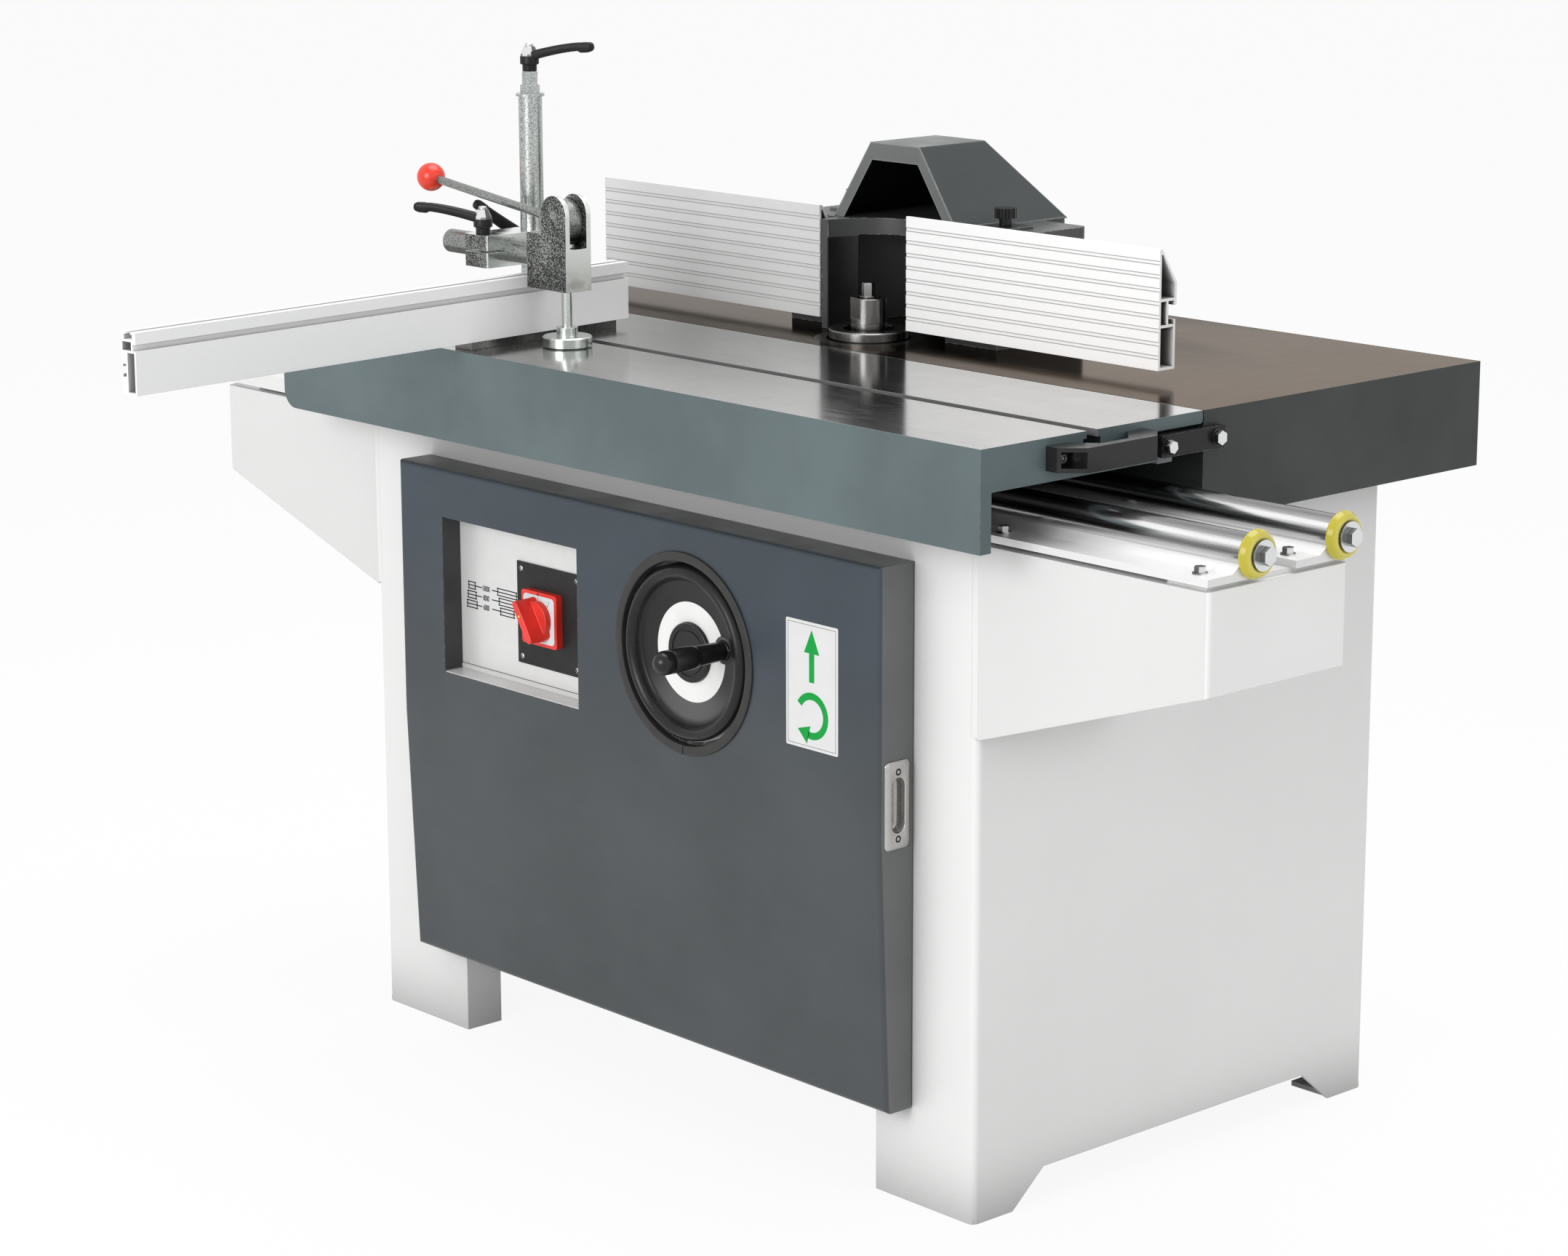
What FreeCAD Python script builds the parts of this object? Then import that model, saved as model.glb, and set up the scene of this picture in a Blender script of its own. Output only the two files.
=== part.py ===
import FreeCAD
import Part
import math
import os

# A spindle moulder with a sliding table. Millimetres, +Z up, +X along the table to the operator's right,
# +Y away from the operator. The origin lies on the floor under the middle of the cabinet.

V = FreeCAD.Vector
X = V(1, 0, 0)
Y = V(0, 1, 0)
Z = V(0, 0, 1)
ORIGIN = V(0, 0, 0)

# Shared sizes
OVERRUN = 5.0
RUNNING_GAP = 0.05
SLIDE_GAP = 0.2
CLEAR_GAP = 0.3
EDGE_TOLERANCE = 1.0

# Tables
TABLE_HEIGHT = 870.0
TABLE_LENGTH = 1200.0
TABLE_OVERHANG = 77.0
SLIDING_DEPTH = 332.0
SEAM_GAP = 2.0
MAIN_DEPTH = 468.0
MAIN_SKIRT = 120.0
MAIN_WALL = 14.0
MAIN_PLATE = 18.0
MAIN_RIB_DROP = 60.0
MAIN_RIB_WALL = 12.0
MAIN_RIB_SHARE = 0.5
MAIN_RIB_SETBACK = 170.0
TABLE_BORE_RADIUS = 59.0
INSERT_RADIUS = 65.0
INSERT_THICKNESS = 8.0
INSERT_BORE_RADIUS = 50.0
BORE_BOSS_WALL = 9.0
BORE_BOSS_DROP = 30.0
FENCE_SLOT_WIDTH = 14.0
FENCE_SLOT_LENGTH = 110.0
FENCE_SLOT_X = 150.0
SLIDING_SKIRT = 108.5
SLIDING_SKIRT_WALL = 16.0
SLIDING_SKIRT_CORNER = 22.0
SLIDING_PLATE = 14.0
SLIDING_RIB_DROP = 46.0
SLIDING_RIB_WALL = 14.0
SLIDING_LIP = 70.0
SLIDING_LIP_EDGE_RADIUS = 4.0
SLOT_FROM_FRONT = 162.0
SLOT_NECK_WIDTH = 16.0
SLOT_NECK_DEPTH = 8.0
SLOT_HEAD_WIDTH = 26.0
SLOT_HEAD_DEPTH = 12.0
SLOT_RIB_WIDTH = 46.0
SLOT_RIB_DROP = 30.0
CROSS_RIB_SHARES = (-0.32, 0.0, 0.32)

# Cabinet
CABINET_WIDTH = 1044.0
CABINET_DEPTH = 650.0
CABINET_WALL = 4.0
CABINET_BEND = 8.0
FOOT_LEFT = 162.0
FOOT_RIGHT = 151.0
FOOT_RETURN = 52.0
FRONT_RAIL = 45.0
SIDE_FOOT = 61.0
SIDE_CUT_RUN = 48.0
SIDE_CUT_HEIGHT = 40.0
FOOT_PLATE = 6.0
FOOT_PLATE_SIZE = 52.0
ANCHOR_RADIUS = 7.0
TOP_OPENING_WIDTH = 440.0
TOP_OPENING_BEFORE_SPINDLE = 72.0
TOP_OPENING_BEHIND_SPINDLE = 276.0
ARM_LENGTH = 315.0
ARM_DEPTH = 214.0
ARM_END_HEIGHT = 107.0
ARM_ROOT_HEIGHT = 210.0
PAD_LENGTH = 60.0
PAD_HEIGHT = 5.0
PAD_MIDDLE_X = 400.0

# Guide rails of the sliding table
RAIL_RADIUS = 20.0
RAIL_OVER_PAD = 25.0
RAIL_FRONT_INSET = 67.0
RAIL_SPACING = 132.0
HOLDER_FLANGE = 67.0
HOLDER_PLATE = 8.0
HOLDER_WEB_FOOT = 31.0
HOLDER_WEB_TOP = 6.0
HOLDER_BACK = 15.0
STOP_RADIUS = 27.0
STOP_LENGTH = 12.0
STOP_CHAMFER = 4.0
STOP_WASHER_RADIUS = 16.0
STOP_WASHER_LENGTH = 2.5
STOP_HEAD_ACROSS = 17.0
STOP_HEAD_LENGTH = 8.0
RAIL_BOLT_ACROSS = 11.0
RAIL_BOLT_HEAD = 6.0
RAIL_BOLT_WASHER = 8.0
RAIL_BOLT_WASHER_THICKNESS = 1.5
RAIL_BOLT_INSET = 26.0
RAIL_BOLT_FROM_EDGE = 18.0
RAIL_BOLT_COUNT = 7

# Rollers under the sliding table
ROLLER_CORE = 12.0
ROLLER_WIDTH = 31.0
ROLLER_LAND = 1.5
ROLLER_AXLE_RADIUS = 6.0
ROLLER_STATION = 250.0
BRACKET_LENGTH = 60.0
BRACKET_CHEEK = 6.5
BRACKET_SIDE_GAP = 1.0
BRACKET_WEB = 8.0
BRACKET_SKIRT = 10.0

# Bow handle and lock bar at the right end
HANDLE_LENGTH = 148.0
HANDLE_BACK_GAP = 20.0
HANDLE_REACH = 38.0
HANDLE_BAR = 11.0
HANDLE_HEIGHT = 26.0
HANDLE_FOOT = 27.0
HANDLE_BELOW_TOP = 8.0
HANDLE_CHAMFER = 22.0
HANDLE_POCKET_WALL = 4.5
HANDLE_POCKET_END = 3.0
HANDLE_POCKET_FLOOR = 9.0
LOCK_LENGTH = 99.5
LOCK_HEIGHT = 24.5
LOCK_THICKNESS = 7.0
LOCK_BELOW_TOP = 17.0
LOCK_PIVOT_INSET = 12.0
LOCK_BEYOND_PIVOT = 13.0
LOCK_SEAT = 2.0
LOCK_BOLT_ACROSS = 14.0
LOCK_BOLT_HEAD = 7.0
LOCK_PIVOT_RADIUS = 5.0
LOCK_CORNER = 3.0
LOCK_END_INSET = 8.5

# Spindle
SPINDLE_BEHIND_SEAM = 82.0
SPINDLE_NOSE_RADIUS = 15.0
SPINDLE_SHAFT_RADIUS = 17.5
SPACER_RADIUS = 22.0
SPACER_COUNT = 3
SPACER_TOTAL = 46.0
SPACER_ABOVE_TABLE = 48.0
SPINDLE_WASHER_RADIUS = 12.5
SPINDLE_WASHER = 3.5
SPINDLE_BOLT_ACROSS = 19.0
SPINDLE_BOLT_HEAD = 14.0
SPINDLE_CHAMFER = 1.5
QUILL_RADIUS = 43.0
QUILL_BORE = 31.0
QUILL_LENGTH = 272.0
QUILL_RING_RADIUS = 47.5
QUILL_RING_HEIGHT = 10.5
QUILL_RING_BASE = 1.0
BEARING_WIDTH = 17.0
BEARING_INSET = 14.0
PULLEY_GAP = 2.0
PULLEY_STEP = 14.0
PULLEY_FLANGE = 2.0
PULLEY_FLANGE_RISE = 2.5
SPINDLE_PULLEY_RADII = (52.0, 45.0, 38.0)
MOTOR_PULLEY_RADII = (45.0, 52.0, 59.0)
BELT_STEP = 1
BELT_THICKNESS = 4.0
BELT_WIDTH = 12.0

# Lifting carriage
LIFT_DOWN = 80.0
CARRIAGE_WALL = 20.0
CARRIAGE_HEIGHT = 116.0
CARRIAGE_ABOVE_QUILL_END = 14.0
CARRIAGE_WEB = 30.0
COLUMN_RADIUS = 16.0
COLUMN_X = 75.0
COLUMN_BACK = 112.0
COLUMN_BOSS_WALL = 12.0
SCREW_BACK = 46.0
SCREW_RADIUS = 11.0
SCREW_TOP_ABOVE_CARRIAGE = 62.0
NUT_RADIUS = 25.0
NUT_HEIGHT = 28.0
BASE_THICKNESS = 18.0
BASE_CLEARANCE = 13.0
BASE_MARGIN = 30.0
BASE_FRONT_INSET = 63.0
UPRIGHT_WIDTH = 40.0
UPRIGHT_THICKNESS = 20.0
UPRIGHT_ABOVE_SHAFT = 22.0
UPRIGHT_BEFORE_SCREW = 100.0
GEAR_PITCH = 28.0
GEAR_FACE = 12.0
GEAR_TEETH = 14
GEAR_TIP_SHARE = 0.09
GEAR_ROOT_SHARE = 0.13
GEAR_TIP_HALF_DEG = 3.0
GEAR_ROOT_HALF_DEG = 6.4
GEAR_HUB_RADIUS = 17.0
GEAR_HUB_LENGTH = 12.0
CROSS_SHAFT_RADIUS = 10.0

# Motor
MOTOR_X = -265.0
MOTOR_RADIUS = 82.0
MOTOR_FIN = 9.0
MOTOR_FINS = 24
MOTOR_FIN_WALL = 4.0
MOTOR_LENGTH = 190.0
MOTOR_FLANGE_RADIUS = 92.0
MOTOR_FLANGE = 12.0
MOTOR_BELL = 26.0
MOTOR_COWL = 52.0
MOTOR_COWL_TAPER = 12.0
MOTOR_SHAFT_RADIUS = 14.0
MOTOR_SHAFT_DEPTH = 60.0
MOTOR_PLATE = 12.0
MOTOR_PLATE_WIDTH = 205.0
MOTOR_PLATE_BELOW_BELT = 9.0
MOTOR_SPIGOT_RADIUS = 45.0
HANGER_WALL = 28.0
HANGER_LENGTH = 86.0

# Front door
DOOR_LEFT = -408.0
DOOR_WIDTH = 836.0
DOOR_BOTTOM = 110.0
DOOR_BELOW_CABINET_TOP = 32.0
DOOR_DEPTH = 48.0
DOOR_LEAN = 12.0
DOOR_CREASE_BELOW_TOP = 307.0
DOOR_SHEET = 3.0
DOOR_BEND = 6.0
DOOR_GAP = 2.0
DOOR_HOLE_RADIUS = 109.0
TRIM_INNER_RADIUS = 104.5
TRIM_LIP_RADIUS = 115.5
TRIM_LIP = 3.0
TRIM_BACK_LIP_RADIUS = 113.5
TRIM_ROUND = 1.5
RECESS_LEFT = -326.0
RECESS_WIDTH = 252.0
RECESS_BELOW_TOP = 58.0
RECESS_HEIGHT = 189.0
RECESS_DEPTH = 28.0
SWITCH_X = -164.0
SWITCH_ABOVE_RECESS = 89.0
SWITCH_PLATE_WIDTH = 118.0
SWITCH_PLATE_HEIGHT = 122.0
SWITCH_PLATE = 3.0
SWITCH_PLATE_SHIFT = 8.0
SWITCH_BASE = 64.0
SWITCH_BASE_DEPTH = 9.0
SWITCH_CHAMFER = 4.0
KNOB_DISC_RADIUS = 20.0
KNOB_DISC = 8.0
KNOB_GRIP_WIDTH = 13.0
KNOB_GRIP_LENGTH = 46.0
KNOB_GRIP_DEPTH = 18.0
KNOB_TURN_DEG = 40.0
HINGE_OFFSET = 9.0
HINGE_RADIUS = 8.0
HINGE_PIN_RADIUS = 4.0
HINGE_KNUCKLE = 30.0
HINGE_INSET = 70.0
HINGE_LEAF = 16.0
HINGE_LEAF_THICKNESS = 3.0
PULL_HEIGHT = 98.0
PULL_WIDTH = 36.0
PULL_PLATE = 3.0
PULL_BELOW_TOP = 262.0
PULL_CORNER = 6.0
PULL_CUP_CORNER = 9.5
PULL_CUP_HEIGHT = 62.0
PULL_CUP_WIDTH = 20.0
PULL_CUP_DEPTH = 11.0
PULL_CUP_WALL = 2.0

# Handwheel
WHEEL_X = 112.0
WHEEL_BELOW_TABLE = 300.0
WHEEL_RADIUS = 101.0
WHEEL_CREST_RADIUS = 92.0
WHEEL_CREST_PROUD = 5.0
WHEEL_RIM_DEPTH = 21.0
WHEEL_RIM_LAND = 8.0
WHEEL_RIM_BULGE = 3.2
WHEEL_RIM_INNER_BULGE = 3.6
WHEEL_RIM_BACK_RADIUS = 95.0
WHEEL_WALL_RADIUS = 82.0
WHEEL_DISH_RISE = 4.0
WHEEL_DISH_WALL = 6.0
WHEEL_DIAL_RADIUS = 57.0
WHEEL_DIAL_DEPTH = 11.0
WHEEL_HUB_RADIUS = 34.0
WHEEL_HUB_PROUD = 5.0
WHEEL_HUB_EDGE = 1.5
WHEEL_HUB_GROOVE_RADIUS = 27.0
WHEEL_HUB_GROOVE = 2.0
WHEEL_CAP = 3.0
WHEEL_BOSS_RADIUS = 20.0
WHEEL_BOSS = 18.0
GRIP_PLACE_RADIUS = 58.0
GRIP_PLACE_DEG = 12.0
GRIP_LENGTH = 96.0
GRIP_RADIUS = 13.5
GRIP_NECK_RADIUS = 10.5
GRIP_COLLAR_RADIUS = 11.5
GRIP_COLLAR = 38.0
GRIP_SWELL = 6.0
GRIP_DOME = 14.0
GRIP_DOME_MIDDLE = 5.0
GRIP_DOME_MIDDLE_RADIUS = 10.0
GRIP_PIN_RADIUS = 5.0
GRIP_BOSS_RADIUS = 15.0
GRIP_BOSS = 5.0

# Mitre fence on the sliding table
MITRE_WIDTH = 25.0
MITRE_HEIGHT = 68.0
MITRE_WALL = 2.6
MITRE_LENGTH = 742.0
MITRE_FACE_HEIGHT = 48.0
MITRE_GROOVE = 7.0
MITRE_GROOVE_DEPTH = 5.0
MITRE_SLOT_NECK = 8.0
MITRE_SLOT_HEAD = 14.0
MITRE_SLOT_LIP = 2.5
MITRE_SLOT_DEPTH = 8.0
MITRE_BACK_SLOT_Z = 26.0
MITRE_BASE = 10.0
MITRE_BASE_LENGTH = 236.0
MITRE_BASE_WIDTH = 28.0
MITRE_BASE_LEDGE = 4.0
MITRE_FACE_X = -258.0
MITRE_PIVOT_BEFORE_SEAM = 100.0
MITRE_BEYOND_PIVOT = 33.0
MITRE_BASE_BEYOND_PIVOT = 16.0
MITRE_YAW_DEG = 5.0
MITRE_PIN_RADIUS = 6.0
MITRE_PIN_DEPTH = 10.0

# Hold-down clamp
POST_X = -312.5
POST_RADIUS = 14.0
POST_BORE = 9.0
POST_TOP = 279.0
POST_ROD_RADIUS = 6.0
POST_NUT_LENGTH = 40.0
POST_NUT_HEIGHT = 10.0
POST_WASHER_RADIUS = 17.0
POST_WASHER = 3.0
POST_HEX_ACROSS = 20.0
POST_HEX = 10.0
POST_STANDOFF_ACROSS = 16.0
POST_STANDOFF = 16.0
BLOCK_WIDTH = 42.0
BLOCK_FRONT = 86.0
BLOCK_BACK = 30.0
BLOCK_HEIGHT = 38.0
BLOCK_ABOVE_TABLE = 84.5
BLOCK_SLIT = 3.0
BLOCK_EDGE = 3.0
BLOCK_STUD_INSET = 12.0
STUD_RADIUS = 4.0
BAR_BEFORE_POST = 48.0
BAR_LEFT = 94.0
FORK_X = -191.0
FORK_WIDTH = 45.0
FORK_SHOULDER = 27.0
FORK_DEPTH = 37.0
FORK_SLOT = 25.0
FORK_BELOW_BAR = 37.0
FORK_SHOULDER_HEIGHT = 28.0
FORK_SLOT_ABOVE_BAR = 12.0
BAR_SEAT = 22.0
CAM_PIN_ABOVE_BAR = 51.0
CAM_RADIUS = 25.0
CAM_OFFSET = 12.0
CAM_OFFSET_DEG = 225.0
CAM_SIDE_GAP = 0.5
CAM_PIN_RADIUS = 5.0
CAM_ROD_RADIUS = 5.0
CAM_ROD_LENGTH = 232.0
CAM_ROD_RISE_DEG = 7.0
BALL_RADIUS = 17.0
BALL_FLAT_SHARE = 0.9
PLUNGER_RADIUS = 6.0
PLUNGER_HEAD_RADIUS = 11.0
PLUNGER_HEAD = 4.0
PAD_RADIUS = 29.0
PAD_THICKNESS = 13.0
PAD_EDGE = 1.5
PAD_HUB_RADIUS = 12.5
PAD_HUB = 10.0

# Black clamping levers
POST_LEVER_DEG = 25.0
BAR_LEVER_DEG = 217.0
BLOCK_LEVER_DEG = 126.0
LEVER_HUB_RADIUS = 12.5
LEVER_HUB_TOP_RADIUS = 9.5
LEVER_HUB = 27.0
LEVER_SKIRT = 9.0
LEVER_LENGTH = 84.0
LEVER_RISE = 14.0
LEVER_ROOT_WIDTH = 17.0
LEVER_ROOT_THICKNESS = 15.0
LEVER_TIP_WIDTH = 12.0
LEVER_TIP_THICKNESS = 10.0
LEVER_STATION_SHARES = (0.0, 0.45, 0.82, 1.0)
LEVER_SIZE_SHARES = (0.0, 0.6, 1.0, 1.4)

# Fence round the spindle
FENCE_BEHIND_SPINDLE = 9.0
PLATE_LENGTH = 398.0
PLATE_HEIGHT = 134.0
PLATE_DEPTH = 28.0
PLATE_ABOVE_TABLE = 13.0
PLATE_WALL = 3.0
PLATE_BACK_INSET = 3.0
PLATE_SLOT_MOUTH = 16.0
PLATE_SLOT_LIP = 4.0
PLATE_SLOT_HEAD = 26.0
PLATE_SLOT_DEPTH = 13.0
PLATE_SLOT_Z = 63.0
PLATE_CHAMFER_DROP = 38.0
PLATE_TOP_EDGE = 4.0
PLATE_GROOVES = 8
PLATE_GROOVE_WIDTH = 3.0
PLATE_GROOVE_DEPTH = 0.8
PLATE_RIGHT_X = 53.0
PLATE_LEFT_X = -95.0
CASING_HALF_WIDTH = 175.0
CASING_DEPTH = 150.0
CASING_HEIGHT = 131.0
CASING_WALL = 10.0
CASING_TOP_PLATE = 20.0
CASING_CAVITY_RADIUS = 84.0
CASING_RIM = 2.0
CASING_NECK_HALF = 100.0
CASING_NECK_BACK = 195.0
CASING_MOUTH_HALF = 84.0
CASING_CHEEK_GAP = 3.0
CASING_CHEEK_INSET = 1.0
OUTLET_RADIUS = 60.0
OUTLET_WALL = 4.0
OUTLET_LENGTH = 48.0
OUTLET_Z = 64.0
CLAMP_BOLT_X = 152.0
CLAMP_BOLT_RADIUS = 5.0
HOOD_BASE_HALF = 104.0
HOOD_TOP_HALF = 41.0
HOOD_FRONT = 4.0
HOOD_TOP_BACK = 112.0
HOOD_BASE_BACK = 190.0
HOOD_HEIGHT = 93.0
HOOD_SHEET = 4.0
HOOD_FRAME = 14.0
HOOD_EAR = 44.0
HOOD_EAR_WIDTH = 48.0
HOOD_EAR_PLATE = 4.0
HOOD_EAR_BACK = 62.0
HOOD_KNOB_X = 126.0
HOOD_KNOB_RADIUS = 13.0
HOOD_KNOB_STEM = 7.5
HOOD_KNOB_STEM_HEIGHT = 9.0
HOOD_KNOB_HEIGHT = 12.0
HOOD_KNOB_LOBES = 10
HOOD_KNOB_LOBE_RADIUS = 2.6

# Places worked out from the sizes
HALF_LENGTH = TABLE_LENGTH / 2
CABINET_FRONT = -CABINET_DEPTH / 2
CABINET_TOP = TABLE_HEIGHT - MAIN_SKIRT
SLIDING_FRONT = CABINET_FRONT - TABLE_OVERHANG
SLIDING_BACK = SLIDING_FRONT + SLIDING_DEPTH
MAIN_FRONT = SLIDING_BACK + SEAM_GAP
MAIN_BACK = MAIN_FRONT + MAIN_DEPTH
SPINDLE_Y = MAIN_FRONT + SPINDLE_BEHIND_SEAM
FENCE_FRONT_Y = SPINDLE_Y + FENCE_BEHIND_SPINDLE
MITRE_PIVOT_Y = SLIDING_BACK - MITRE_PIVOT_BEFORE_SEAM
TOP_OPENING_FRONT = SPINDLE_Y - TOP_OPENING_BEFORE_SPINDLE
TOP_OPENING_BACK = SPINDLE_Y + TOP_OPENING_BEHIND_SPINDLE
ANCHOR_X = CABINET_WIDTH / 2 - CABINET_WALL - FOOT_PLATE_SIZE / 2
ANCHOR_Y = CABINET_DEPTH / 2 - CABINET_WALL - FOOT_PLATE_SIZE / 2
PLATE_UNDERSIDE = TABLE_HEIGHT - MAIN_PLATE
SLAB_BACK = SLIDING_BACK - SLIDING_LIP
SLOT_Y = SLIDING_FRONT + SLOT_FROM_FRONT
RAIL_END = CABINET_WIDTH / 2 + ARM_LENGTH
RAIL_Z = CABINET_TOP + PAD_HEIGHT + RAIL_OVER_PAD
RAIL_YS = (CABINET_FRONT + RAIL_FRONT_INSET, CABINET_FRONT + RAIL_FRONT_INSET + RAIL_SPACING)
AXLE_Z = RAIL_Z + RAIL_RADIUS + CLEAR_GAP + ROLLER_CORE
BRACKET_TOP = TABLE_HEIGHT - SLOT_RIB_DROP
LOCK_PIVOT_Y = MAIN_FRONT + LOCK_PIVOT_INSET
LOCK_TOP = TABLE_HEIGHT - LOCK_BELOW_TOP
LOCK_Z = LOCK_TOP - LOCK_HEIGHT / 2
LOCK_IN = HALF_LENGTH + LOCK_SEAT
LOCK_OUT = LOCK_IN + LOCK_THICKNESS
LOCK_BACK = LOCK_PIVOT_Y + LOCK_BEYOND_PIVOT
LOCK_FRONT = LOCK_BACK - LOCK_LENGTH
SPINDLE_AT = V(0, SPINDLE_Y, 0)
QUILL_TOP = TABLE_HEIGHT + QUILL_RING_BASE
QUILL_END = QUILL_TOP - QUILL_LENGTH
PULLEY_TOP = QUILL_END - PULLEY_GAP
PULLEY_PITCH = PULLEY_STEP + PULLEY_FLANGE
PULLEY_LENGTH = PULLEY_PITCH * len(SPINDLE_PULLEY_RADII) + PULLEY_FLANGE
PULLEY_BOTTOM = PULLEY_TOP - PULLEY_LENGTH
SPACER_TOP = TABLE_HEIGHT + SPACER_ABOVE_TABLE
SPINDLE_SHOULDER = SPACER_TOP - SPACER_TOTAL
CARRIAGE_BOTTOM = QUILL_END + CARRIAGE_ABOVE_QUILL_END
CARRIAGE_TOP = CARRIAGE_BOTTOM + CARRIAGE_HEIGHT
COLUMN_Y = SPINDLE_Y + COLUMN_BACK
SCREW_Y = SPINDLE_Y + SCREW_BACK
BASE_FRONT = CABINET_FRONT + BASE_FRONT_INSET
UPRIGHT_BACK_Y = SCREW_Y - UPRIGHT_BEFORE_SCREW
WHEEL_Z = TABLE_HEIGHT - WHEEL_BELOW_TABLE
SCREW_TOP = CARRIAGE_TOP + SCREW_TOP_ABOVE_CARRIAGE
BASE_TOP = PULLEY_BOTTOM - LIFT_DOWN - BASE_CLEARANCE
BASE_BOTTOM = BASE_TOP - BASE_THICKNESS
GEAR_APEX = V(WHEEL_X, SCREW_Y, WHEEL_Z)
BELT_Z = PULLEY_BOTTOM + PULLEY_FLANGE + BELT_STEP * PULLEY_PITCH + PULLEY_STEP / 2
MOTOR_PLATE_TOP = PULLEY_BOTTOM - MOTOR_PLATE_BELOW_BELT
DOOR_BACK = CABINET_FRONT - DOOR_GAP
DOOR_FRONT = DOOR_BACK - DOOR_DEPTH
DOOR_TOP = CABINET_TOP - DOOR_BELOW_CABINET_TOP
DOOR_CREASE_Z = DOOR_TOP - DOOR_CREASE_BELOW_TOP
RECESS_BOTTOM = DOOR_TOP - RECESS_BELOW_TOP - RECESS_HEIGHT
SWITCH_Z = RECESS_BOTTOM + SWITCH_ABOVE_RECESS
PULL_CENTRE_Z = DOOR_TOP - PULL_BELOW_TOP
DOOR_RIGHT = DOOR_LEFT + DOOR_WIDTH
HINGE_X = DOOR_LEFT - HINGE_OFFSET
HINGE_Y = CABINET_FRONT - HINGE_RADIUS - CLEAR_GAP
CROSS_SHAFT_FRONT = DOOR_FRONT + WHEEL_DIAL_DEPTH - WHEEL_HUB_PROUD + WHEEL_CAP
GRIP_X = WHEEL_X + GRIP_PLACE_RADIUS * math.cos(math.radians(GRIP_PLACE_DEG))
GRIP_Z = WHEEL_Z + GRIP_PLACE_RADIUS * math.sin(math.radians(GRIP_PLACE_DEG))
MITRE_BOTTOM = TABLE_HEIGHT + MITRE_BASE
MITRE_PIVOT_X = MITRE_FACE_X - MITRE_WIDTH / 2
BLOCK_BOTTOM = TABLE_HEIGHT + BLOCK_ABOVE_TABLE
BLOCK_TOP = BLOCK_BOTTOM + BLOCK_HEIGHT
BAR_Y = SLOT_Y - BAR_BEFORE_POST
BAR_Z = BLOCK_BOTTOM + BLOCK_HEIGHT / 2
BLOCK_STUD_Y = SLOT_Y - BLOCK_FRONT + BLOCK_STUD_INSET
BLOCK_STUD_BACK_Y = SLOT_Y + BLOCK_BACK - BLOCK_STUD_INSET + STUD_RADIUS
CAM_PIN_Z = BAR_Z + CAM_PIN_ABOVE_BAR
PLATE_BOTTOM = TABLE_HEIGHT + PLATE_ABOVE_TABLE
CASING_FRONT = FENCE_FRONT_Y + PLATE_DEPTH + CLEAR_GAP
CASING_TOP = TABLE_HEIGHT + CASING_HEIGHT
HOOD_BASE = CASING_TOP


def block(x0, x1, y0, y1, z0, z1):
    """A box between two corners."""
    return Part.makeBox(x1 - x0, y1 - y0, z1 - z0, V(x0, y0, z0))


def rod(radius, start, axis, length):
    """A round bar from a start point along an axis."""
    return Part.makeCylinder(radius, length, start, axis)


def pipe(outer, inner, start, axis, length):
    """A round bar with a through bore."""
    return rod(outer, start, axis, length).cut(rod(inner, start, axis, length))


def prism(points, travel):
    """A flat outline carried along a straight path."""
    return Part.Face(Part.makePolygon(points + points[:1])).extrude(travel)


def section(outline, holes, travel):
    """An outline with openings in it, carried along a straight path."""
    wires = [Part.makePolygon(ring + ring[:1]) for ring in [outline] + holes]
    face = Part.Face(wires[0])
    for wire in wires[1:]:
        face = face.cut(Part.Face(wire))
    return face.extrude(travel)


def set_on(shape, place, axis):
    """Stands a shape that was drawn along +Z on a place, along another axis."""
    shape.Placement = FreeCAD.Placement(place, FreeCAD.Rotation(Z, axis)).multiply(shape.Placement)
    return shape


def turned(profile, place, axis):
    """A solid of revolution from (radius, height) points."""
    points = [V(radius, 0, height) for radius, height in profile]
    face = Part.Face(Part.makePolygon(points + points[:1]))
    return set_on(face.revolve(ORIGIN, Z, 360), place, axis)


def hexagon(across, place, axis, height):
    """A hexagonal prism by its width across flats."""
    radius = across / math.sqrt(3)
    angles = [math.radians(60 * corner) for corner in range(6)]
    points = [V(radius * math.cos(angle), radius * math.sin(angle), 0) for angle in angles]
    return set_on(prism(points, Z * height), place, axis)


def along(edge, axis):
    """True where a straight edge runs along an axis."""
    if len(edge.Vertexes) < 2:
        return False
    run = edge.Vertexes[1].Point - edge.Vertexes[0].Point
    return run.Length > 0 and abs(run.normalize().dot(axis)) > 0.999


def rounded(shape, radius, chosen):
    """Rounds the edges that a test picks."""
    edges = [edge for edge in shape.Edges if chosen(edge)]
    return shape.makeFillet(radius, edges)


def joined(shapes):
    """One solid from overlapping or touching ones."""
    return shapes[0].multiFuse(shapes[1:]).removeSplitter()


def mirrored(shape):
    """The left-hand twin of a right-hand piece."""
    return shape.mirror(ORIGIN, X)


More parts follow.
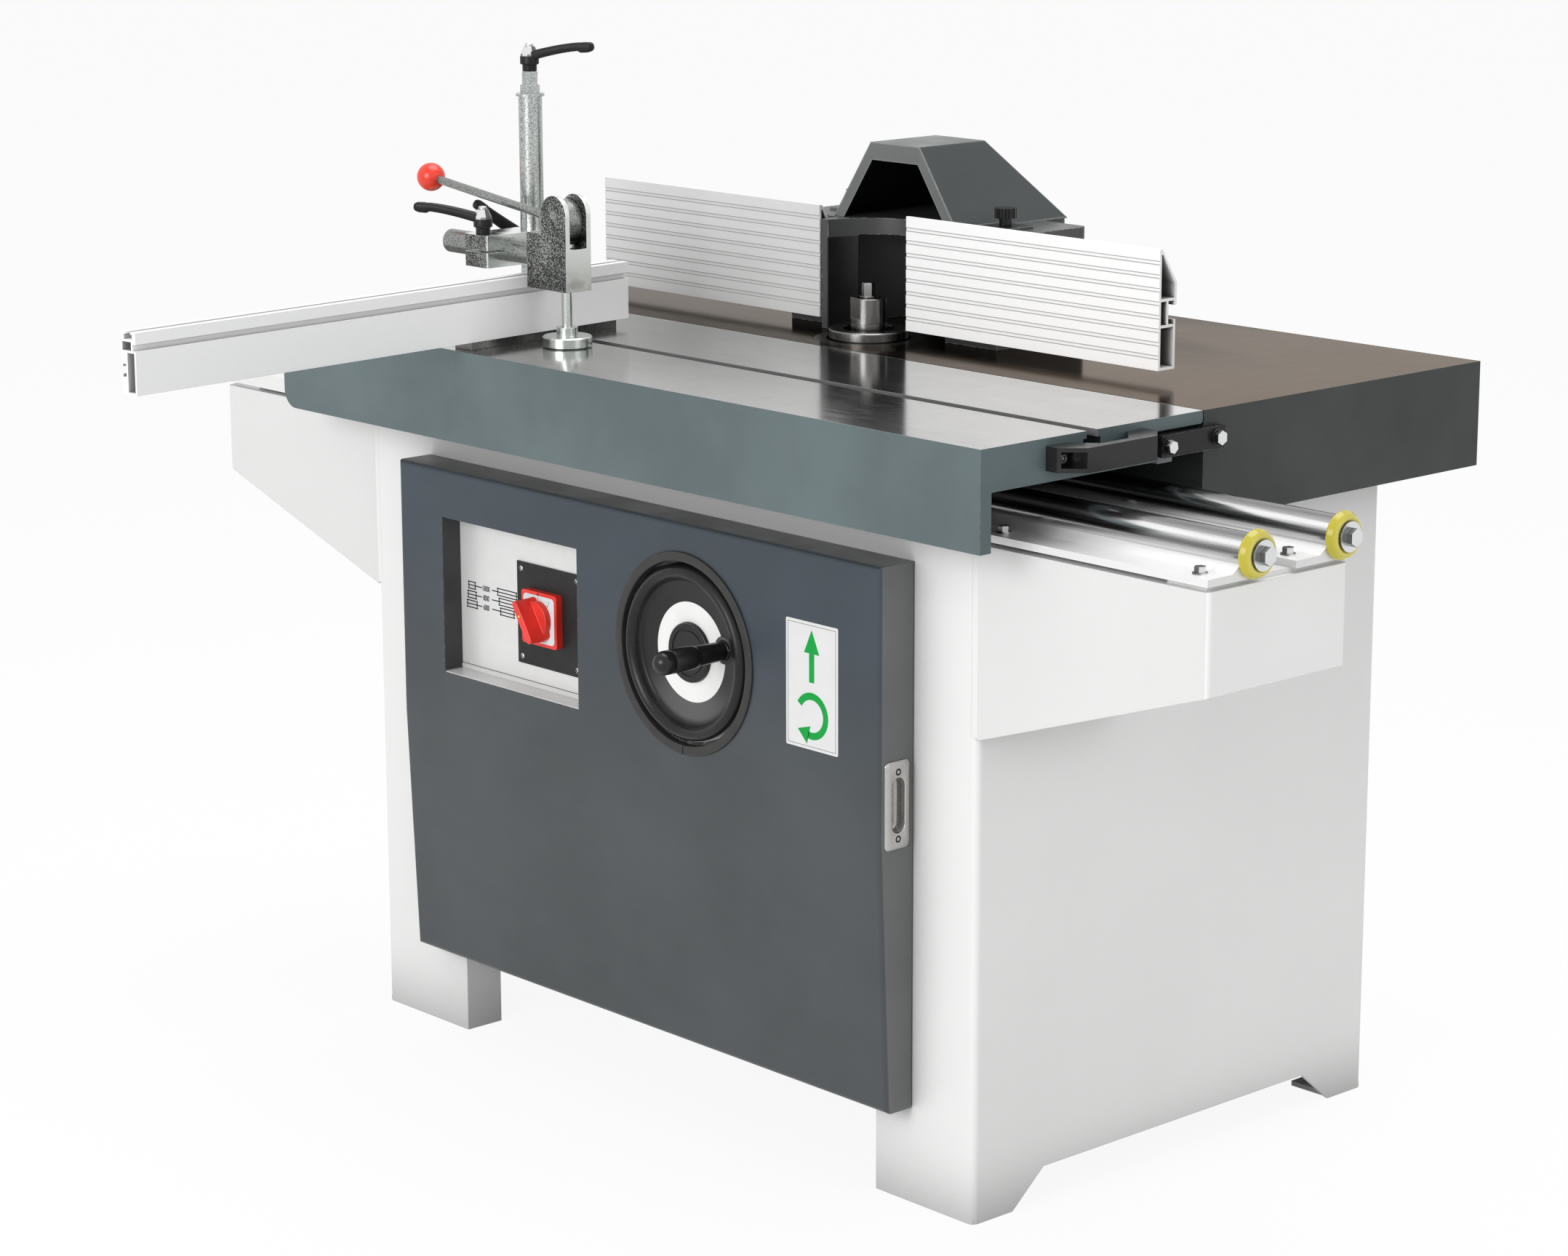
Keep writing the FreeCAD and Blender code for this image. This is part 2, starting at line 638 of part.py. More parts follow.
def cabinet_parts():
    """Folded sheet cabinet with open bottom, and the two hollow side arms."""
    half = CABINET_WIDTH / 2
    back = -CABINET_FRONT
    wall = CABINET_WALL
    outer = block(-half, half, CABINET_FRONT, back, 0, CABINET_TOP)
    outer = rounded(outer, CABINET_BEND, lambda edge: along(edge, Z))
    inner = block(-half + wall, half - wall, CABINET_FRONT + wall, back - wall, -OVERRUN,
                  CABINET_TOP - wall)
    body = outer.cut(inner)
    left = -half + FOOT_LEFT
    right = half - FOOT_RIGHT
    door_way = block(left, right, CABINET_FRONT - OVERRUN, CABINET_FRONT + 2 * wall, -OVERRUN,
                     DOOR_TOP - FRONT_RAIL)
    top_half = TOP_OPENING_WIDTH / 2
    top_way = block(-top_half, top_half, TOP_OPENING_FRONT, TOP_OPENING_BACK, CABINET_TOP - 2 * wall,
                    CABINET_TOP + OVERRUN)
    near = CABINET_FRONT + SIDE_FOOT
    far = back - SIDE_FOOT
    side_outline = [V(-half - OVERRUN, near, 0), V(-half - OVERRUN, near + SIDE_CUT_RUN, SIDE_CUT_HEIGHT),
                    V(-half - OVERRUN, far - SIDE_CUT_RUN, SIDE_CUT_HEIGHT), V(-half - OVERRUN, far, 0)]
    side_cut = prism(side_outline, X * (CABINET_WIDTH + 2 * OVERRUN))
    rear = back - 2 * wall
    rear_outline = [V(left, rear, 0), V(left + SIDE_CUT_RUN, rear, SIDE_CUT_HEIGHT),
                    V(right - SIDE_CUT_RUN, rear, SIDE_CUT_HEIGHT), V(right, rear, 0)]
    rear_cut = prism(rear_outline, Y * (2 * wall + OVERRUN))
    body = body.cut(door_way).cut(top_way).cut(side_cut).cut(rear_cut)
    fold_back = CABINET_FRONT + FOOT_RETURN
    folds = [block(left - wall, left, CABINET_FRONT + wall / 2, fold_back, 0, CABINET_TOP - wall / 2),
             block(right, right + wall, CABINET_FRONT + wall / 2, fold_back, 0, CABINET_TOP - wall / 2)]
    pads = []
    for side in (-1, 1):
        middle = side * PAD_MIDDLE_X
        pads.append(block(middle - PAD_LENGTH / 2, middle + PAD_LENGTH / 2, CABINET_FRONT + CABINET_BEND,
                          CABINET_FRONT + ARM_DEPTH, CABINET_TOP - wall / 2, CABINET_TOP + PAD_HEIGHT))
    plates = []
    anchors = []
    for side_x in (-1, 1):
        for side_y in (-1, 1):
            reach = FOOT_PLATE_SIZE / 2 + wall / 2
            plates.append(block(side_x * ANCHOR_X - reach, side_x * ANCHOR_X + reach,
                                side_y * ANCHOR_Y - reach,
                                side_y * ANCHOR_Y + reach, 0, FOOT_PLATE))
            anchors.append(rod(ANCHOR_RADIUS, V(side_x * ANCHOR_X, side_y * ANCHOR_Y, -OVERRUN), Z,
                               FOOT_PLATE + 2 * OVERRUN))
    body = joined([body] + folds + pads + plates)
    for anchor in anchors:
        body = body.cut(anchor)

    def arm_outline(inset, root):
        slope = (ARM_ROOT_HEIGHT - ARM_END_HEIGHT) / ARM_LENGTH
        lift = inset * math.sqrt(1 + slope * slope)
        end = half + ARM_LENGTH - inset
        depth = CABINET_FRONT + inset
        end_low = CABINET_TOP - ARM_END_HEIGHT - slope * inset + lift
        root_low = CABINET_TOP - ARM_ROOT_HEIGHT + slope * (root - half) + lift
        return [V(root, depth, CABINET_TOP - inset), V(end, depth, CABINET_TOP - inset),
                V(end, depth, end_low), V(root, depth, root_low)]

    arm = prism(arm_outline(0, half), Y * ARM_DEPTH)
    arm = rounded(arm, CABINET_BEND, lambda edge: along(edge, Z)
                  and edge.CenterOfMass.x > half + ARM_LENGTH / 2)
    hollow = prism(arm_outline(wall, half - OVERRUN), Y * (ARM_DEPTH - 2 * wall))
    pad = block(half + ARM_LENGTH - PAD_LENGTH, half + ARM_LENGTH - CABINET_BEND,
                CABINET_FRONT + CABINET_BEND,
                CABINET_FRONT + ARM_DEPTH - CABINET_BEND, CABINET_TOP - wall / 2,
                CABINET_TOP + PAD_HEIGHT)
    arm = joined([arm.cut(hollow), pad])
    return {"cabinet_body": body, "side_arms": Part.makeCompound([arm, mirrored(arm)])}


def main_table_parts():
    """Cast main table, hollow below, with its spindle opening and insert ring."""
    wall = MAIN_WALL
    body = block(-HALF_LENGTH, HALF_LENGTH, MAIN_FRONT, MAIN_BACK, CABINET_TOP, TABLE_HEIGHT)
    hollow = block(-HALF_LENGTH + wall, HALF_LENGTH - wall, MAIN_FRONT + wall, MAIN_BACK - wall,
                   CABINET_TOP - OVERRUN, PLATE_UNDERSIDE)
    body = body.cut(hollow)
    rib = MAIN_RIB_WALL / 2
    rib_low = PLATE_UNDERSIDE - MAIN_RIB_DROP
    pieces = [body]
    for side in (-1, 1):
        middle = side * MAIN_RIB_SHARE * HALF_LENGTH
        pieces.append(block(middle - rib, middle + rib, MAIN_FRONT + wall / 2, MAIN_BACK - wall / 2,
                            rib_low, PLATE_UNDERSIDE + wall / 2))
    rib_y = MAIN_BACK - MAIN_RIB_SETBACK
    pieces.append(block(-HALF_LENGTH + wall / 2, HALF_LENGTH - wall / 2, rib_y - rib, rib_y + rib,
                        rib_low, PLATE_UNDERSIDE + wall / 2))
    boss_at = SPINDLE_AT + Z * (PLATE_UNDERSIDE - BORE_BOSS_DROP)
    boss = rod(TABLE_BORE_RADIUS + BORE_BOSS_WALL, boss_at, Z, BORE_BOSS_DROP + wall / 2)
    boss = boss.common(block(-HALF_LENGTH, HALF_LENGTH, MAIN_FRONT, MAIN_BACK, CABINET_TOP, TABLE_HEIGHT))
    body = joined(pieces + [boss])
    body = body.cut(rod(TABLE_BORE_RADIUS, SPINDLE_AT + Z * CABINET_TOP, Z, MAIN_SKIRT + OVERRUN))
    seat = TABLE_HEIGHT - INSERT_THICKNESS
    body = body.cut(rod(INSERT_RADIUS, SPINDLE_AT + Z * seat, Z, INSERT_THICKNESS + OVERRUN))
    slot_from = CASING_FRONT + CASING_WALL
    for side in (-1, 1):
        middle = side * FENCE_SLOT_X
        half = FENCE_SLOT_WIDTH / 2
        body = body.cut(block(middle - half, middle + half, slot_from, slot_from + FENCE_SLOT_LENGTH,
                              PLATE_UNDERSIDE - OVERRUN, TABLE_HEIGHT + OVERRUN))
    insert = pipe(INSERT_RADIUS - RUNNING_GAP, INSERT_BORE_RADIUS, SPINDLE_AT + Z * seat, Z,
                  INSERT_THICKNESS)
    return {"main_table": body, "table_insert_ring": insert}


def rail_parts():
    """Round guide rails on their flanged holders, with end stops and bolts."""
    holders = []
    rails = []
    discs = []
    fixings = []
    low = -RAIL_OVER_PAD
    plate = low + HOLDER_PLATE
    for rail_y in RAIL_YS:
        start = V(-RAIL_END, rail_y, RAIL_Z)
        bar = rod(RAIL_RADIUS, start, X, 2 * RAIL_END)
        rails.append(bar)
        shape = [(-HOLDER_FLANGE, low), (HOLDER_BACK, low), (HOLDER_BACK, -HOLDER_WEB_TOP),
                 (-HOLDER_BACK, -HOLDER_WEB_TOP), (-HOLDER_WEB_FOOT, plate), (-HOLDER_FLANGE, plate)]
        outline = [start + V(0, across, up) for across, up in shape]
        holders.append(prism(outline, X * (2 * RAIL_END)).cut(bar))
        for side in (-1, 1):
            end = V(side * RAIL_END, rail_y, RAIL_Z)
            out = X * side
            profile = [(0, 0), (STOP_RADIUS - STOP_CHAMFER, 0), (STOP_RADIUS, STOP_CHAMFER),
                       (STOP_RADIUS, STOP_LENGTH - STOP_CHAMFER / 2),
                       (STOP_RADIUS - STOP_CHAMFER / 2, STOP_LENGTH), (0, STOP_LENGTH)]
            discs.append(turned(profile, end, out))
            face = end + out * STOP_LENGTH
            washer = rod(STOP_WASHER_RADIUS, face, out, STOP_WASHER_LENGTH)
            head = hexagon(STOP_HEAD_ACROSS, face + out * STOP_WASHER_LENGTH, out, STOP_HEAD_LENGTH)
            fixings.append(joined([washer, head]))
        bolt_y = rail_y - HOLDER_FLANGE + RAIL_BOLT_FROM_EDGE
        pitch = 2 * (RAIL_END - RAIL_BOLT_INSET) / (RAIL_BOLT_COUNT - 1)
        for number in range(RAIL_BOLT_COUNT):
            place = V(-RAIL_END + RAIL_BOLT_INSET + number * pitch, bolt_y, RAIL_Z + plate)
            washer = rod(RAIL_BOLT_WASHER, place, Z, RAIL_BOLT_WASHER_THICKNESS)
            head = hexagon(RAIL_BOLT_ACROSS, place + Z * RAIL_BOLT_WASHER_THICKNESS, Z, RAIL_BOLT_HEAD)
            fixings.append(joined([washer, head]))
    fixings.append(lock_pivot_bolt())
    return {"rail_holders": Part.makeCompound(holders), "guide_rails": Part.makeCompound(rails),
            "stop_discs": Part.makeCompound(discs), "hex_bolts": Part.makeCompound(fixings)}


def sliding_table_parts():
    """Cast sliding table with its T-slot, the roller brackets below it and the bow handle."""
    top = TABLE_HEIGHT
    rib_low = top - SLIDING_RIB_DROP
    skirt = block(-HALF_LENGTH, HALF_LENGTH, SLIDING_FRONT, SLIDING_FRONT + SLIDING_SKIRT_WALL,
                  top - SLIDING_SKIRT, top)
    skirt = rounded(skirt, SLIDING_SKIRT_CORNER,
                    lambda edge: along(edge, Y) and edge.CenterOfMass.z < top - EDGE_TOLERANCE
                    and edge.CenterOfMass.x < 0)
    slab = block(-HALF_LENGTH, HALF_LENGTH, SLIDING_FRONT, SLIDING_BACK, top - SLIDING_PLATE, top)
    slab = rounded(slab, SLIDING_LIP_EDGE_RADIUS,
                   lambda edge: along(edge, X) and edge.CenterOfMass.y > SLAB_BACK
                   and edge.CenterOfMass.z < top - EDGE_TOLERANCE)
    half_rib = SLOT_RIB_WIDTH / 2
    slot_rib = block(-HALF_LENGTH, HALF_LENGTH, SLOT_Y - half_rib, SLOT_Y + half_rib, BRACKET_TOP, top)
    back_rib_y = RAIL_YS[1] - ROLLER_WIDTH / 2 - BRACKET_SIDE_GAP - BRACKET_CHEEK - SLIDING_RIB_WALL
    back_rib = block(-HALF_LENGTH, HALF_LENGTH, back_rib_y - SLIDING_RIB_WALL, back_rib_y, rib_low, top)
    pieces = [slab, skirt, slot_rib, back_rib]
    for side in (-1, 1):
        inner = side * (HALF_LENGTH - SLIDING_RIB_WALL)
        ends = sorted((inner, side * HALF_LENGTH))
        pieces.append(block(ends[0], ends[1], SLIDING_FRONT, SLAB_BACK, rib_low, top))
        half = BRACKET_LENGTH / 2
        middle = side * ROLLER_STATION
        for rail_y in RAIL_YS:
            reach = ROLLER_WIDTH / 2 + BRACKET_SIDE_GAP + BRACKET_CHEEK
            pieces.append(block(middle - half, middle + half, rail_y - reach, rail_y + reach, BRACKET_TOP,
                                top))
    for share in CROSS_RIB_SHARES:
        middle = share * TABLE_LENGTH
        pieces.append(block(middle - SLIDING_RIB_WALL / 2, middle + SLIDING_RIB_WALL / 2, SLIDING_FRONT,
                            back_rib_y, BRACKET_TOP, top))
    table = joined(pieces)
    neck = SLOT_NECK_WIDTH / 2
    head = SLOT_HEAD_WIDTH / 2
    neck_low = top - SLOT_NECK_DEPTH
    far = HALF_LENGTH + OVERRUN
    table = table.cut(block(-far, far, SLOT_Y - neck, SLOT_Y + neck, neck_low - OVERRUN, top + OVERRUN))
    table = table.cut(block(-far, far, SLOT_Y - head, SLOT_Y + head, neck_low - SLOT_HEAD_DEPTH,
                            neck_low))
    pivot = V(MITRE_PIVOT_X, MITRE_PIVOT_Y, top - SLIDING_PLATE - OVERRUN)
    table = table.cut(rod(MITRE_PIN_RADIUS + RUNNING_GAP, pivot, Z, SLIDING_PLATE + 2 * OVERRUN))

    brackets = []
    wheelsets = {}
    for name, side in (("wheelset_left", -1), ("wheelset_right", 1)):
        middle = side * ROLLER_STATION
        half = BRACKET_LENGTH / 2
        cheek_in = ROLLER_WIDTH / 2 + BRACKET_SIDE_GAP
        cheek_out = cheek_in + BRACKET_CHEEK
        low = AXLE_Z - BRACKET_SKIRT
        axle_from = RAIL_YS[0] - cheek_out
        axle_to = RAIL_YS[1] + cheek_out
        bore = rod(ROLLER_AXLE_RADIUS + RUNNING_GAP, V(middle, axle_from, AXLE_Z), Y, axle_to - axle_from)
        for rail_y in RAIL_YS:
            shell = block(middle - half, middle + half, rail_y - cheek_out, rail_y + cheek_out, low,
                          BRACKET_TOP)
            room = block(middle - half - OVERRUN, middle + half + OVERRUN, rail_y - cheek_in,
                         rail_y + cheek_in,
                         low - OVERRUN, BRACKET_TOP - BRACKET_WEB)
            brackets.append(shell.cut(room).cut(bore))
        axle = rod(ROLLER_AXLE_RADIUS, V(middle, axle_from, AXLE_Z), Y, axle_to - axle_from)
        rollers = [grooved_roller(V(middle, rail_y, AXLE_Z)) for rail_y in RAIL_YS]
        wheelsets[name] = Part.makeCompound([axle] + rollers)
    parts = {"sliding_table": table, "axle_brackets": Part.makeCompound(brackets)}
    parts.update(wheelsets)
    parts["table_handle"] = bow_handle()
    return parts


def grooved_roller(place):
    """A roller whose groove follows the round rail under it."""
    half = ROLLER_WIDTH / 2
    groove = RAIL_RADIUS + CLEAR_GAP
    reach = half - ROLLER_LAND
    centre = ROLLER_CORE + groove
    rim = centre - math.sqrt(groove * groove - reach * reach)
    bore = ROLLER_AXLE_RADIUS
    arc = Part.Arc(V(rim, 0, -reach), V(ROLLER_CORE, 0, 0), V(rim, 0, reach)).toShape()
    rest = [V(rim, 0, reach), V(rim, 0, half), V(bore, 0, half), V(bore, 0, -half), V(rim, 0, -half),
            V(rim, 0, -reach)]
    lines = [Part.LineSegment(a, b).toShape() for a, b in zip(rest, rest[1:])]
    face = Part.Face(Part.Wire(Part.__sortEdges__([arc] + lines)))
    return set_on(face.revolve(ORIGIN, Z, 360), place, Y)


def bow_handle():
    """Moulded bow handle: two feet, slanted legs and a bar, with a screw pocket in each leg."""
    back = SLAB_BACK - HANDLE_BACK_GAP
    front = back - HANDLE_LENGTH
    near = HALF_LENGTH
    out = near + HANDLE_REACH
    grip = out - HANDLE_BAR
    low = TABLE_HEIGHT - HANDLE_BELOW_TOP - HANDLE_HEIGHT
    cut = HANDLE_CHAMFER
    leg = HANDLE_FOOT + grip - near
    outline = [V(near, front, low), V(out - cut, front, low), V(out, front + cut, low),
               V(out, back - cut, low), V(out - cut, back, low), V(near, back, low),
               V(near, back - HANDLE_FOOT, low), V(grip, back - leg, low), V(grip, front + leg, low),
               V(near, front + HANDLE_FOOT, low)]
    handle = prism(outline, Z * HANDLE_HEIGHT)
    wall = HANDLE_POCKET_WALL
    floor = near + HANDLE_POCKET_FLOOR
    ends = ((front + HANDLE_POCKET_END, front + cut), (back - cut, back - HANDLE_POCKET_END))
    for start, end in ends:
        pocket = block(floor, out + OVERRUN, start, end, low + wall, low + HANDLE_HEIGHT - wall)
        handle = handle.cut(pocket)
    return handle


def lock_parts():
    """Flat lock bar that swings on a bolt in the main table's right end."""
    bar = block(LOCK_IN, LOCK_OUT, LOCK_FRONT, LOCK_BACK, LOCK_TOP - LOCK_HEIGHT, LOCK_TOP)
    bar = rounded(bar, LOCK_CORNER, lambda edge: along(edge, X))
    bar = bar.cut(rod(LOCK_PIVOT_RADIUS + RUNNING_GAP, V(LOCK_IN, LOCK_PIVOT_Y, LOCK_Z), X,
                      LOCK_THICKNESS))
    catch = hexagon(LOCK_BOLT_ACROSS, V(LOCK_OUT, LOCK_FRONT + LOCK_END_INSET, LOCK_Z), X, LOCK_BOLT_HEAD)
    return {"lock_bar": joined([bar, catch])}


def lock_pivot_bolt():
    """The shouldered bolt in the main table's end that carries the lock bar."""
    shank = rod(LOCK_PIVOT_RADIUS, V(HALF_LENGTH, LOCK_PIVOT_Y, LOCK_Z), X,
                LOCK_SEAT + LOCK_THICKNESS + CLEAR_GAP)
    head = hexagon(LOCK_BOLT_ACROSS, V(LOCK_OUT + CLEAR_GAP, LOCK_PIVOT_Y, LOCK_Z), X, LOCK_BOLT_HEAD)
    washer = rod(LOCK_PIVOT_RADIUS + 2 * LOCK_SEAT, V(HALF_LENGTH, LOCK_PIVOT_Y, LOCK_Z), X,
                 LOCK_SEAT - CLEAR_GAP)
    return joined([shank, head, washer])


def stepped_pulley(radii, bore, centre):
    """A flat-belt pulley with one flanged step for each radius, counted from below."""
    profile = [(bore, 0)]
    height = 0
    for radius in radii:
        rim = radius + PULLEY_FLANGE_RISE
        profile += [(rim, height), (rim, height + PULLEY_FLANGE), (radius, height + PULLEY_FLANGE)]
        height += PULLEY_PITCH
        profile.append((radius, height))
    rim = radii[-1] + PULLEY_FLANGE_RISE
    profile += [(rim, height), (rim, height + PULLEY_FLANGE), (bore, height + PULLEY_FLANGE)]
    return turned(profile, centre + Z * PULLEY_BOTTOM, Z)


def spindle_parts():
    """Spindle with its spacer rings and bolt, and the cartridge that carries it."""
    low = PULLEY_BOTTOM
    chamfer = SPINDLE_CHAMFER
    profile = [(0, low), (SPINDLE_SHAFT_RADIUS, low), (SPINDLE_SHAFT_RADIUS, SPINDLE_SHOULDER),
               (SPINDLE_NOSE_RADIUS, SPINDLE_SHOULDER), (SPINDLE_NOSE_RADIUS, SPACER_TOP - chamfer),
               (SPINDLE_NOSE_RADIUS - chamfer, SPACER_TOP), (0, SPACER_TOP)]
    shaft = turned(profile, SPINDLE_AT, Z)
    rings = []
    ring_height = SPACER_TOTAL / SPACER_COUNT
    for number in range(SPACER_COUNT):
        z0 = SPINDLE_SHOULDER + number * ring_height
        z1 = z0 + ring_height
        ring = [(SPINDLE_NOSE_RADIUS, z0), (SPACER_RADIUS - chamfer / 2, z0),
                (SPACER_RADIUS, z0 + chamfer / 2),
                (SPACER_RADIUS, z1 - chamfer / 2), (SPACER_RADIUS - chamfer / 2, z1),
                (SPINDLE_NOSE_RADIUS, z1)]
        rings.append(turned(ring, SPINDLE_AT, Z))
    top = SPINDLE_AT + Z * SPACER_TOP
    washer = rod(SPINDLE_WASHER_RADIUS, top, Z, SPINDLE_WASHER)
    head = hexagon(SPINDLE_BOLT_ACROSS, top + Z * SPINDLE_WASHER, Z, SPINDLE_BOLT_HEAD)
    quill = pipe(QUILL_RADIUS, QUILL_BORE, SPINDLE_AT + Z * QUILL_END, Z, QUILL_LENGTH)
    ring_low = QUILL_TOP
    ring_high = QUILL_TOP + QUILL_RING_HEIGHT
    ring_edge = QUILL_RING_RADIUS - chamfer
    cap = turned([(QUILL_BORE, ring_low), (QUILL_RING_RADIUS, ring_low),
                  (QUILL_RING_RADIUS, ring_high - chamfer),
                  (ring_edge, ring_high), (QUILL_BORE, ring_high)], SPINDLE_AT, Z)
    bore = SPINDLE_SHAFT_RADIUS + RUNNING_GAP
    bearings = []
    for z0 in (QUILL_END + BEARING_INSET, SPINDLE_SHOULDER - BEARING_INSET - BEARING_WIDTH):
        bearings.append(pipe(QUILL_BORE, bore, SPINDLE_AT + Z * z0, Z, BEARING_WIDTH))
    return {"spindle_shaft": shaft, "spacer_rings": Part.makeCompound(rings),
            "spindle_bolt": joined([washer, head]),
            "spindle_pulley": stepped_pulley(SPINDLE_PULLEY_RADII, SPINDLE_SHAFT_RADIUS, SPINDLE_AT),
            "spindle_quill": joined([quill, cap]), "spindle_bearings": Part.makeCompound(bearings)}


def lift_parts():
    """Carriage on two columns, the screw that lifts it and the bevel gears that turn the screw."""
    height = CARRIAGE_HEIGHT
    low = CARRIAGE_BOTTOM
    boss = COLUMN_RADIUS + COLUMN_BOSS_WALL
    pieces = [rod(QUILL_RADIUS + CARRIAGE_WALL, SPINDLE_AT + Z * low, Z, height)]
    for side in (-1, 1):
        pieces.append(rod(boss, V(side * COLUMN_X, COLUMN_Y, low), Z, height))
    pieces.append(block(-COLUMN_X, COLUMN_X, COLUMN_Y - CARRIAGE_WEB / 2, COLUMN_Y + CARRIAGE_WEB / 2,
                        low, low + height))
    pieces.append(block(-CARRIAGE_WEB, CARRIAGE_WEB, SPINDLE_Y, COLUMN_Y, low, low + height))
    nut_low = CARRIAGE_TOP - NUT_HEIGHT
    pieces.append(rod(NUT_RADIUS, V(WHEEL_X, SCREW_Y, nut_low), Z, NUT_HEIGHT))
    half_web = CARRIAGE_WEB / 2
    pieces.append(block(0, WHEEL_X, SCREW_Y - half_web, SCREW_Y + half_web, nut_low, CARRIAGE_TOP))
    hanger_right = -COLUMN_X - COLUMN_RADIUS - COLUMN_BOSS_WALL / 2
    hanger_left = hanger_right - HANGER_LENGTH
    hanger_front = COLUMN_Y - HANGER_WALL / 2
    pieces.append(block(hanger_left, hanger_right, hanger_front, hanger_front + HANGER_WALL,
                        MOTOR_PLATE_TOP, CARRIAGE_TOP))
    carriage = joined(pieces)
    carriage = carriage.cut(rod(QUILL_RADIUS, SPINDLE_AT + Z * (low - OVERRUN), Z, height + 2 * OVERRUN))
    for side in (-1, 1):
        bore = rod(COLUMN_RADIUS + RUNNING_GAP, V(side * COLUMN_X, COLUMN_Y, low - OVERRUN), Z,
                   height + 2 * OVERRUN)
        carriage = carriage.cut(bore)
    thread = rod(SCREW_RADIUS + RUNNING_GAP, V(WHEEL_X, SCREW_Y, nut_low - OVERRUN), Z,
                 NUT_HEIGHT + 2 * OVERRUN)
    carriage = carriage.cut(thread)

    columns = [rod(COLUMN_RADIUS, V(side * COLUMN_X, COLUMN_Y, BASE_BOTTOM), Z,
                   PLATE_UNDERSIDE - BASE_BOTTOM)
               for side in (-1, 1)]
    base_right = WHEEL_X + BASE_MARGIN
    base_left = -COLUMN_X - BASE_MARGIN
    base = [block(base_left, base_right, COLUMN_Y - CARRIAGE_WEB, COLUMN_Y + BASE_MARGIN, BASE_BOTTOM,
                  BASE_TOP),
            block(WHEEL_X - BASE_MARGIN, base_right, BASE_FRONT, COLUMN_Y, BASE_BOTTOM, BASE_TOP)]
    half_up = UPRIGHT_WIDTH / 2
    for y0 in (BASE_FRONT, UPRIGHT_BACK_Y):
        base.append(block(WHEEL_X - half_up, WHEEL_X + half_up, y0, y0 + UPRIGHT_THICKNESS, BASE_TOP,
                          WHEEL_Z + UPRIGHT_ABOVE_SHAFT))
    base = joined(base)
    for side in (-1, 1):
        base = base.cut(rod(COLUMN_RADIUS, V(side * COLUMN_X, COLUMN_Y, BASE_BOTTOM), Z, BASE_THICKNESS))
    base = base.cut(rod(SCREW_RADIUS + RUNNING_GAP, V(WHEEL_X, SCREW_Y, BASE_BOTTOM), Z, BASE_THICKNESS))
    shaft_bore = rod(CROSS_SHAFT_RADIUS + RUNNING_GAP, V(WHEEL_X, BASE_FRONT - OVERRUN, WHEEL_Z), Y,
                     UPRIGHT_BACK_Y + UPRIGHT_THICKNESS - BASE_FRONT + 2 * OVERRUN)
    base = base.cut(shaft_bore)

    gear = bevel_gear(0, SCREW_RADIUS)
    gear.Placement = FreeCAD.Placement(GEAR_APEX, FreeCAD.Rotation(Z, -90))
    pinion = bevel_gear(0.5, CROSS_SHAFT_RADIUS)
    pinion.Placement = FreeCAD.Placement(GEAR_APEX, FreeCAD.Rotation(V(0, 0, -1), V(-1, 0, 0), Y, "ZXY"))
    screw = rod(SCREW_RADIUS, V(WHEEL_X, SCREW_Y, BASE_BOTTOM), Z, SCREW_TOP - BASE_BOTTOM)
    shaft_back = SCREW_Y - GEAR_PITCH + GEAR_FACE
    shaft = rod(CROSS_SHAFT_RADIUS, V(WHEEL_X, CROSS_SHAFT_FRONT, WHEEL_Z), Y,
                shaft_back - CROSS_SHAFT_FRONT)
    return {"spindle_carriage": carriage, "guide_columns": Part.makeCompound(columns),
            "column_base": base, "lift_screw": screw, "screw_gear": gear,
            "cross_shaft": shaft, "bevel_pinion": pinion}


def bevel_gear(turn_share, bore):
    """A straight-toothed mitre gear below its cone's apex at the origin, its first tooth towards +X."""
    big = GEAR_PITCH
    small = GEAR_PITCH - GEAR_FACE

    def spot(depth, radius_share, angle):
        radius = depth * radius_share
        return V(radius * math.cos(angle), radius * math.sin(angle), -depth)

    root = 1 - GEAR_ROOT_SHARE
    tip = 1 + GEAR_TIP_SHARE
    hub_low = -big - GEAR_HUB_LENGTH
    core = turned([(bore, hub_low), (GEAR_HUB_RADIUS, hub_low), (GEAR_HUB_RADIUS, -big),
                   (big * root, -big),
                   (small * root, -small), (bore, -small)], ORIGIN, Z)
    teeth = []
    foot = root - GEAR_ROOT_SHARE / 2
    for number in range(GEAR_TEETH):
        middle = 2 * math.pi * (number + turn_share) / GEAR_TEETH
        wide = math.radians(GEAR_ROOT_HALF_DEG)
        slim = math.radians(GEAR_TIP_HALF_DEG)
        corners = ((foot, -wide), (tip, -slim), (tip, slim), (foot, wide))
        ends = []
        for depth in (big, small):
            points = [spot(depth, share, middle + swing) for share, swing in corners]
            ends.append(Part.makePolygon(points + points[:1]))
        teeth.append(Part.makeLoft(ends, True, True))
    return core.multiFuse(teeth).removeSplitter()


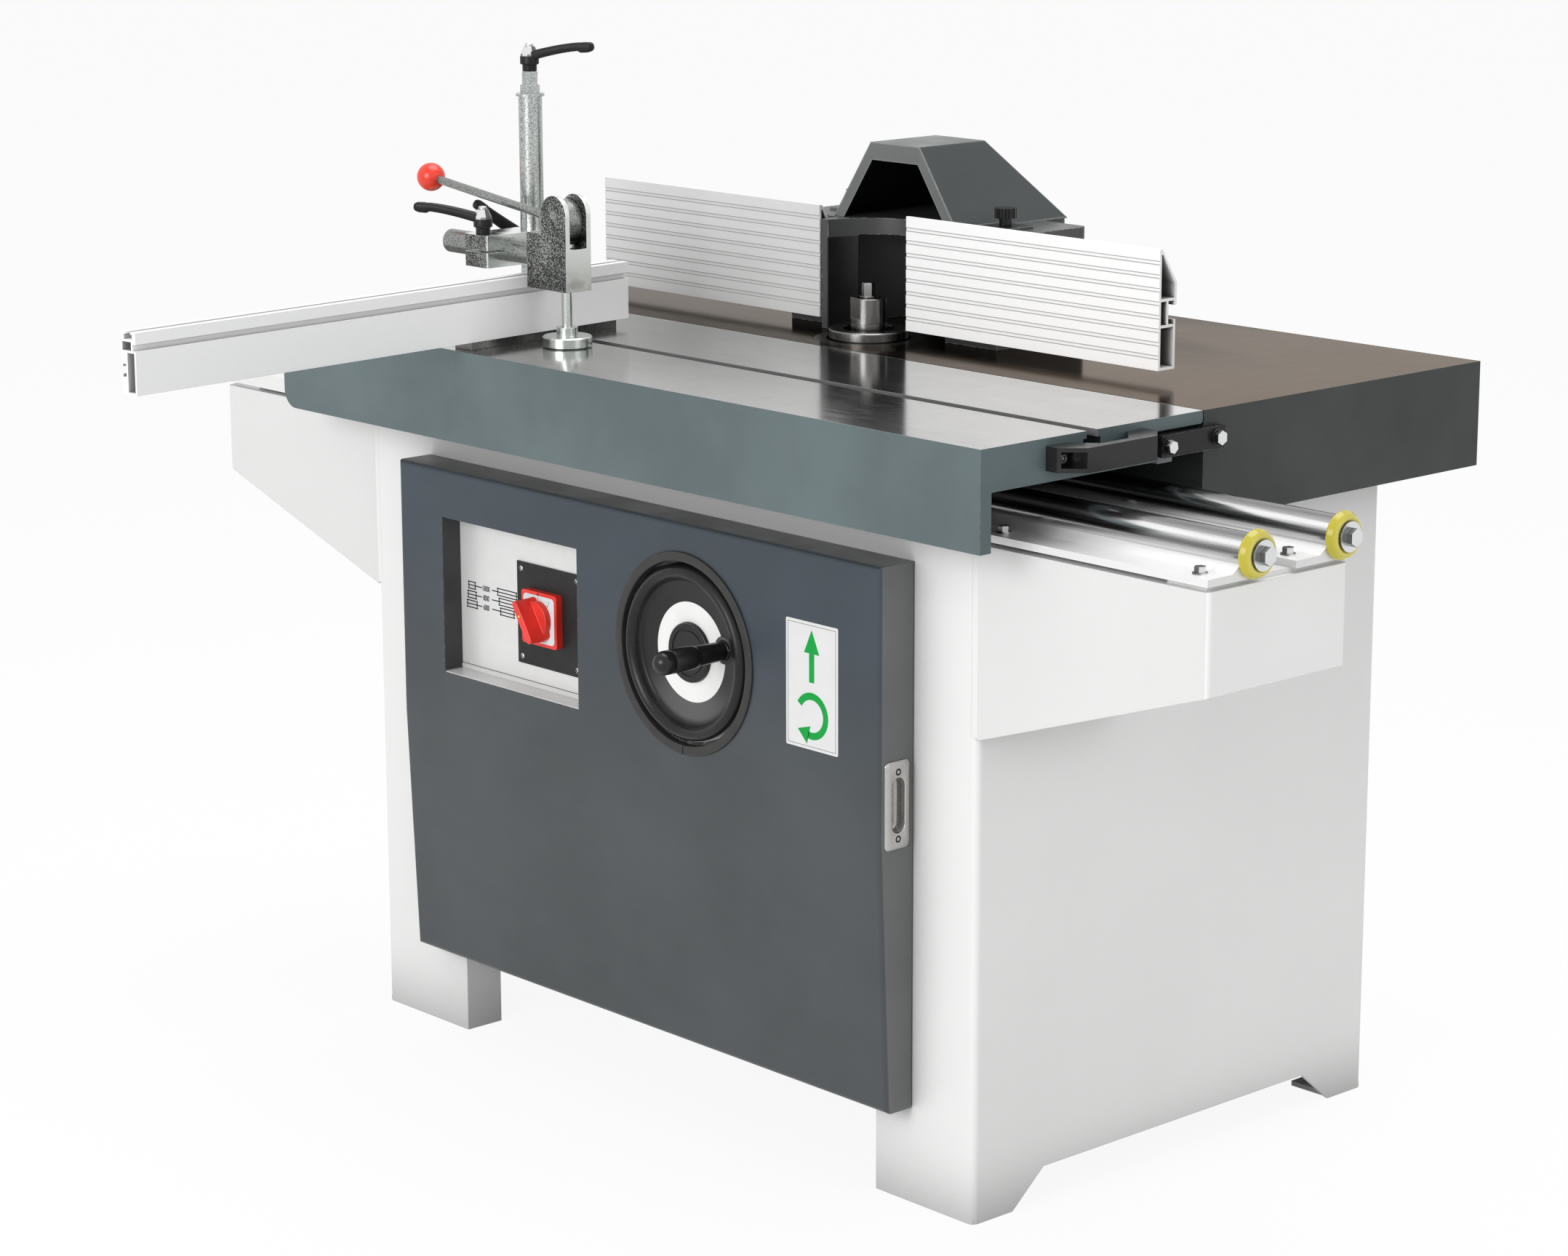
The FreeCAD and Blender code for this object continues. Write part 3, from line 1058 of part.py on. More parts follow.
def drive_parts():
    """Motor hung from the carriage beside the spindle, its pulley and the flat belt."""
    centre = V(MOTOR_X, SPINDLE_Y, 0)
    plate_low = MOTOR_PLATE_TOP - MOTOR_PLATE
    half = MOTOR_PLATE_WIDTH / 2
    plate_right = -COLUMN_X - BASE_MARGIN - OVERRUN
    plate = block(MOTOR_X - half, plate_right, SPINDLE_Y - half, COLUMN_Y + HANGER_WALL / 2, plate_low,
                  MOTOR_PLATE_TOP)
    plate = rounded(plate, CARRIAGE_WALL, lambda edge: along(edge, Z))
    plate = plate.cut(rod(MOTOR_SPIGOT_RADIUS, centre + Z * plate_low, Z, MOTOR_PLATE))
    bore = MOTOR_SHAFT_RADIUS + RUNNING_GAP
    shaft_low = plate_low - MOTOR_SHAFT_DEPTH
    flange_low = plate_low - MOTOR_FLANGE
    body_low = flange_low - MOTOR_LENGTH
    cowl_low = body_low - MOTOR_COWL
    bell = MOTOR_RADIUS - MOTOR_FIN
    profile = [(0, cowl_low), (bell - MOTOR_COWL_TAPER, cowl_low), (bell, cowl_low + MOTOR_COWL_TAPER),
               (bell, body_low), (bell, flange_low - MOTOR_BELL), (bell, flange_low),
               (MOTOR_FLANGE_RADIUS, flange_low),
               (MOTOR_FLANGE_RADIUS, plate_low), (MOTOR_SPIGOT_RADIUS, plate_low),
               (MOTOR_SPIGOT_RADIUS, MOTOR_PLATE_TOP), (bore, MOTOR_PLATE_TOP), (bore, shaft_low),
               (0, shaft_low)]
    pieces = [turned(profile, centre, Z)]
    for number in range(MOTOR_FINS):
        fin = block(bell - MOTOR_FIN_WALL, MOTOR_RADIUS, -MOTOR_FIN_WALL / 2, MOTOR_FIN_WALL / 2,
                    body_low, flange_low - MOTOR_BELL)
        fin.rotate(ORIGIN, Z, 360 * number / MOTOR_FINS)
        fin.translate(centre)
        pieces.append(fin)
    motor = joined(pieces)
    shaft = rod(MOTOR_SHAFT_RADIUS, centre + Z * shaft_low, Z, PULLEY_TOP - shaft_low)
    pulley = stepped_pulley(MOTOR_PULLEY_RADII, MOTOR_SHAFT_RADIUS, centre)
    return {"motor_plate": plate, "motor_body": motor, "motor_shaft": shaft, "motor_pulley": pulley,
            "drive_belt": flat_belt(centre)}


def flat_belt(centre):
    """A flat belt drawn tight round one step of each pulley."""
    gap = CLEAR_GAP

    def loop(extra):
        near = SPINDLE_PULLEY_RADII[BELT_STEP] + extra
        far = MOTOR_PULLEY_RADII[BELT_STEP] + extra
        reach = SPINDLE_AT - centre
        lean = math.acos((far - near) / reach.Length)
        low = Z * (BELT_Z - BELT_WIDTH / 2)

        def at(middle, radius, angle):
            return middle + low + V(radius * math.cos(angle), radius * math.sin(angle), 0)

        a = at(centre, far, lean)
        b = at(centre, far, math.pi)
        c = at(centre, far, -lean)
        d = at(SPINDLE_AT, near, -lean)
        e = at(SPINDLE_AT, near, 0)
        f = at(SPINDLE_AT, near, lean)
        edges = [Part.Arc(a, b, c).toShape(), Part.LineSegment(c, d).toShape(),
                 Part.Arc(d, e, f).toShape(), Part.LineSegment(f, a).toShape()]
        return Part.Face(Part.Wire(edges))

    return loop(gap + BELT_THICKNESS).cut(loop(gap)).extrude(Z * BELT_WIDTH)


def door_parts():
    """Folded door with its switch recess, hinges and pull."""
    sheet = DOOR_SHEET

    def side_outline(inset, x, back):
        front = DOOR_FRONT + inset
        lean = front + DOOR_LEAN
        return [V(x, back, DOOR_BOTTOM + inset), V(x, lean, DOOR_BOTTOM + inset),
                V(x, front, DOOR_CREASE_Z),
                V(x, front, DOOR_TOP - inset), V(x, back, DOOR_TOP - inset)]

    door = prism(side_outline(0, DOOR_LEFT, DOOR_BACK), X * DOOR_WIDTH)
    door = rounded(door, DOOR_BEND, lambda edge: edge.CenterOfMass.y < DOOR_FRONT + DOOR_LEAN + DOOR_SHEET
                   and not (along(edge, X) and abs(edge.CenterOfMass.z - DOOR_CREASE_Z) < DOOR_SHEET))
    hollow = prism(side_outline(sheet, DOOR_LEFT + sheet, DOOR_BACK + OVERRUN),
                   X * (DOOR_WIDTH - 2 * sheet))
    door = door.cut(hollow)
    recess_right = RECESS_LEFT + RECESS_WIDTH
    recess_top = RECESS_BOTTOM + RECESS_HEIGHT
    recess_back = DOOR_FRONT + RECESS_DEPTH
    cup = block(RECESS_LEFT - sheet, recess_right + sheet, DOOR_FRONT + sheet / 2, recess_back + sheet,
                RECESS_BOTTOM - sheet, recess_top + sheet)
    door = joined([door, cup])
    door = door.cut(block(RECESS_LEFT, recess_right, DOOR_FRONT - OVERRUN, recess_back, RECESS_BOTTOM,
                          recess_top))
    wheel_at = V(WHEEL_X, DOOR_FRONT, WHEEL_Z)
    door = door.cut(rod(DOOR_HOLE_RADIUS, wheel_at - Y * OVERRUN, Y, sheet + 2 * OVERRUN))
    web = DOOR_HOLE_RADIUS - RUNNING_GAP
    trim = turned([(TRIM_INNER_RADIUS, -sheet - TRIM_LIP), (TRIM_BACK_LIP_RADIUS, -sheet - TRIM_LIP),
                   (TRIM_BACK_LIP_RADIUS, -sheet), (web, -sheet), (web, 0), (TRIM_LIP_RADIUS, 0),
                   (TRIM_LIP_RADIUS, TRIM_LIP - TRIM_ROUND), (TRIM_LIP_RADIUS - TRIM_ROUND, TRIM_LIP),
                   (TRIM_INNER_RADIUS + TRIM_ROUND, TRIM_LIP),
                   (TRIM_INNER_RADIUS, TRIM_LIP - TRIM_ROUND)],
                  wheel_at, -Y)
    cup_y = DOOR_BACK - DOOR_DEPTH / 2
    pull_hole = block(DOOR_RIGHT - 2 * sheet, DOOR_RIGHT + OVERRUN, cup_y - PULL_CUP_WIDTH / 2,
                      cup_y + PULL_CUP_WIDTH / 2, PULL_CENTRE_Z - PULL_CUP_HEIGHT / 2,
                      PULL_CENTRE_Z + PULL_CUP_HEIGHT / 2)
    pull_hole = rounded(pull_hole, PULL_CUP_CORNER, lambda edge: along(edge, X))
    door = door.cut(pull_hole)
    hinge_lows = (DOOR_BOTTOM + HINGE_INSET, DOOR_TOP - HINGE_INSET - 3 * HINGE_KNUCKLE)
    door_knuckles = []
    fixed_knuckles = []
    for low in hinge_lows:
        pin_at = V(HINGE_X, HINGE_Y, low)
        middle_at = pin_at + Z * (HINGE_KNUCKLE + CLEAR_GAP)
        middle = HINGE_KNUCKLE - 2 * CLEAR_GAP
        barrel = rod(HINGE_RADIUS, middle_at, Z, middle)
        strap = block(HINGE_X, DOOR_LEFT + sheet / 2, HINGE_Y - HINGE_LEAF_THICKNESS / 2,
                      HINGE_Y + HINGE_LEAF_THICKNESS / 2, middle_at.z, middle_at.z + middle)
        knuckle = joined([barrel, strap]).cut(rod(HINGE_PIN_RADIUS + RUNNING_GAP, middle_at, Z, middle))
        door_knuckles.append(knuckle)
        fixed = [rod(HINGE_PIN_RADIUS, pin_at, Z, 3 * HINGE_KNUCKLE)]
        for z0 in (low, low + 2 * HINGE_KNUCKLE):
            fixed.append(rod(HINGE_RADIUS, V(HINGE_X, HINGE_Y, z0), Z, HINGE_KNUCKLE))
            fixed.append(block(HINGE_X - HINGE_LEAF, HINGE_X, CABINET_FRONT - HINGE_LEAF_THICKNESS,
                               CABINET_FRONT,
                               z0, z0 + HINGE_KNUCKLE))
        fixed_knuckles.append(joined(fixed))
    door = joined([door] + door_knuckles)
    return {"door_panel": door, "hinge_pins": Part.makeCompound(fixed_knuckles),
            "door_pull": flush_pull(cup_y),
            "door_trim": trim}


def flush_pull(cup_y):
    """Flush pull: a rounded face plate with a finger cup sunk through the door's edge."""
    face = DOOR_RIGHT
    plate = block(face, face + PULL_PLATE, cup_y - PULL_WIDTH / 2, cup_y + PULL_WIDTH / 2,
                  PULL_CENTRE_Z - PULL_HEIGHT / 2, PULL_CENTRE_Z + PULL_HEIGHT / 2)
    plate = rounded(plate, PULL_CORNER, lambda edge: along(edge, X))

    def cup(inset, start, end):
        shape = block(start, end, cup_y - PULL_CUP_WIDTH / 2 + inset, cup_y + PULL_CUP_WIDTH / 2 - inset,
                      PULL_CENTRE_Z - PULL_CUP_HEIGHT / 2 + inset,
                      PULL_CENTRE_Z + PULL_CUP_HEIGHT / 2 - inset)
        return rounded(shape, PULL_CUP_CORNER - inset, lambda edge: along(edge, X))

    wall = PULL_CUP_WALL
    body = joined([plate, cup(0, face - PULL_CUP_DEPTH, face + PULL_PLATE / 2)])
    return body.cut(cup(wall, face - PULL_CUP_DEPTH + wall, face + PULL_PLATE + OVERRUN))


def switch_parts():
    """Cam switch on its plate at the back of the door's recess."""
    back = DOOR_FRONT + RECESS_DEPTH
    plate_x = SWITCH_X + SWITCH_PLATE_SHIFT
    half_wide = SWITCH_PLATE_WIDTH / 2
    half_high = SWITCH_PLATE_HEIGHT / 2
    plate = block(plate_x - half_wide, plate_x + half_wide, back - SWITCH_PLATE, back,
                  SWITCH_Z - half_high, SWITCH_Z + half_high)
    half = SWITCH_BASE / 2
    base_front = back - SWITCH_PLATE - SWITCH_BASE_DEPTH
    base = block(SWITCH_X - half, SWITCH_X + half, base_front, back - SWITCH_PLATE, SWITCH_Z - half,
                 SWITCH_Z + half)
    base = rounded(base, SWITCH_CHAMFER, lambda edge: along(edge, Y))
    disc_at = V(SWITCH_X, base_front - SLIDE_GAP, SWITCH_Z)
    disc = rod(KNOB_DISC_RADIUS, disc_at, V(0, -1, 0), KNOB_DISC)
    front = disc_at.y - KNOB_DISC
    grip = block(SWITCH_X - KNOB_GRIP_LENGTH / 2, SWITCH_X + KNOB_GRIP_LENGTH / 2,
                 front - KNOB_GRIP_DEPTH, front + KNOB_DISC / 2,
                 SWITCH_Z - KNOB_GRIP_WIDTH / 2, SWITCH_Z + KNOB_GRIP_WIDTH / 2)
    grip = rounded(grip, KNOB_GRIP_WIDTH / 3, lambda edge: along(edge, Y))
    grip.rotate(disc_at, Y, KNOB_TURN_DEG)
    return {"switch_plate": plate, "switch_base": base, "switch_knob": joined([disc, grip])}


def bulged(start, end, rise):
    """An arc in the XZ plane whose middle stands off the chord by rise, to the right of the way."""
    chord = end - start
    aside = V(chord.z, 0, -chord.x)
    aside.normalize()
    return Part.Arc(start, (start + end) / 2 + aside * rise, end).toShape()


def wheel_parts():
    """Dished handwheel on the cross shaft, sunk in the door's round hole, and its revolving grip."""
    face = V(WHEEL_X, DOOR_FRONT, WHEEL_Z)
    crest = WHEEL_CREST_PROUD
    rim_back = crest - WHEEL_RIM_DEPTH
    dial = -WHEEL_DIAL_DEPTH
    dish_back = dial - WHEEL_DISH_WALL
    hub_front = dial + WHEEL_HUB_PROUD
    boss_back = dish_back - WHEEL_BOSS
    groove = hub_front - WHEEL_HUB_EDGE
    groove_in = WHEEL_HUB_GROOVE_RADIUS - WHEEL_HUB_GROOVE
    rim_edge = V(WHEEL_RADIUS, 0, rim_back + WHEEL_RIM_LAND)
    crest_at = V(WHEEL_CREST_RADIUS, 0, crest)
    wall_foot = V(WHEEL_WALL_RADIUS, 0, dial + WHEEL_DISH_RISE)
    outline = [wall_foot, V(WHEEL_DIAL_RADIUS, 0, dial), V(WHEEL_HUB_RADIUS, 0, dial),
               V(WHEEL_HUB_RADIUS, 0, groove), V(WHEEL_HUB_RADIUS - WHEEL_HUB_EDGE, 0, hub_front),
               V(WHEEL_HUB_GROOVE_RADIUS, 0, hub_front), V(WHEEL_HUB_GROOVE_RADIUS, 0, groove),
               V(groove_in, 0, groove), V(groove_in, 0, hub_front), V(0, 0, hub_front),
               V(0, 0, hub_front - WHEEL_CAP), V(CROSS_SHAFT_RADIUS, 0, hub_front - WHEEL_CAP),
               V(CROSS_SHAFT_RADIUS, 0, boss_back), V(WHEEL_BOSS_RADIUS, 0, boss_back),
               V(WHEEL_BOSS_RADIUS, 0, dish_back), V(WHEEL_DIAL_RADIUS, 0, dish_back),
               V(WHEEL_WALL_RADIUS + WHEEL_DISH_WALL, 0, dish_back + WHEEL_DISH_RISE),
               V(WHEEL_RIM_BACK_RADIUS, 0, rim_back), V(WHEEL_RADIUS, 0, rim_back), rim_edge]
    edges = [Part.LineSegment(a, b).toShape() for a, b in zip(outline, outline[1:])]
    edges.append(bulged(rim_edge, crest_at, WHEEL_RIM_BULGE))
    edges.append(bulged(crest_at, wall_foot, WHEEL_RIM_INNER_BULGE))
    wheel_face = Part.Face(Part.Wire(Part.__sortEdges__(edges)))
    wheel = set_on(wheel_face.revolve(ORIGIN, Z, 360), face, -Y)
    grip_at = V(GRIP_X, DOOR_FRONT - dish_back, GRIP_Z)
    boss_height = WHEEL_DISH_WALL + GRIP_BOSS
    boss = rod(GRIP_BOSS_RADIUS, grip_at, -Y, boss_height)
    pin = rod(GRIP_PIN_RADIUS, grip_at, -Y, boss_height + GRIP_LENGTH / 2)
    wheel = joined([wheel, boss, pin])
    low = dial + GRIP_BOSS + CLEAR_GAP
    top = low + GRIP_LENGTH
    bore = GRIP_PIN_RADIUS + RUNNING_GAP
    bore_top = low + GRIP_LENGTH / 2
    grip = turned([(bore, low), (GRIP_NECK_RADIUS, low), (GRIP_COLLAR_RADIUS, low + GRIP_COLLAR),
                   (GRIP_RADIUS, low + GRIP_COLLAR + GRIP_SWELL), (GRIP_RADIUS, top - GRIP_DOME),
                   (GRIP_DOME_MIDDLE_RADIUS, top - GRIP_DOME_MIDDLE), (GRIP_PIN_RADIUS, top), (0, top),
                   (0, bore_top), (bore, bore_top)], V(GRIP_X, DOOR_FRONT, GRIP_Z), -Y)
    return {"handwheel": wheel, "wheel_grip": grip}


def mitre_parts():
    """Mitre fence: a hollow slotted extrusion on a base plate that swivels on a pin in the table."""
    wall = MITRE_WALL
    wide = MITRE_WIDTH
    high = MITRE_HEIGHT
    face = MITRE_FACE_HEIGHT
    groove_top = face + MITRE_GROOVE
    middle = -wide / 2
    neck = MITRE_SLOT_NECK / 2
    head = MITRE_SLOT_HEAD / 2
    lip = MITRE_SLOT_LIP
    deep = MITRE_SLOT_DEPTH
    slot_z = MITRE_BACK_SLOT_Z
    shape = [(0, 0), (0, face), (-MITRE_GROOVE_DEPTH, face), (-MITRE_GROOVE_DEPTH, groove_top),
             (0, groove_top), (0, high),
             (middle + neck, high), (middle + neck, high - lip), (middle + head, high - lip),
             (middle + head, high - deep),
             (middle - head, high - deep), (middle - head, high - lip), (middle - neck, high - lip),
             (middle - neck, high),
             (-wide, high), (-wide, slot_z + neck), (-wide + lip, slot_z + neck),
             (-wide + lip, slot_z + head),
             (-wide + deep, slot_z + head), (-wide + deep, slot_z - head), (-wide + lip, slot_z - head),
             (-wide + lip, slot_z - neck), (-wide, slot_z - neck), (-wide, 0)]
    slot_back = -wide + deep + wall
    chambers = [[(-wall, wall), (-wall, face - wall), (slot_back, face - wall), (slot_back, wall)],
                [(-MITRE_GROOVE_DEPTH - wall, face), (-MITRE_GROOVE_DEPTH - wall, high - deep - wall),
                 (-wide + wall, high - deep - wall), (-wide + wall, face)]]
    far = MITRE_BEYOND_PIVOT
    start = V(MITRE_FACE_X, MITRE_PIVOT_Y + far, MITRE_BOTTOM)

    def ring(pairs):
        return [start + V(across, 0, up) for across, up in pairs]

    fence = section(ring(shape), [ring(chamber) for chamber in chambers], Y * -MITRE_LENGTH)
    right = MITRE_FACE_X - MITRE_BASE_LEDGE
    back = MITRE_PIVOT_Y + MITRE_BASE_BEYOND_PIVOT
    plate = block(right - MITRE_BASE_WIDTH, right, back - MITRE_BASE_LENGTH, back,
                  TABLE_HEIGHT + SLIDE_GAP, MITRE_BOTTOM)
    pin = rod(MITRE_PIN_RADIUS, V(MITRE_PIVOT_X, MITRE_PIVOT_Y, TABLE_HEIGHT - MITRE_PIN_DEPTH), Z,
              MITRE_PIN_DEPTH + MITRE_BASE / 2)
    base = joined([plate, pin])
    for piece in (fence, base):
        piece.rotate(V(MITRE_PIVOT_X, MITRE_PIVOT_Y, 0), Z, MITRE_YAW_DEG)
    return {"mitre_fence": fence, "mitre_base": base}


def clamp_lever(stud_length):
    """A clamping lever with its hub standing on the origin along +Z and its arm rising along +X."""
    hub = turned([(0, 0), (LEVER_HUB_RADIUS, 0), (LEVER_HUB_RADIUS, LEVER_SKIRT),
                  (LEVER_HUB_TOP_RADIUS, LEVER_HUB),
                  (0, LEVER_HUB)], ORIGIN, Z)
    root_z = (LEVER_SKIRT + LEVER_HUB) / 2
    rings = []
    for station, narrowing in zip(LEVER_STATION_SHARES, LEVER_SIZE_SHARES):
        wide = LEVER_ROOT_WIDTH + (LEVER_TIP_WIDTH - LEVER_ROOT_WIDTH) * narrowing
        thick = LEVER_ROOT_THICKNESS + (LEVER_TIP_THICKNESS - LEVER_ROOT_THICKNESS) * narrowing
        thick = max(thick, LEVER_TIP_THICKNESS / 3)
        wide = max(wide, thick)
        ring = Part.Wire(Part.Edge(Part.Ellipse(ORIGIN, wide / 2, thick / 2)))
        ring.rotate(ORIGIN, Z, 90)
        ring.rotate(ORIGIN, Y, 90)
        ring.translate(V(station * LEVER_LENGTH, 0,
                         root_z + LEVER_RISE * math.sin(station * math.pi / 2)))
        rings.append(ring)
    arm = Part.makeLoft(rings, True, False)
    pieces = [hub, arm]
    if stud_length > 0:
        pieces.append(rod(STUD_RADIUS, Z * -stud_length, Z, stud_length + LEVER_SKIRT / 2))
    return joined(pieces)


def clamp_parts():
    """Hold-down clamp on the sliding table: post, cross block, bar, fork, eccentric lever and plunger."""
    post_at = V(POST_X, SLOT_Y, TABLE_HEIGHT)
    tube = pipe(POST_RADIUS, POST_BORE, post_at, Z, POST_TOP)
    neck_low = TABLE_HEIGHT - SLOT_NECK_DEPTH
    half_nut = SLOT_HEAD_WIDTH / 2 - CLEAR_GAP
    nut = block(POST_X - POST_NUT_LENGTH / 2, POST_X + POST_NUT_LENGTH / 2, SLOT_Y - half_nut,
                SLOT_Y + half_nut,
                neck_low - POST_NUT_HEIGHT, neck_low)
    washer_z = post_at + Z * POST_TOP
    hex_z = washer_z + Z * POST_WASHER
    standoff_z = hex_z + Z * POST_HEX
    stud_top = standoff_z + Z * POST_STANDOFF
    long_rod = joined([nut, rod(POST_ROD_RADIUS, V(POST_X, SLOT_Y, neck_low), Z,
                                SLOT_NECK_DEPTH + POST_TOP),
                       rod(POST_WASHER_RADIUS, washer_z, Z, POST_WASHER),
                       hexagon(POST_HEX_ACROSS, hex_z, Z, POST_HEX),
                       hexagon(POST_STANDOFF_ACROSS, standoff_z, Z, POST_STANDOFF)])
    post_lever = clamp_lever(0)
    post_lever.rotate(ORIGIN, Z, POST_LEVER_DEG)
    post_lever.translate(stud_top + Z * SLIDE_GAP)

    half = BLOCK_WIDTH / 2
    front = SLOT_Y - BLOCK_FRONT
    back = SLOT_Y + BLOCK_BACK
    cross = block(POST_X - half, POST_X + half, front, back, BLOCK_BOTTOM, BLOCK_TOP)
    cross = rounded(cross, BLOCK_EDGE, lambda edge: along(edge, Z))
    cross = cross.cut(rod(POST_RADIUS + RUNNING_GAP, V(POST_X, SLOT_Y, BLOCK_BOTTOM - OVERRUN), Z,
                          BLOCK_HEIGHT + 2 * OVERRUN))
    cross = cross.cut(rod(POST_RADIUS + RUNNING_GAP, V(POST_X - half - OVERRUN, BAR_Y, BAR_Z), X,
                          BLOCK_WIDTH + 2 * OVERRUN))
    slit = BLOCK_SLIT / 2
    cross = cross.cut(block(POST_X - half - OVERRUN, POST_X + half + OVERRUN, front - OVERRUN, BAR_Y,
                            BAR_Z - slit, BAR_Z + slit))
    cross = cross.cut(block(POST_X - slit, POST_X + slit, SLOT_Y, back + OVERRUN, BLOCK_BOTTOM - OVERRUN,
                            BLOCK_TOP + OVERRUN))
    stud_hole = STUD_RADIUS + RUNNING_GAP
    cross = cross.cut(rod(stud_hole, V(POST_X, BLOCK_STUD_Y, BLOCK_BOTTOM - OVERRUN), Z,
                          BLOCK_HEIGHT + 2 * OVERRUN))
    cross = cross.cut(rod(stud_hole, V(POST_X - half - OVERRUN, BLOCK_STUD_BACK_Y, BAR_Z), X,
                          BLOCK_WIDTH + 2 * OVERRUN))
    bar_lever = clamp_lever(BLOCK_HEIGHT)
    bar_lever.rotate(ORIGIN, Z, BAR_LEVER_DEG)
    bar_lever.translate(V(POST_X, BLOCK_STUD_Y, BLOCK_TOP + SLIDE_GAP))
    block_lever = clamp_lever(BLOCK_WIDTH)
    block_lever.rotate(ORIGIN, Z, BLOCK_LEVER_DEG)
    block_lever.Placement = FreeCAD.Placement(V(POST_X - half - SLIDE_GAP, BLOCK_STUD_BACK_Y, BAR_Z),
                                              FreeCAD.Rotation(V(0, 0, -1), V(0, 1, 0), V(-1, 0, 0),
                                                               "ZXY")).multiply(block_lever.Placement)

    fork_left = FORK_X - FORK_WIDTH / 2
    fork_right = FORK_X + FORK_WIDTH / 2
    fork_front = BAR_Y - FORK_DEPTH / 2
    fork_back = BAR_Y + FORK_DEPTH / 2
    low = BAR_Z - FORK_BELOW_BAR
    pin = V(FORK_X, fork_front, CAM_PIN_Z)
    head = [block(fork_left - FORK_SHOULDER, fork_right, fork_front, fork_back, low,
                  BAR_Z + FORK_SHOULDER_HEIGHT),
            block(fork_left, fork_right, fork_front, fork_back, low, CAM_PIN_Z),
            rod(FORK_WIDTH / 2, pin, Y, FORK_DEPTH)]
    head = joined(head)
    slot_low = BAR_Z + FORK_SLOT_ABOVE_BAR
    head = head.cut(block(fork_left - OVERRUN - FORK_SHOULDER, fork_right + OVERRUN,
                          BAR_Y - FORK_SLOT / 2, BAR_Y + FORK_SLOT / 2,
                          slot_low, CAM_PIN_Z + FORK_WIDTH))
    seat_end = fork_left - FORK_SHOULDER + BAR_SEAT
    head = head.cut(rod(POST_RADIUS, V(fork_left - FORK_SHOULDER, BAR_Y, BAR_Z), X, BAR_SEAT))
    head = head.cut(rod(PLUNGER_RADIUS + RUNNING_GAP, V(FORK_X, BAR_Y, low), Z, slot_low - low))
    head = head.cut(rod(CAM_PIN_RADIUS + RUNNING_GAP, pin - Y * OVERRUN, Y, FORK_DEPTH + 2 * OVERRUN))
    bar_left = POST_X - BAR_LEFT
    bar = rod(POST_RADIUS, V(bar_left, BAR_Y, BAR_Z), X, seat_end - bar_left)
    bar = bar.cut(block(fork_left - FORK_SHOULDER, seat_end, BAR_Y - FORK_SLOT / 2, BAR_Y + FORK_SLOT / 2,
                        slot_low, CAM_PIN_Z))

    swing = math.radians(CAM_OFFSET_DEG)
    cam_middle = V(FORK_X + CAM_OFFSET * math.cos(swing), BAR_Y, CAM_PIN_Z + CAM_OFFSET * math.sin(swing))
    cam_half = FORK_SLOT / 2 - CAM_SIDE_GAP
    cam = rod(CAM_RADIUS, cam_middle - Y * cam_half, Y, 2 * cam_half)
    cam_pin = rod(CAM_PIN_RADIUS, pin, Y, FORK_DEPTH)
    rise = math.radians(CAM_ROD_RISE_DEG)
    way = V(-math.cos(rise), 0, math.sin(rise))
    lever = rod(CAM_ROD_RADIUS, cam_middle, way, CAM_ROD_LENGTH)
    ball = Part.makeSphere(BALL_RADIUS,
                           cam_middle + way * (CAM_ROD_LENGTH + BALL_RADIUS * BALL_FLAT_SHARE))
    ball = ball.cut(lever)
    cam_low = cam_middle.z - CAM_RADIUS - CLEAR_GAP * 2
    pad_top = TABLE_HEIGHT + SLIDE_GAP + PAD_THICKNESS
    hub_top = pad_top + PAD_HUB
    plunger = turned([(0, TABLE_HEIGHT + SLIDE_GAP), (PAD_RADIUS - PAD_EDGE, TABLE_HEIGHT + SLIDE_GAP),
                      (PAD_RADIUS, TABLE_HEIGHT + SLIDE_GAP + PAD_EDGE), (PAD_RADIUS, pad_top - PAD_EDGE),
                      (PAD_RADIUS - PAD_EDGE, pad_top),
                      (PAD_HUB_RADIUS, pad_top), (PAD_HUB_RADIUS, hub_top), (PLUNGER_RADIUS, hub_top),
                      (PLUNGER_RADIUS, cam_low - PLUNGER_HEAD),
                      (PLUNGER_HEAD_RADIUS, cam_low - PLUNGER_HEAD),
                      (PLUNGER_HEAD_RADIUS, cam_low), (0, cam_low)], V(FORK_X, BAR_Y, 0), Z)
    return {"clamp_post": Part.makeCompound([tube, long_rod]), "post_lever": post_lever,
            "cross_block": cross,
            "bar_lever": bar_lever, "block_lever": block_lever, "fork_head": head, "clamp_bar": bar,
            "cam_lever": joined([cam, cam_pin, lever]), "lever_ball": ball, "plunger": plunger}


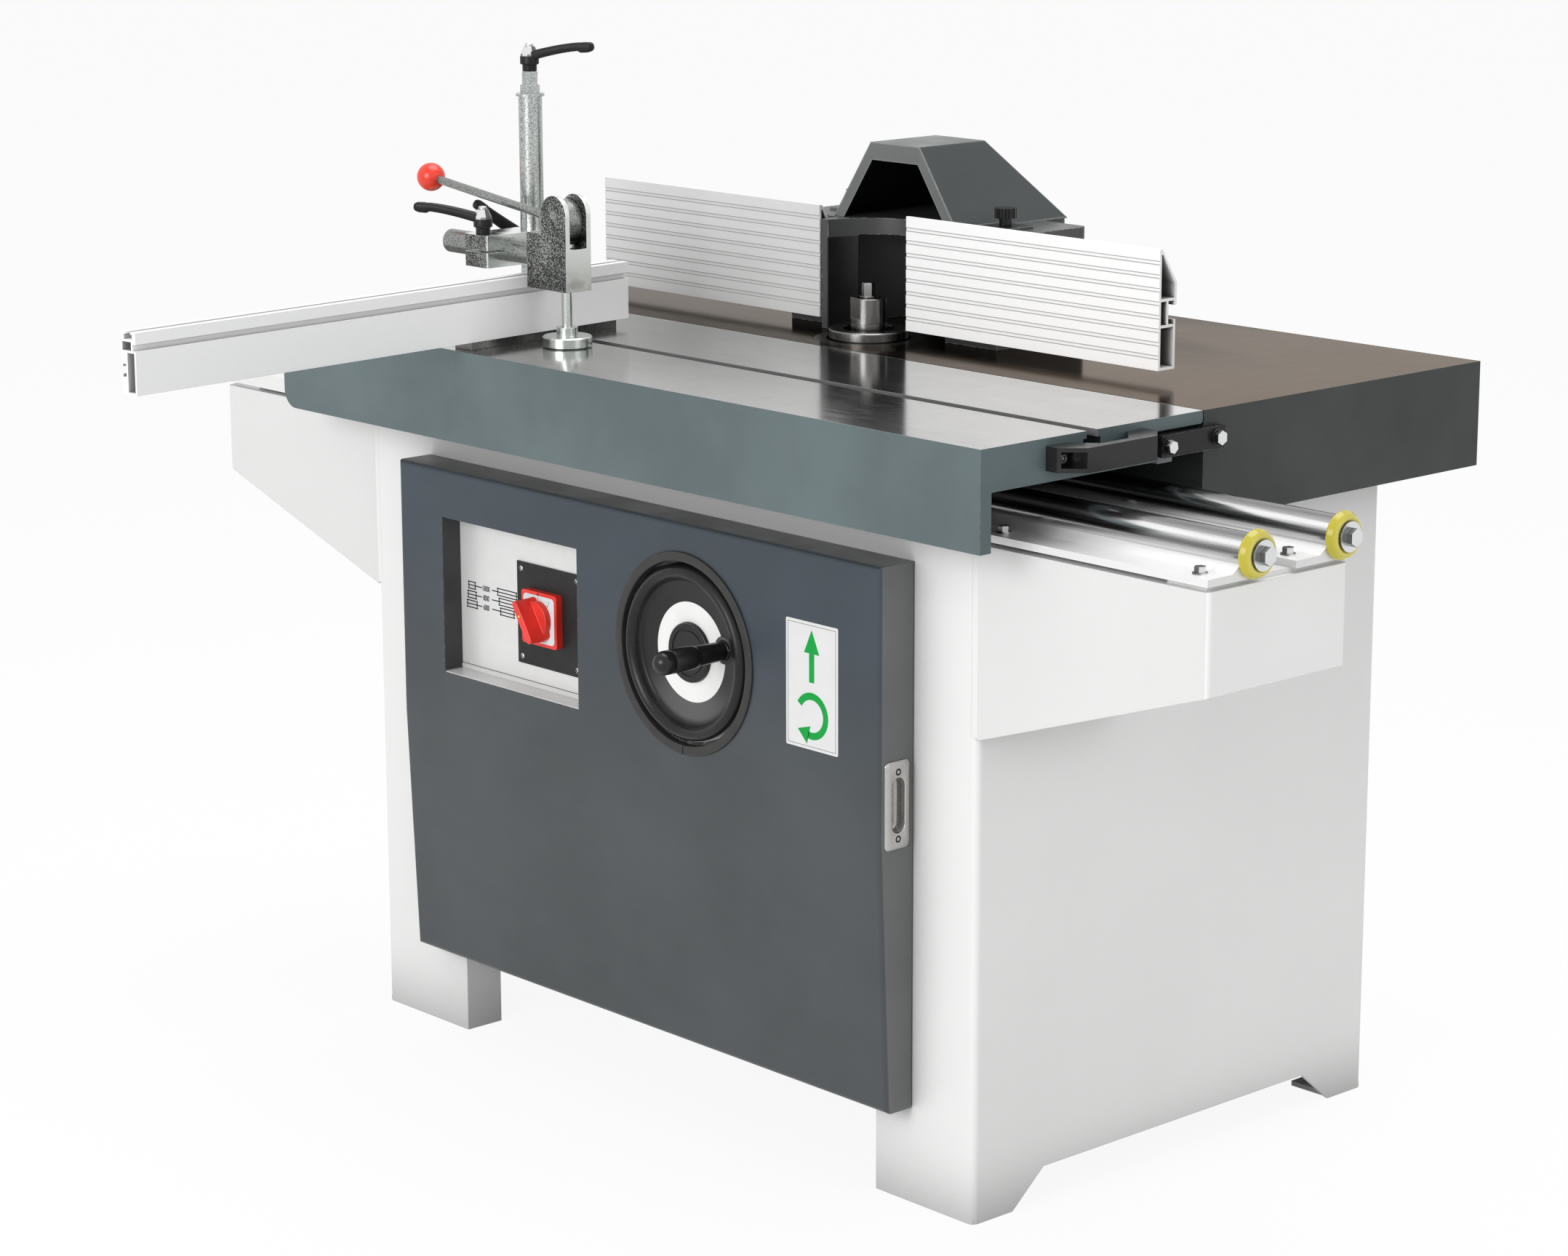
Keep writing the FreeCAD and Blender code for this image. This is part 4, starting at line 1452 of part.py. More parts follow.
def fence_plate(x0):
    """Hollow fence plate with a grooved face, a rear T-slot and a sloped top, as one extrusion."""
    wall = PLATE_WALL
    high = PLATE_HEIGHT
    deep = PLATE_DEPTH
    mouth = PLATE_SLOT_MOUTH / 2
    head = PLATE_SLOT_HEAD / 2
    slot = PLATE_SLOT_Z
    floor = deep - PLATE_SLOT_DEPTH
    pitch = high / (PLATE_GROOVES + 1)
    face = [(0, 0)]
    for number in range(PLATE_GROOVES):
        z0 = (number + 1) * pitch - PLATE_GROOVE_WIDTH / 2
        z1 = z0 + PLATE_GROOVE_WIDTH
        face += [(0, z0), (PLATE_GROOVE_DEPTH, z0), (PLATE_GROOVE_DEPTH, z1), (0, z1)]
    shape = face + [(0, high), (PLATE_TOP_EDGE, high), (deep, high - PLATE_CHAMFER_DROP),
                    (deep, slot + mouth),
                    (deep - PLATE_SLOT_LIP, slot + mouth), (deep - PLATE_SLOT_LIP, slot + head),
                    (floor, slot + head),
                    (floor, slot - head), (deep - PLATE_SLOT_LIP, slot - head),
                    (deep - PLATE_SLOT_LIP, slot - mouth),
                    (deep - PLATE_BACK_INSET / 2, slot - mouth), (deep - PLATE_BACK_INSET / 2, 0)]
    upper = [(wall, slot + head + wall), (deep - wall, slot + head + wall),
             (deep - wall, high - PLATE_CHAMFER_DROP - wall / 2),
             (wall + PLATE_TOP_EDGE / 2, high - 2 * wall), (wall, high - 2 * wall)]
    lower = [(wall, wall), (deep - PLATE_BACK_INSET / 2 - wall, wall),
             (deep - PLATE_BACK_INSET / 2 - wall, slot - head - wall),
             (wall, slot - head - wall)]
    middle = [(wall, slot - head), (floor - wall, slot - head), (floor - wall, slot + head),
              (wall, slot + head)]
    start = V(x0, FENCE_FRONT_Y, PLATE_BOTTOM)

    def ring(pairs):
        return [start + V(0, across, up) for across, up in pairs]

    return section(ring(shape), [ring(upper), ring(lower), ring(middle)], X * PLATE_LENGTH)


def fence_parts():
    """Cast casing behind the spindle, its two fence plates, and the sheet hood with its knobs."""
    wide = CASING_HALF_WIDTH
    front = CASING_FRONT
    back = front + CASING_DEPTH
    neck_back = front + CASING_NECK_BACK
    wall = CASING_WALL
    low = TABLE_HEIGHT + SLIDE_GAP
    plate_low = CASING_TOP - CASING_TOP_PLATE
    body = joined([block(-wide, wide, front, back, low, CASING_TOP),
                   block(-CASING_NECK_HALF, CASING_NECK_HALF, front, neck_back, low, CASING_TOP)])
    body = rounded(body, wall, lambda edge: along(edge, Z)
                   and edge.CenterOfMass.y > front + EDGE_TOLERANCE)
    cavity_radius = CASING_CAVITY_RADIUS
    under = plate_low - low + OVERRUN
    cavity = rod(cavity_radius, SPINDLE_AT + Z * (low - OVERRUN), Z, under)
    mouth = CASING_MOUTH_HALF
    cavity_way = block(-mouth, mouth, front - OVERRUN, SPINDLE_Y + cavity_radius / 2, low - OVERRUN,
                       plate_low)
    rim = rod(cavity_radius - CASING_RIM, SPINDLE_AT + Z * plate_low, Z, CASING_TOP_PLATE + OVERRUN)
    duct_half = CASING_NECK_HALF - wall
    duct = block(-duct_half, duct_half, SPINDLE_Y, neck_back - wall, low - OVERRUN, plate_low)
    body = body.cut(cavity).cut(cavity_way).cut(rim).cut(duct)
    cheek = block(PLATE_LEFT_X + CASING_CHEEK_GAP, 0, FENCE_FRONT_Y + CASING_CHEEK_INSET, front + wall, low,
                  CASING_TOP)
    cheek = cheek.cut(rod(cavity_radius - CASING_RIM, SPINDLE_AT + Z * (low - OVERRUN), Z,
                          CASING_HEIGHT + 2 * OVERRUN))
    body = joined([body, cheek])
    side_inner = duct_half + 2 * wall
    for side in (-1, 1):
        ends = sorted((side * side_inner, side * (wide - wall)))
        body = body.cut(block(ends[0], ends[1], front + wall, back - wall, low - OVERRUN, plate_low))
        hole = rod(CLAMP_BOLT_RADIUS, V(side * HOOD_KNOB_X, front + HOOD_EAR_BACK, plate_low - OVERRUN),
                   Z,
                   CASING_TOP_PLATE + 2 * OVERRUN)
        body = body.cut(hole)
    outlet_at = V(0, neck_back - wall, low + OUTLET_Z)
    outlet = rod(OUTLET_RADIUS, outlet_at, Y, wall + OUTLET_LENGTH)
    body = joined([body, outlet])
    body = body.cut(rod(OUTLET_RADIUS - OUTLET_WALL, outlet_at - Y * OVERRUN, Y,
                        wall + OUTLET_LENGTH + 2 * OVERRUN))
    t_bolts = []
    for side in (-1, 1):
        bolt_z = PLATE_BOTTOM + PLATE_SLOT_Z
        reach = PLATE_SLOT_DEPTH - PLATE_SLOT_LIP
        shank_from = front - CLEAR_GAP - PLATE_SLOT_LIP - CLEAR_GAP
        shank = rod(CLAMP_BOLT_RADIUS, V(side * CLAMP_BOLT_X, shank_from, bolt_z), Y,
                    front - shank_from + wall)
        half = PLATE_SLOT_HEAD / 2 - 2 * CLEAR_GAP
        head = block(side * CLAMP_BOLT_X - half, side * CLAMP_BOLT_X + half,
                     shank_from - reach + 2 * CLEAR_GAP, shank_from,
                     bolt_z - half, bolt_z + half)
        t_bolts.append(joined([shank, head]))
    for bolt in t_bolts:
        body = body.cut(bolt)
    parts = {"fence_casing": body, "fence_bolts": Part.makeCompound(t_bolts),
             "fence_plate_right": fence_plate(PLATE_RIGHT_X),
             "fence_plate_left": fence_plate(PLATE_LEFT_X - PLATE_LENGTH)}
    parts["fence_hood"] = hood()
    for name, side in (("hood_knob_right", 1), ("hood_knob_left", -1)):
        parts[name] = hood_knob(V(side * HOOD_KNOB_X, front + HOOD_EAR_BACK,
                                  HOOD_BASE + HOOD_EAR_PLATE + SLIDE_GAP))
    return parts


def hood():
    """Sheet hood: a hipped box open below and in front, with an ear each side for its knobs."""
    y0 = CASING_FRONT + HOOD_FRONT
    top = HOOD_BASE + HOOD_HEIGHT

    def hip(inset, front_inset):
        slope = (HOOD_BASE_HALF - HOOD_TOP_HALF) / HOOD_HEIGHT
        side = inset * math.sqrt(1 + slope * slope)
        low = HOOD_BASE - (OVERRUN if inset else 0)
        high = top - inset
        base_half = HOOD_BASE_HALF - side + (OVERRUN * slope if inset else 0)
        top_half = HOOD_TOP_HALF - side + inset * slope
        back_slope = (HOOD_BASE_BACK - HOOD_TOP_BACK) / HOOD_HEIGHT
        back = inset * math.sqrt(1 + back_slope * back_slope)
        base_back = CASING_FRONT + HOOD_BASE_BACK - back + (OVERRUN * back_slope if inset else 0)
        top_back = CASING_FRONT + HOOD_TOP_BACK - back + inset * back_slope
        rings = []
        for half, rear, z in ((base_half, base_back, low), (top_half, top_back, high)):
            points = [V(-half, y0 + front_inset, z), V(half, y0 + front_inset, z), V(half, rear, z),
                      V(-half, rear, z)]
            rings.append(Part.makePolygon(points + points[:1]))
        return Part.makeLoft(rings, True, True)

    shell = hip(0, 0).cut(hip(HOOD_SHEET, HOOD_SHEET))
    slope = (HOOD_BASE_HALF - HOOD_TOP_HALF) / HOOD_HEIGHT
    side = HOOD_FRAME * math.sqrt(1 + slope * slope)
    high = top - HOOD_FRAME * 1.5
    low_half = HOOD_BASE_HALF - side + OVERRUN * slope
    high_half = HOOD_TOP_HALF - side + HOOD_FRAME * 1.5 * slope
    outline = [V(-low_half, y0 - OVERRUN, HOOD_BASE - OVERRUN),
               V(low_half, y0 - OVERRUN, HOOD_BASE - OVERRUN),
               V(high_half, y0 - OVERRUN, high), V(-high_half, y0 - OVERRUN, high)]
    shell = shell.cut(prism(outline, Y * (HOOD_SHEET + 2 * OVERRUN)))
    ears = []
    middle = CASING_FRONT + HOOD_EAR_BACK
    for sign in (-1, 1):
        ends = sorted((sign * (HOOD_BASE_HALF - HOOD_SHEET), sign * (HOOD_BASE_HALF + HOOD_EAR)))
        ear = block(ends[0], ends[1], middle - HOOD_EAR_WIDTH / 2, middle + HOOD_EAR_WIDTH / 2, HOOD_BASE,
                    HOOD_BASE + HOOD_EAR_PLATE)
        ears.append(ear.cut(rod(CLAMP_BOLT_RADIUS, V(sign * HOOD_KNOB_X, middle, HOOD_BASE), Z,
                                HOOD_EAR_PLATE)))
    return joined([shell] + ears)


def hood_knob(place):
    """A lobed knob on a stem, with its screw reaching down through the hood's ear."""
    stem = rod(HOOD_KNOB_STEM, place, Z, HOOD_KNOB_STEM_HEIGHT)
    cap = rod(HOOD_KNOB_RADIUS, place + Z * HOOD_KNOB_STEM_HEIGHT, Z, HOOD_KNOB_HEIGHT)
    for number in range(HOOD_KNOB_LOBES):
        angle = 2 * math.pi * number / HOOD_KNOB_LOBES
        spot = place + V(HOOD_KNOB_RADIUS * math.cos(angle), HOOD_KNOB_RADIUS * math.sin(angle),
                         HOOD_KNOB_STEM_HEIGHT)
        cap = cap.cut(rod(HOOD_KNOB_LOBE_RADIUS, spot, Z, HOOD_KNOB_HEIGHT))
    screw_length = HOOD_EAR_PLATE + CASING_TOP_PLATE
    screw = rod(CLAMP_BOLT_RADIUS - RUNNING_GAP, place - Z * screw_length, Z,
                screw_length + HOOD_KNOB_STEM_HEIGHT / 2)
    return joined([stem, cap, screw])


def main():
    """Builds every sub-assembly and writes one file for each named piece."""
    os.makedirs("parts", exist_ok=True)
    parts = {}
    for build in (cabinet_parts, main_table_parts, rail_parts, sliding_table_parts, lock_parts,
                  spindle_parts,
                  lift_parts, drive_parts, door_parts, switch_parts, wheel_parts, mitre_parts,
                  clamp_parts, fence_parts):
        parts.update(build())
    for name, shape in parts.items():
        for solid in shape.Solids:
            assert solid.isValid() and solid.Volume > 0, name
        shape.exportStep("parts/" + name + ".step")
    print(len(parts), "pieces written")


main()
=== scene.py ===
import logging
import math
from dataclasses import dataclass, field
from enum import Enum
from typing import Any, Sequence

import bmesh
import bpy
import numpy as np
from mathutils import Matrix, Vector


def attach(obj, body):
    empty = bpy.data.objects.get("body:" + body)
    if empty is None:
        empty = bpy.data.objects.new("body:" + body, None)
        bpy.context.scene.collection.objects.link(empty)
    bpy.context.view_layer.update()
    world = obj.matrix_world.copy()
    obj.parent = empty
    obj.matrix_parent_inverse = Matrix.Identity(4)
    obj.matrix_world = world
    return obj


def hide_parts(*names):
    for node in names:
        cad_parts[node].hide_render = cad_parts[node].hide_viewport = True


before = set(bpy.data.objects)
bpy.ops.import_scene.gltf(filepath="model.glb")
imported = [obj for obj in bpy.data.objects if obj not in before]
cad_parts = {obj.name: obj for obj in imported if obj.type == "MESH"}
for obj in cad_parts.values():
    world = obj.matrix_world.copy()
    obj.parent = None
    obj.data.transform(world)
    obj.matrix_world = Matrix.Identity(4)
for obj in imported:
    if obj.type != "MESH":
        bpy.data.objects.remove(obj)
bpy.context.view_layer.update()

log = logging.getLogger("spindle_moulder")

Colour = tuple[float, float, float]
Point = tuple[float, float, float]
Pair = tuple[float, float]
Profile = tuple[Pair, ...]
Shell = tuple[np.ndarray, list[tuple[int, ...]]]

MM = 0.001
X_AXIS = np.array([1.0, 0.0, 0.0])
Y_AXIS = np.array([0.0, 1.0, 0.0])
Z_AXIS = np.array([0.0, 0.0, 1.0])
UP: Point = (0.0, 0.0, 1.0)
MIDDLE: Pair = (0.0, 0.0)
WHITE: Colour = (1.0, 1.0, 1.0)
NOISE_MIDDLE: Pair = (0.3, 0.7)
WHOLE_PART = 10.0
SEAM_WIDTH = 1e-6
RAIL_LINES: Pair = (-258.0 * MM, -126.0 * MM)
RAIL_HEIGHT = 780.0 * MM
DOOR_FRONT = -375.0 * MM
WHEEL_MIDDLE: Pair = (112.0 * MM, 570.0 * MM)
HEX_SHOULDER = 0.86
HEX_TOP = 0.9


def mm(*pairs: Pair) -> Profile:
    """Pairs of millimetres as a profile in metres."""
    return tuple((first * MM, second * MM) for first, second in pairs)


def scaled(colour: Colour, factor: float, lift: float = 0.0) -> Colour:
    """A darker or lighter colour: each channel c becomes factor c + lift, at most 1."""
    return tuple(min(1.0, factor * channel + lift) for channel in colour)


def lifted(profile: Sequence[Pair], level: float) -> list[Pair]:
    """A profile of (radius, height) moved along its axis."""
    return [(radius, level + height) for radius, height in profile]


def turned(degrees: float, length: float = 1.0) -> Pair:
    """The vector at an angle on a flat place: (l cos t, l sin t)."""
    return length * math.cos(math.radians(degrees)), length * math.sin(math.radians(degrees))


class Grain(Enum):
    """The direction in which a finish was ground, drawn or brushed."""

    ALONG_X = (1.0, 40.0, 40.0)
    ALONG_Y = (40.0, 1.0, 40.0)
    ALONG_Z = (40.0, 40.0, 1.0)
    EVEN = (1.0, 1.0, 1.0)


class Tree:
    """Builds the node tree of a material or of the surroundings with short calls."""

    def __init__(self, name: str, world: bool = False) -> None:
        """Starts a material, or the surroundings, with an empty tree.

        Args:
            name: Its name.
            world: Whether it is the scene's surroundings.
        """
        self.holder = (bpy.data.worlds if world else bpy.data.materials).new(name)
        self.holder.use_nodes = True
        self.nodes = self.holder.node_tree.nodes
        self.links = self.holder.node_tree.links
        self.nodes.clear()
        self.output = self.nodes.new("ShaderNodeOutput" + ("World" if world else "Material"))
        self.coordinates = self.nodes.new("ShaderNodeTexCoord").outputs["Object"]

    def feed(self, socket: Any, value: Any) -> None:
        """Links a node's output to a socket, or sets the socket's own value.

        Args:
            socket: The input to fill.
            value: An output socket, a number or a colour.
        """
        if isinstance(value, bpy.types.NodeSocket):
            self.links.new(value, socket)
        elif isinstance(value, tuple) and len(value) == 3 and len(socket.default_value) == 4:
            socket.default_value = (*value, 1.0)
        else:
            socket.default_value = value

    def node(self, kind: str, settings: dict[str, Any] | None = None, **inputs: Any) -> Any:
        """Adds a node.

        Args:
            kind: The node type's name without its common beginning.
            settings: Properties of the node.
            inputs: Input names, with _ for a space, and their values.

        Returns:
            The new node.
        """
        made = self.nodes.new("ShaderNode" + kind)
        for key, value in (settings or {}).items():
            setattr(made, key, value)
        for key, value in inputs.items():
            self.feed(made.inputs[key.replace("_", " ")], value)
        return made

    def joined(self, kind: str, settings: dict[str, Any], values: dict[int, Any],
               output: int | str = 0) -> Any:
        """Adds a node whose inputs go by number, and gives one of its outputs.

        Args:
            kind: The node type's name without its common beginning.
            settings: Properties of the node.
            values: Input numbers and their values.
            output: The output's number or name.

        Returns:
            The output's socket.
        """
        made = self.node(kind, settings)
        for index, value in values.items():
            self.feed(made.inputs[index], value)
        return made.outputs[output]

    def sum(self, operation: str, first: Any, second: Any) -> Any:
        """One step of arithmetic on two values."""
        return self.joined("Math", {"operation": operation}, {0: first, 1: second})

    def times(self, first: Any, second: Any) -> Any:
        """The product of two values."""
        return self.sum("MULTIPLY", first, second)

    def dot(self, first: Any, second: Any) -> Any:
        """The dot product of two vectors."""
        return self.joined("VectorMath", {"operation": "DOT_PRODUCT"}, {0: first, 1: second}, "Value")

    def mix(self, share: Any, first: Any, second: Any) -> Any:
        """Blends two colours by a share."""
        return self.joined("Mix", {"data_type": "RGBA"}, {0: share, 6: first, 7: second}, 2)

    def varied(self, share: Any, colour: Colour, dark: float, light: float) -> Any:
        """Blends a colour from a darker to a lighter shade of itself by a share."""
        return self.mix(share, scaled(colour, dark), scaled(colour, light))

    def blend(self, share: Any, first: Any, second: Any) -> Any:
        """Blends two numbers by a share."""
        return self.joined("Mix", {"data_type": "FLOAT"}, {0: share, 2: first, 3: second})

    def place(self) -> Any:
        """The Object coordinates, one output for each axis."""
        return self.node("SeparateXYZ", Vector=self.coordinates).outputs

    def stretched(self, scale: Point) -> Any:
        """Object coordinates, stretched along the three axes."""
        return self.node("Mapping", Vector=self.coordinates, Scale=scale).outputs["Vector"]

    def noise(self, scale: float, detail: float = 3.0, vector: Any = None, rough: float = 0.55) -> Any:
        """Fractal noise from 0 to 1 on Object coordinates, or on another vector."""
        where = self.coordinates if vector is None else vector
        return self.node("TexNoise", Vector=where, Scale=scale, Detail=detail, Roughness=rough).outputs["Fac"]

    def span(self, value: Any, low: float, high: float, to_low: float = 0.0, to_high: float = 1.0) -> Any:
        """Maps a range of a value smoothly onto another range.

        Args:
            value: The socket to map.
            low: Where the range starts.
            high: Where it ends.
            to_low: What the start becomes.
            to_high: What the end becomes.

        Returns:
            The mapped value's socket.
        """
        ends = {"From_Min": low, "From_Max": high, "To_Min": to_low, "To_Max": to_high}
        made = self.node("MapRange", {"interpolation_type": "SMOOTHSTEP"}, Value=value, **ends)
        return made.outputs["Result"]

    def drift(self, scale: float, detail: float, low: float = 0.0, high: float = 1.0) -> Any:
        """Noise whose middle range is spread from a low to a high value."""
        return self.span(self.noise(scale, detail), *NOISE_MIDDLE, low, high)

    def ramp(self, value: Any, stops: Profile) -> Any:
        """Greys along a value.

        Args:
            value: The socket that is mapped.
            stops: Places from 0 to 1, each with its grey level.

        Returns:
            The colour's socket.
        """
        made = self.node("ValToRGB", Fac=value)
        scale = made.color_ramp.elements
        for place, _ in stops[1:-1]:
            scale.new(place)
        for element, (_, level) in zip(scale, stops):
            element.color = (level, level, level, 1.0)
        return made.outputs["Color"]

    def flat(self) -> Any:
        """The true normal, without smoothing or bumps."""
        return self.node("NewGeometry").outputs["True Normal"]

    def facing(self) -> Any:
        """The true normal in the piece's own axes, so that it turns with the piece."""
        settings = {"vector_type": "NORMAL", "convert_from": "WORLD", "convert_to": "OBJECT"}
        return self.node("VectorTransform", settings, Vector=self.flat()).outputs["Vector"]

    def lean(self, axis: str) -> Any:
        """How far the true normal points along one of the piece's axes, from -1 to 1."""
        return self.node("SeparateXYZ", Vector=self.facing()).outputs[axis]

    def towards(self, way: Point, low: float, high: float) -> Any:
        """From 0 to 1 as the true normal n turns towards a way: n . way mapped from low to high."""
        return self.span(self.dot(self.facing(), way), low, high)

    def inside(self, heart: Point, reach: float, top: float) -> Any:
        """1 on faces that look back at a heart point, n . (p - heart) < 0, within a reach and below a top.

        Args:
            heart: The point inside the hollow.
            reach: The greatest distance from the upright line through the heart.
            top: The height where the hollow ends.

        Returns:
            The mask's socket.
        """
        away = self.joined("VectorMath", {"operation": "SUBTRACT"}, {0: self.coordinates, 1: heart}, "Vector")
        back = self.sum("LESS_THAN", self.dot(away, self.facing()), 0.0)
        part = self.node("SeparateXYZ", Vector=away).outputs
        near = self.sum("LESS_THAN", self.apart(part, ("X", 0.0), ("Y", 0.0)), reach)
        low = self.sum("LESS_THAN", part["Z"], top - heart[2])
        return self.times(back, self.times(near, low))

    def openness(self, reach: float, alone: bool = True) -> Any:
        """How open the surface is within reach, 0 to 1, past the piece itself alone or past all pieces."""
        settings = {"only_local": alone, "samples": 8}
        return self.node("AmbientOcclusion", settings, Distance=reach).outputs["AO"]

    def apart(self, place: Any, first: tuple[str, float], second: tuple[str, float]) -> Any:
        """The distance from a line along one axis: sqrt((u - a)^2 + (v - b)^2) over the other two.

        Args:
            place: The separated coordinates.
            first: One axis's name and the line's place on it.
            second: The other axis's name and the line's place on it.

        Returns:
            The distance.
        """
        sides = [self.sum("SUBTRACT", place[axis], spot) for axis, spot in (first, second)]
        squares = [self.times(side, side) for side in sides]
        return self.sum("POWER", self.sum("ADD", *squares), 0.5)

    def soft_edges(self, radius: float) -> Any:
        """The surface's normal, rounded over its edges."""
        return self.node("Bevel", {"samples": 6}, Radius=radius).outputs["Normal"]

    def edge_mask(self, radius: float, low: float = 0.02, high: float = 0.25) -> Any:
        """Near 1 along edges and near 0 on flats: how far the rounded normal leaves the true one."""
        same = self.dot(self.soft_edges(radius), self.flat())
        return self.span(self.sum("SUBTRACT", 1.0, same), low, high)

    def bump(self, height: Any, strength: float, depth: float, normal: Any = None) -> Any:
        """A normal bumped by a height, from the surface's own normal or from another one."""
        start = {} if normal is None else {"Normal": normal}
        return self.node("Bump", Height=height, Strength=strength, Distance=depth, **start).outputs["Normal"]

    def close(self, shader: Any) -> None:
        """Links a shader to the tree's output."""
        self.links.new(shader, self.output.inputs["Surface"])

    def surface(self, **inputs: Any) -> bpy.types.Material:
        """The material, closed by a principled surface whose inputs are named with _ for a space."""
        self.close(self.node("BsdfPrincipled", **inputs).outputs["BSDF"])
        return self.holder


@dataclass(frozen=True)
class Paint:
    """Sprayed paint: fine orange peel, slow shade changes, dust and rubbed edges, and painted light and shade
    where set.
    """

    name: str
    colour: Colour
    rubbed_and_gleam: Colour
    roughness: float = 0.42
    peel: float = 0.10
    peel_scale: float = 420.0
    shade: float = 0.10
    wear: float = 0.35
    edge: float = 1.2 * MM
    # painted shade: faces that look back at the heart of a hollow take the near-black hollow colour
    heart: Point | None = None
    reach: float = WHOLE_PART
    hollow_top: float = WHOLE_PART
    hollow: Colour = (0.006, 0.006, 0.006)
    # painted shade: a colour towards the bottom, so that the paint is darker towards the top
    foot: Colour | None = None
    foot_z: Pair = (0.40, 0.64)
    smear: float = 0.07
    shine: float = 0.5
    # painted light: a lighter colour for faces that turn towards a given way
    lit: Colour | None = None
    lit_way: Point = (0.0, -1.0, 0.0)
    # painted highlight: a share of the rubbed colour laid along all edges, with no chips
    gleam: float = 0.0
    painted_shade_reach: float = 0.0
    painted_shade_colour: Colour = (0.30, 0.30, 0.30)
    painted_shade_share: float = 0.7

    def material(self) -> bpy.types.Material:
        """The node material of this paint; a hollow piece is painted darker where it faces its heart, as
        painted shade.

        Returns:
            The material.
        """
        tree = Tree(self.name)
        drift = tree.drift(5.0, 4.0)
        shades = 1.0 - self.shade, 1.0 + self.shade
        colour = tree.varied(drift, self.colour, *shades)
        # painted shade: below foot_z the paint takes the foot colour and above it the main colour, darker
        # towards the top
        if self.foot is not None:
            share = tree.span(tree.place()["Z"], *self.foot_z)
            colour = tree.mix(share, tree.varied(drift, self.foot, *shades), colour)
        # painted light: faces turned towards the lit way take the lighter lit colour
        if self.lit is not None:
            share = tree.towards(self.lit_way, 0.55, 0.7)
            colour = tree.mix(share, colour, tree.varied(drift, self.lit, *shades))
        # painted shade: where other pieces close in within the reach, found by ambient occlusion past all
        # pieces, the colour is darkened towards a grey
        if self.painted_shade_reach > 0.0:
            shut = tree.span(tree.openness(self.painted_shade_reach, False), 0.35, 0.95, self.painted_shade_share, 0.0)
            colour = tree.mix(shut, colour, self.painted_shade_colour)
        chips = tree.span(tree.noise(260.0, 4.0), 0.45, 0.62)
        # painted highlight: with gleam set, edges take the rubbed colour along their whole length, on top of
        # the worn chips
        wear_and_gleam = tree.sum("MAXIMUM", tree.times(chips, self.wear), self.gleam)
        specks = tree.span(tree.noise(900.0, 2.0), 0.72, 0.78, 0.0, 0.35)
        rub_and_gleam = tree.times(tree.edge_mask(2.0 * self.edge), wear_and_gleam)
        colour = tree.mix(tree.sum("MAXIMUM", rub_and_gleam, tree.times(specks, self.wear)), colour, self.rubbed_and_gleam)
        # painted shade: inside a hollow, faces that look back at its heart are painted near black
        if self.heart is not None:
            colour = tree.mix(tree.inside(self.heart, self.reach, self.hollow_top), colour, self.hollow)
        gloss = self.roughness - self.smear, self.roughness + self.smear
        smear = tree.span(tree.noise(14.0, 5.0, tree.stretched((1.0, 1.0, 2.5))), 0.35, 0.7, *gloss)
        normal = tree.bump(tree.noise(self.peel_scale, 2.0), self.peel, 0.4 * MM, tree.soft_edges(self.edge))
        return tree.surface(Base_Color=colour, Roughness=smear, Normal=normal, Specular_IOR_Level=self.shine)


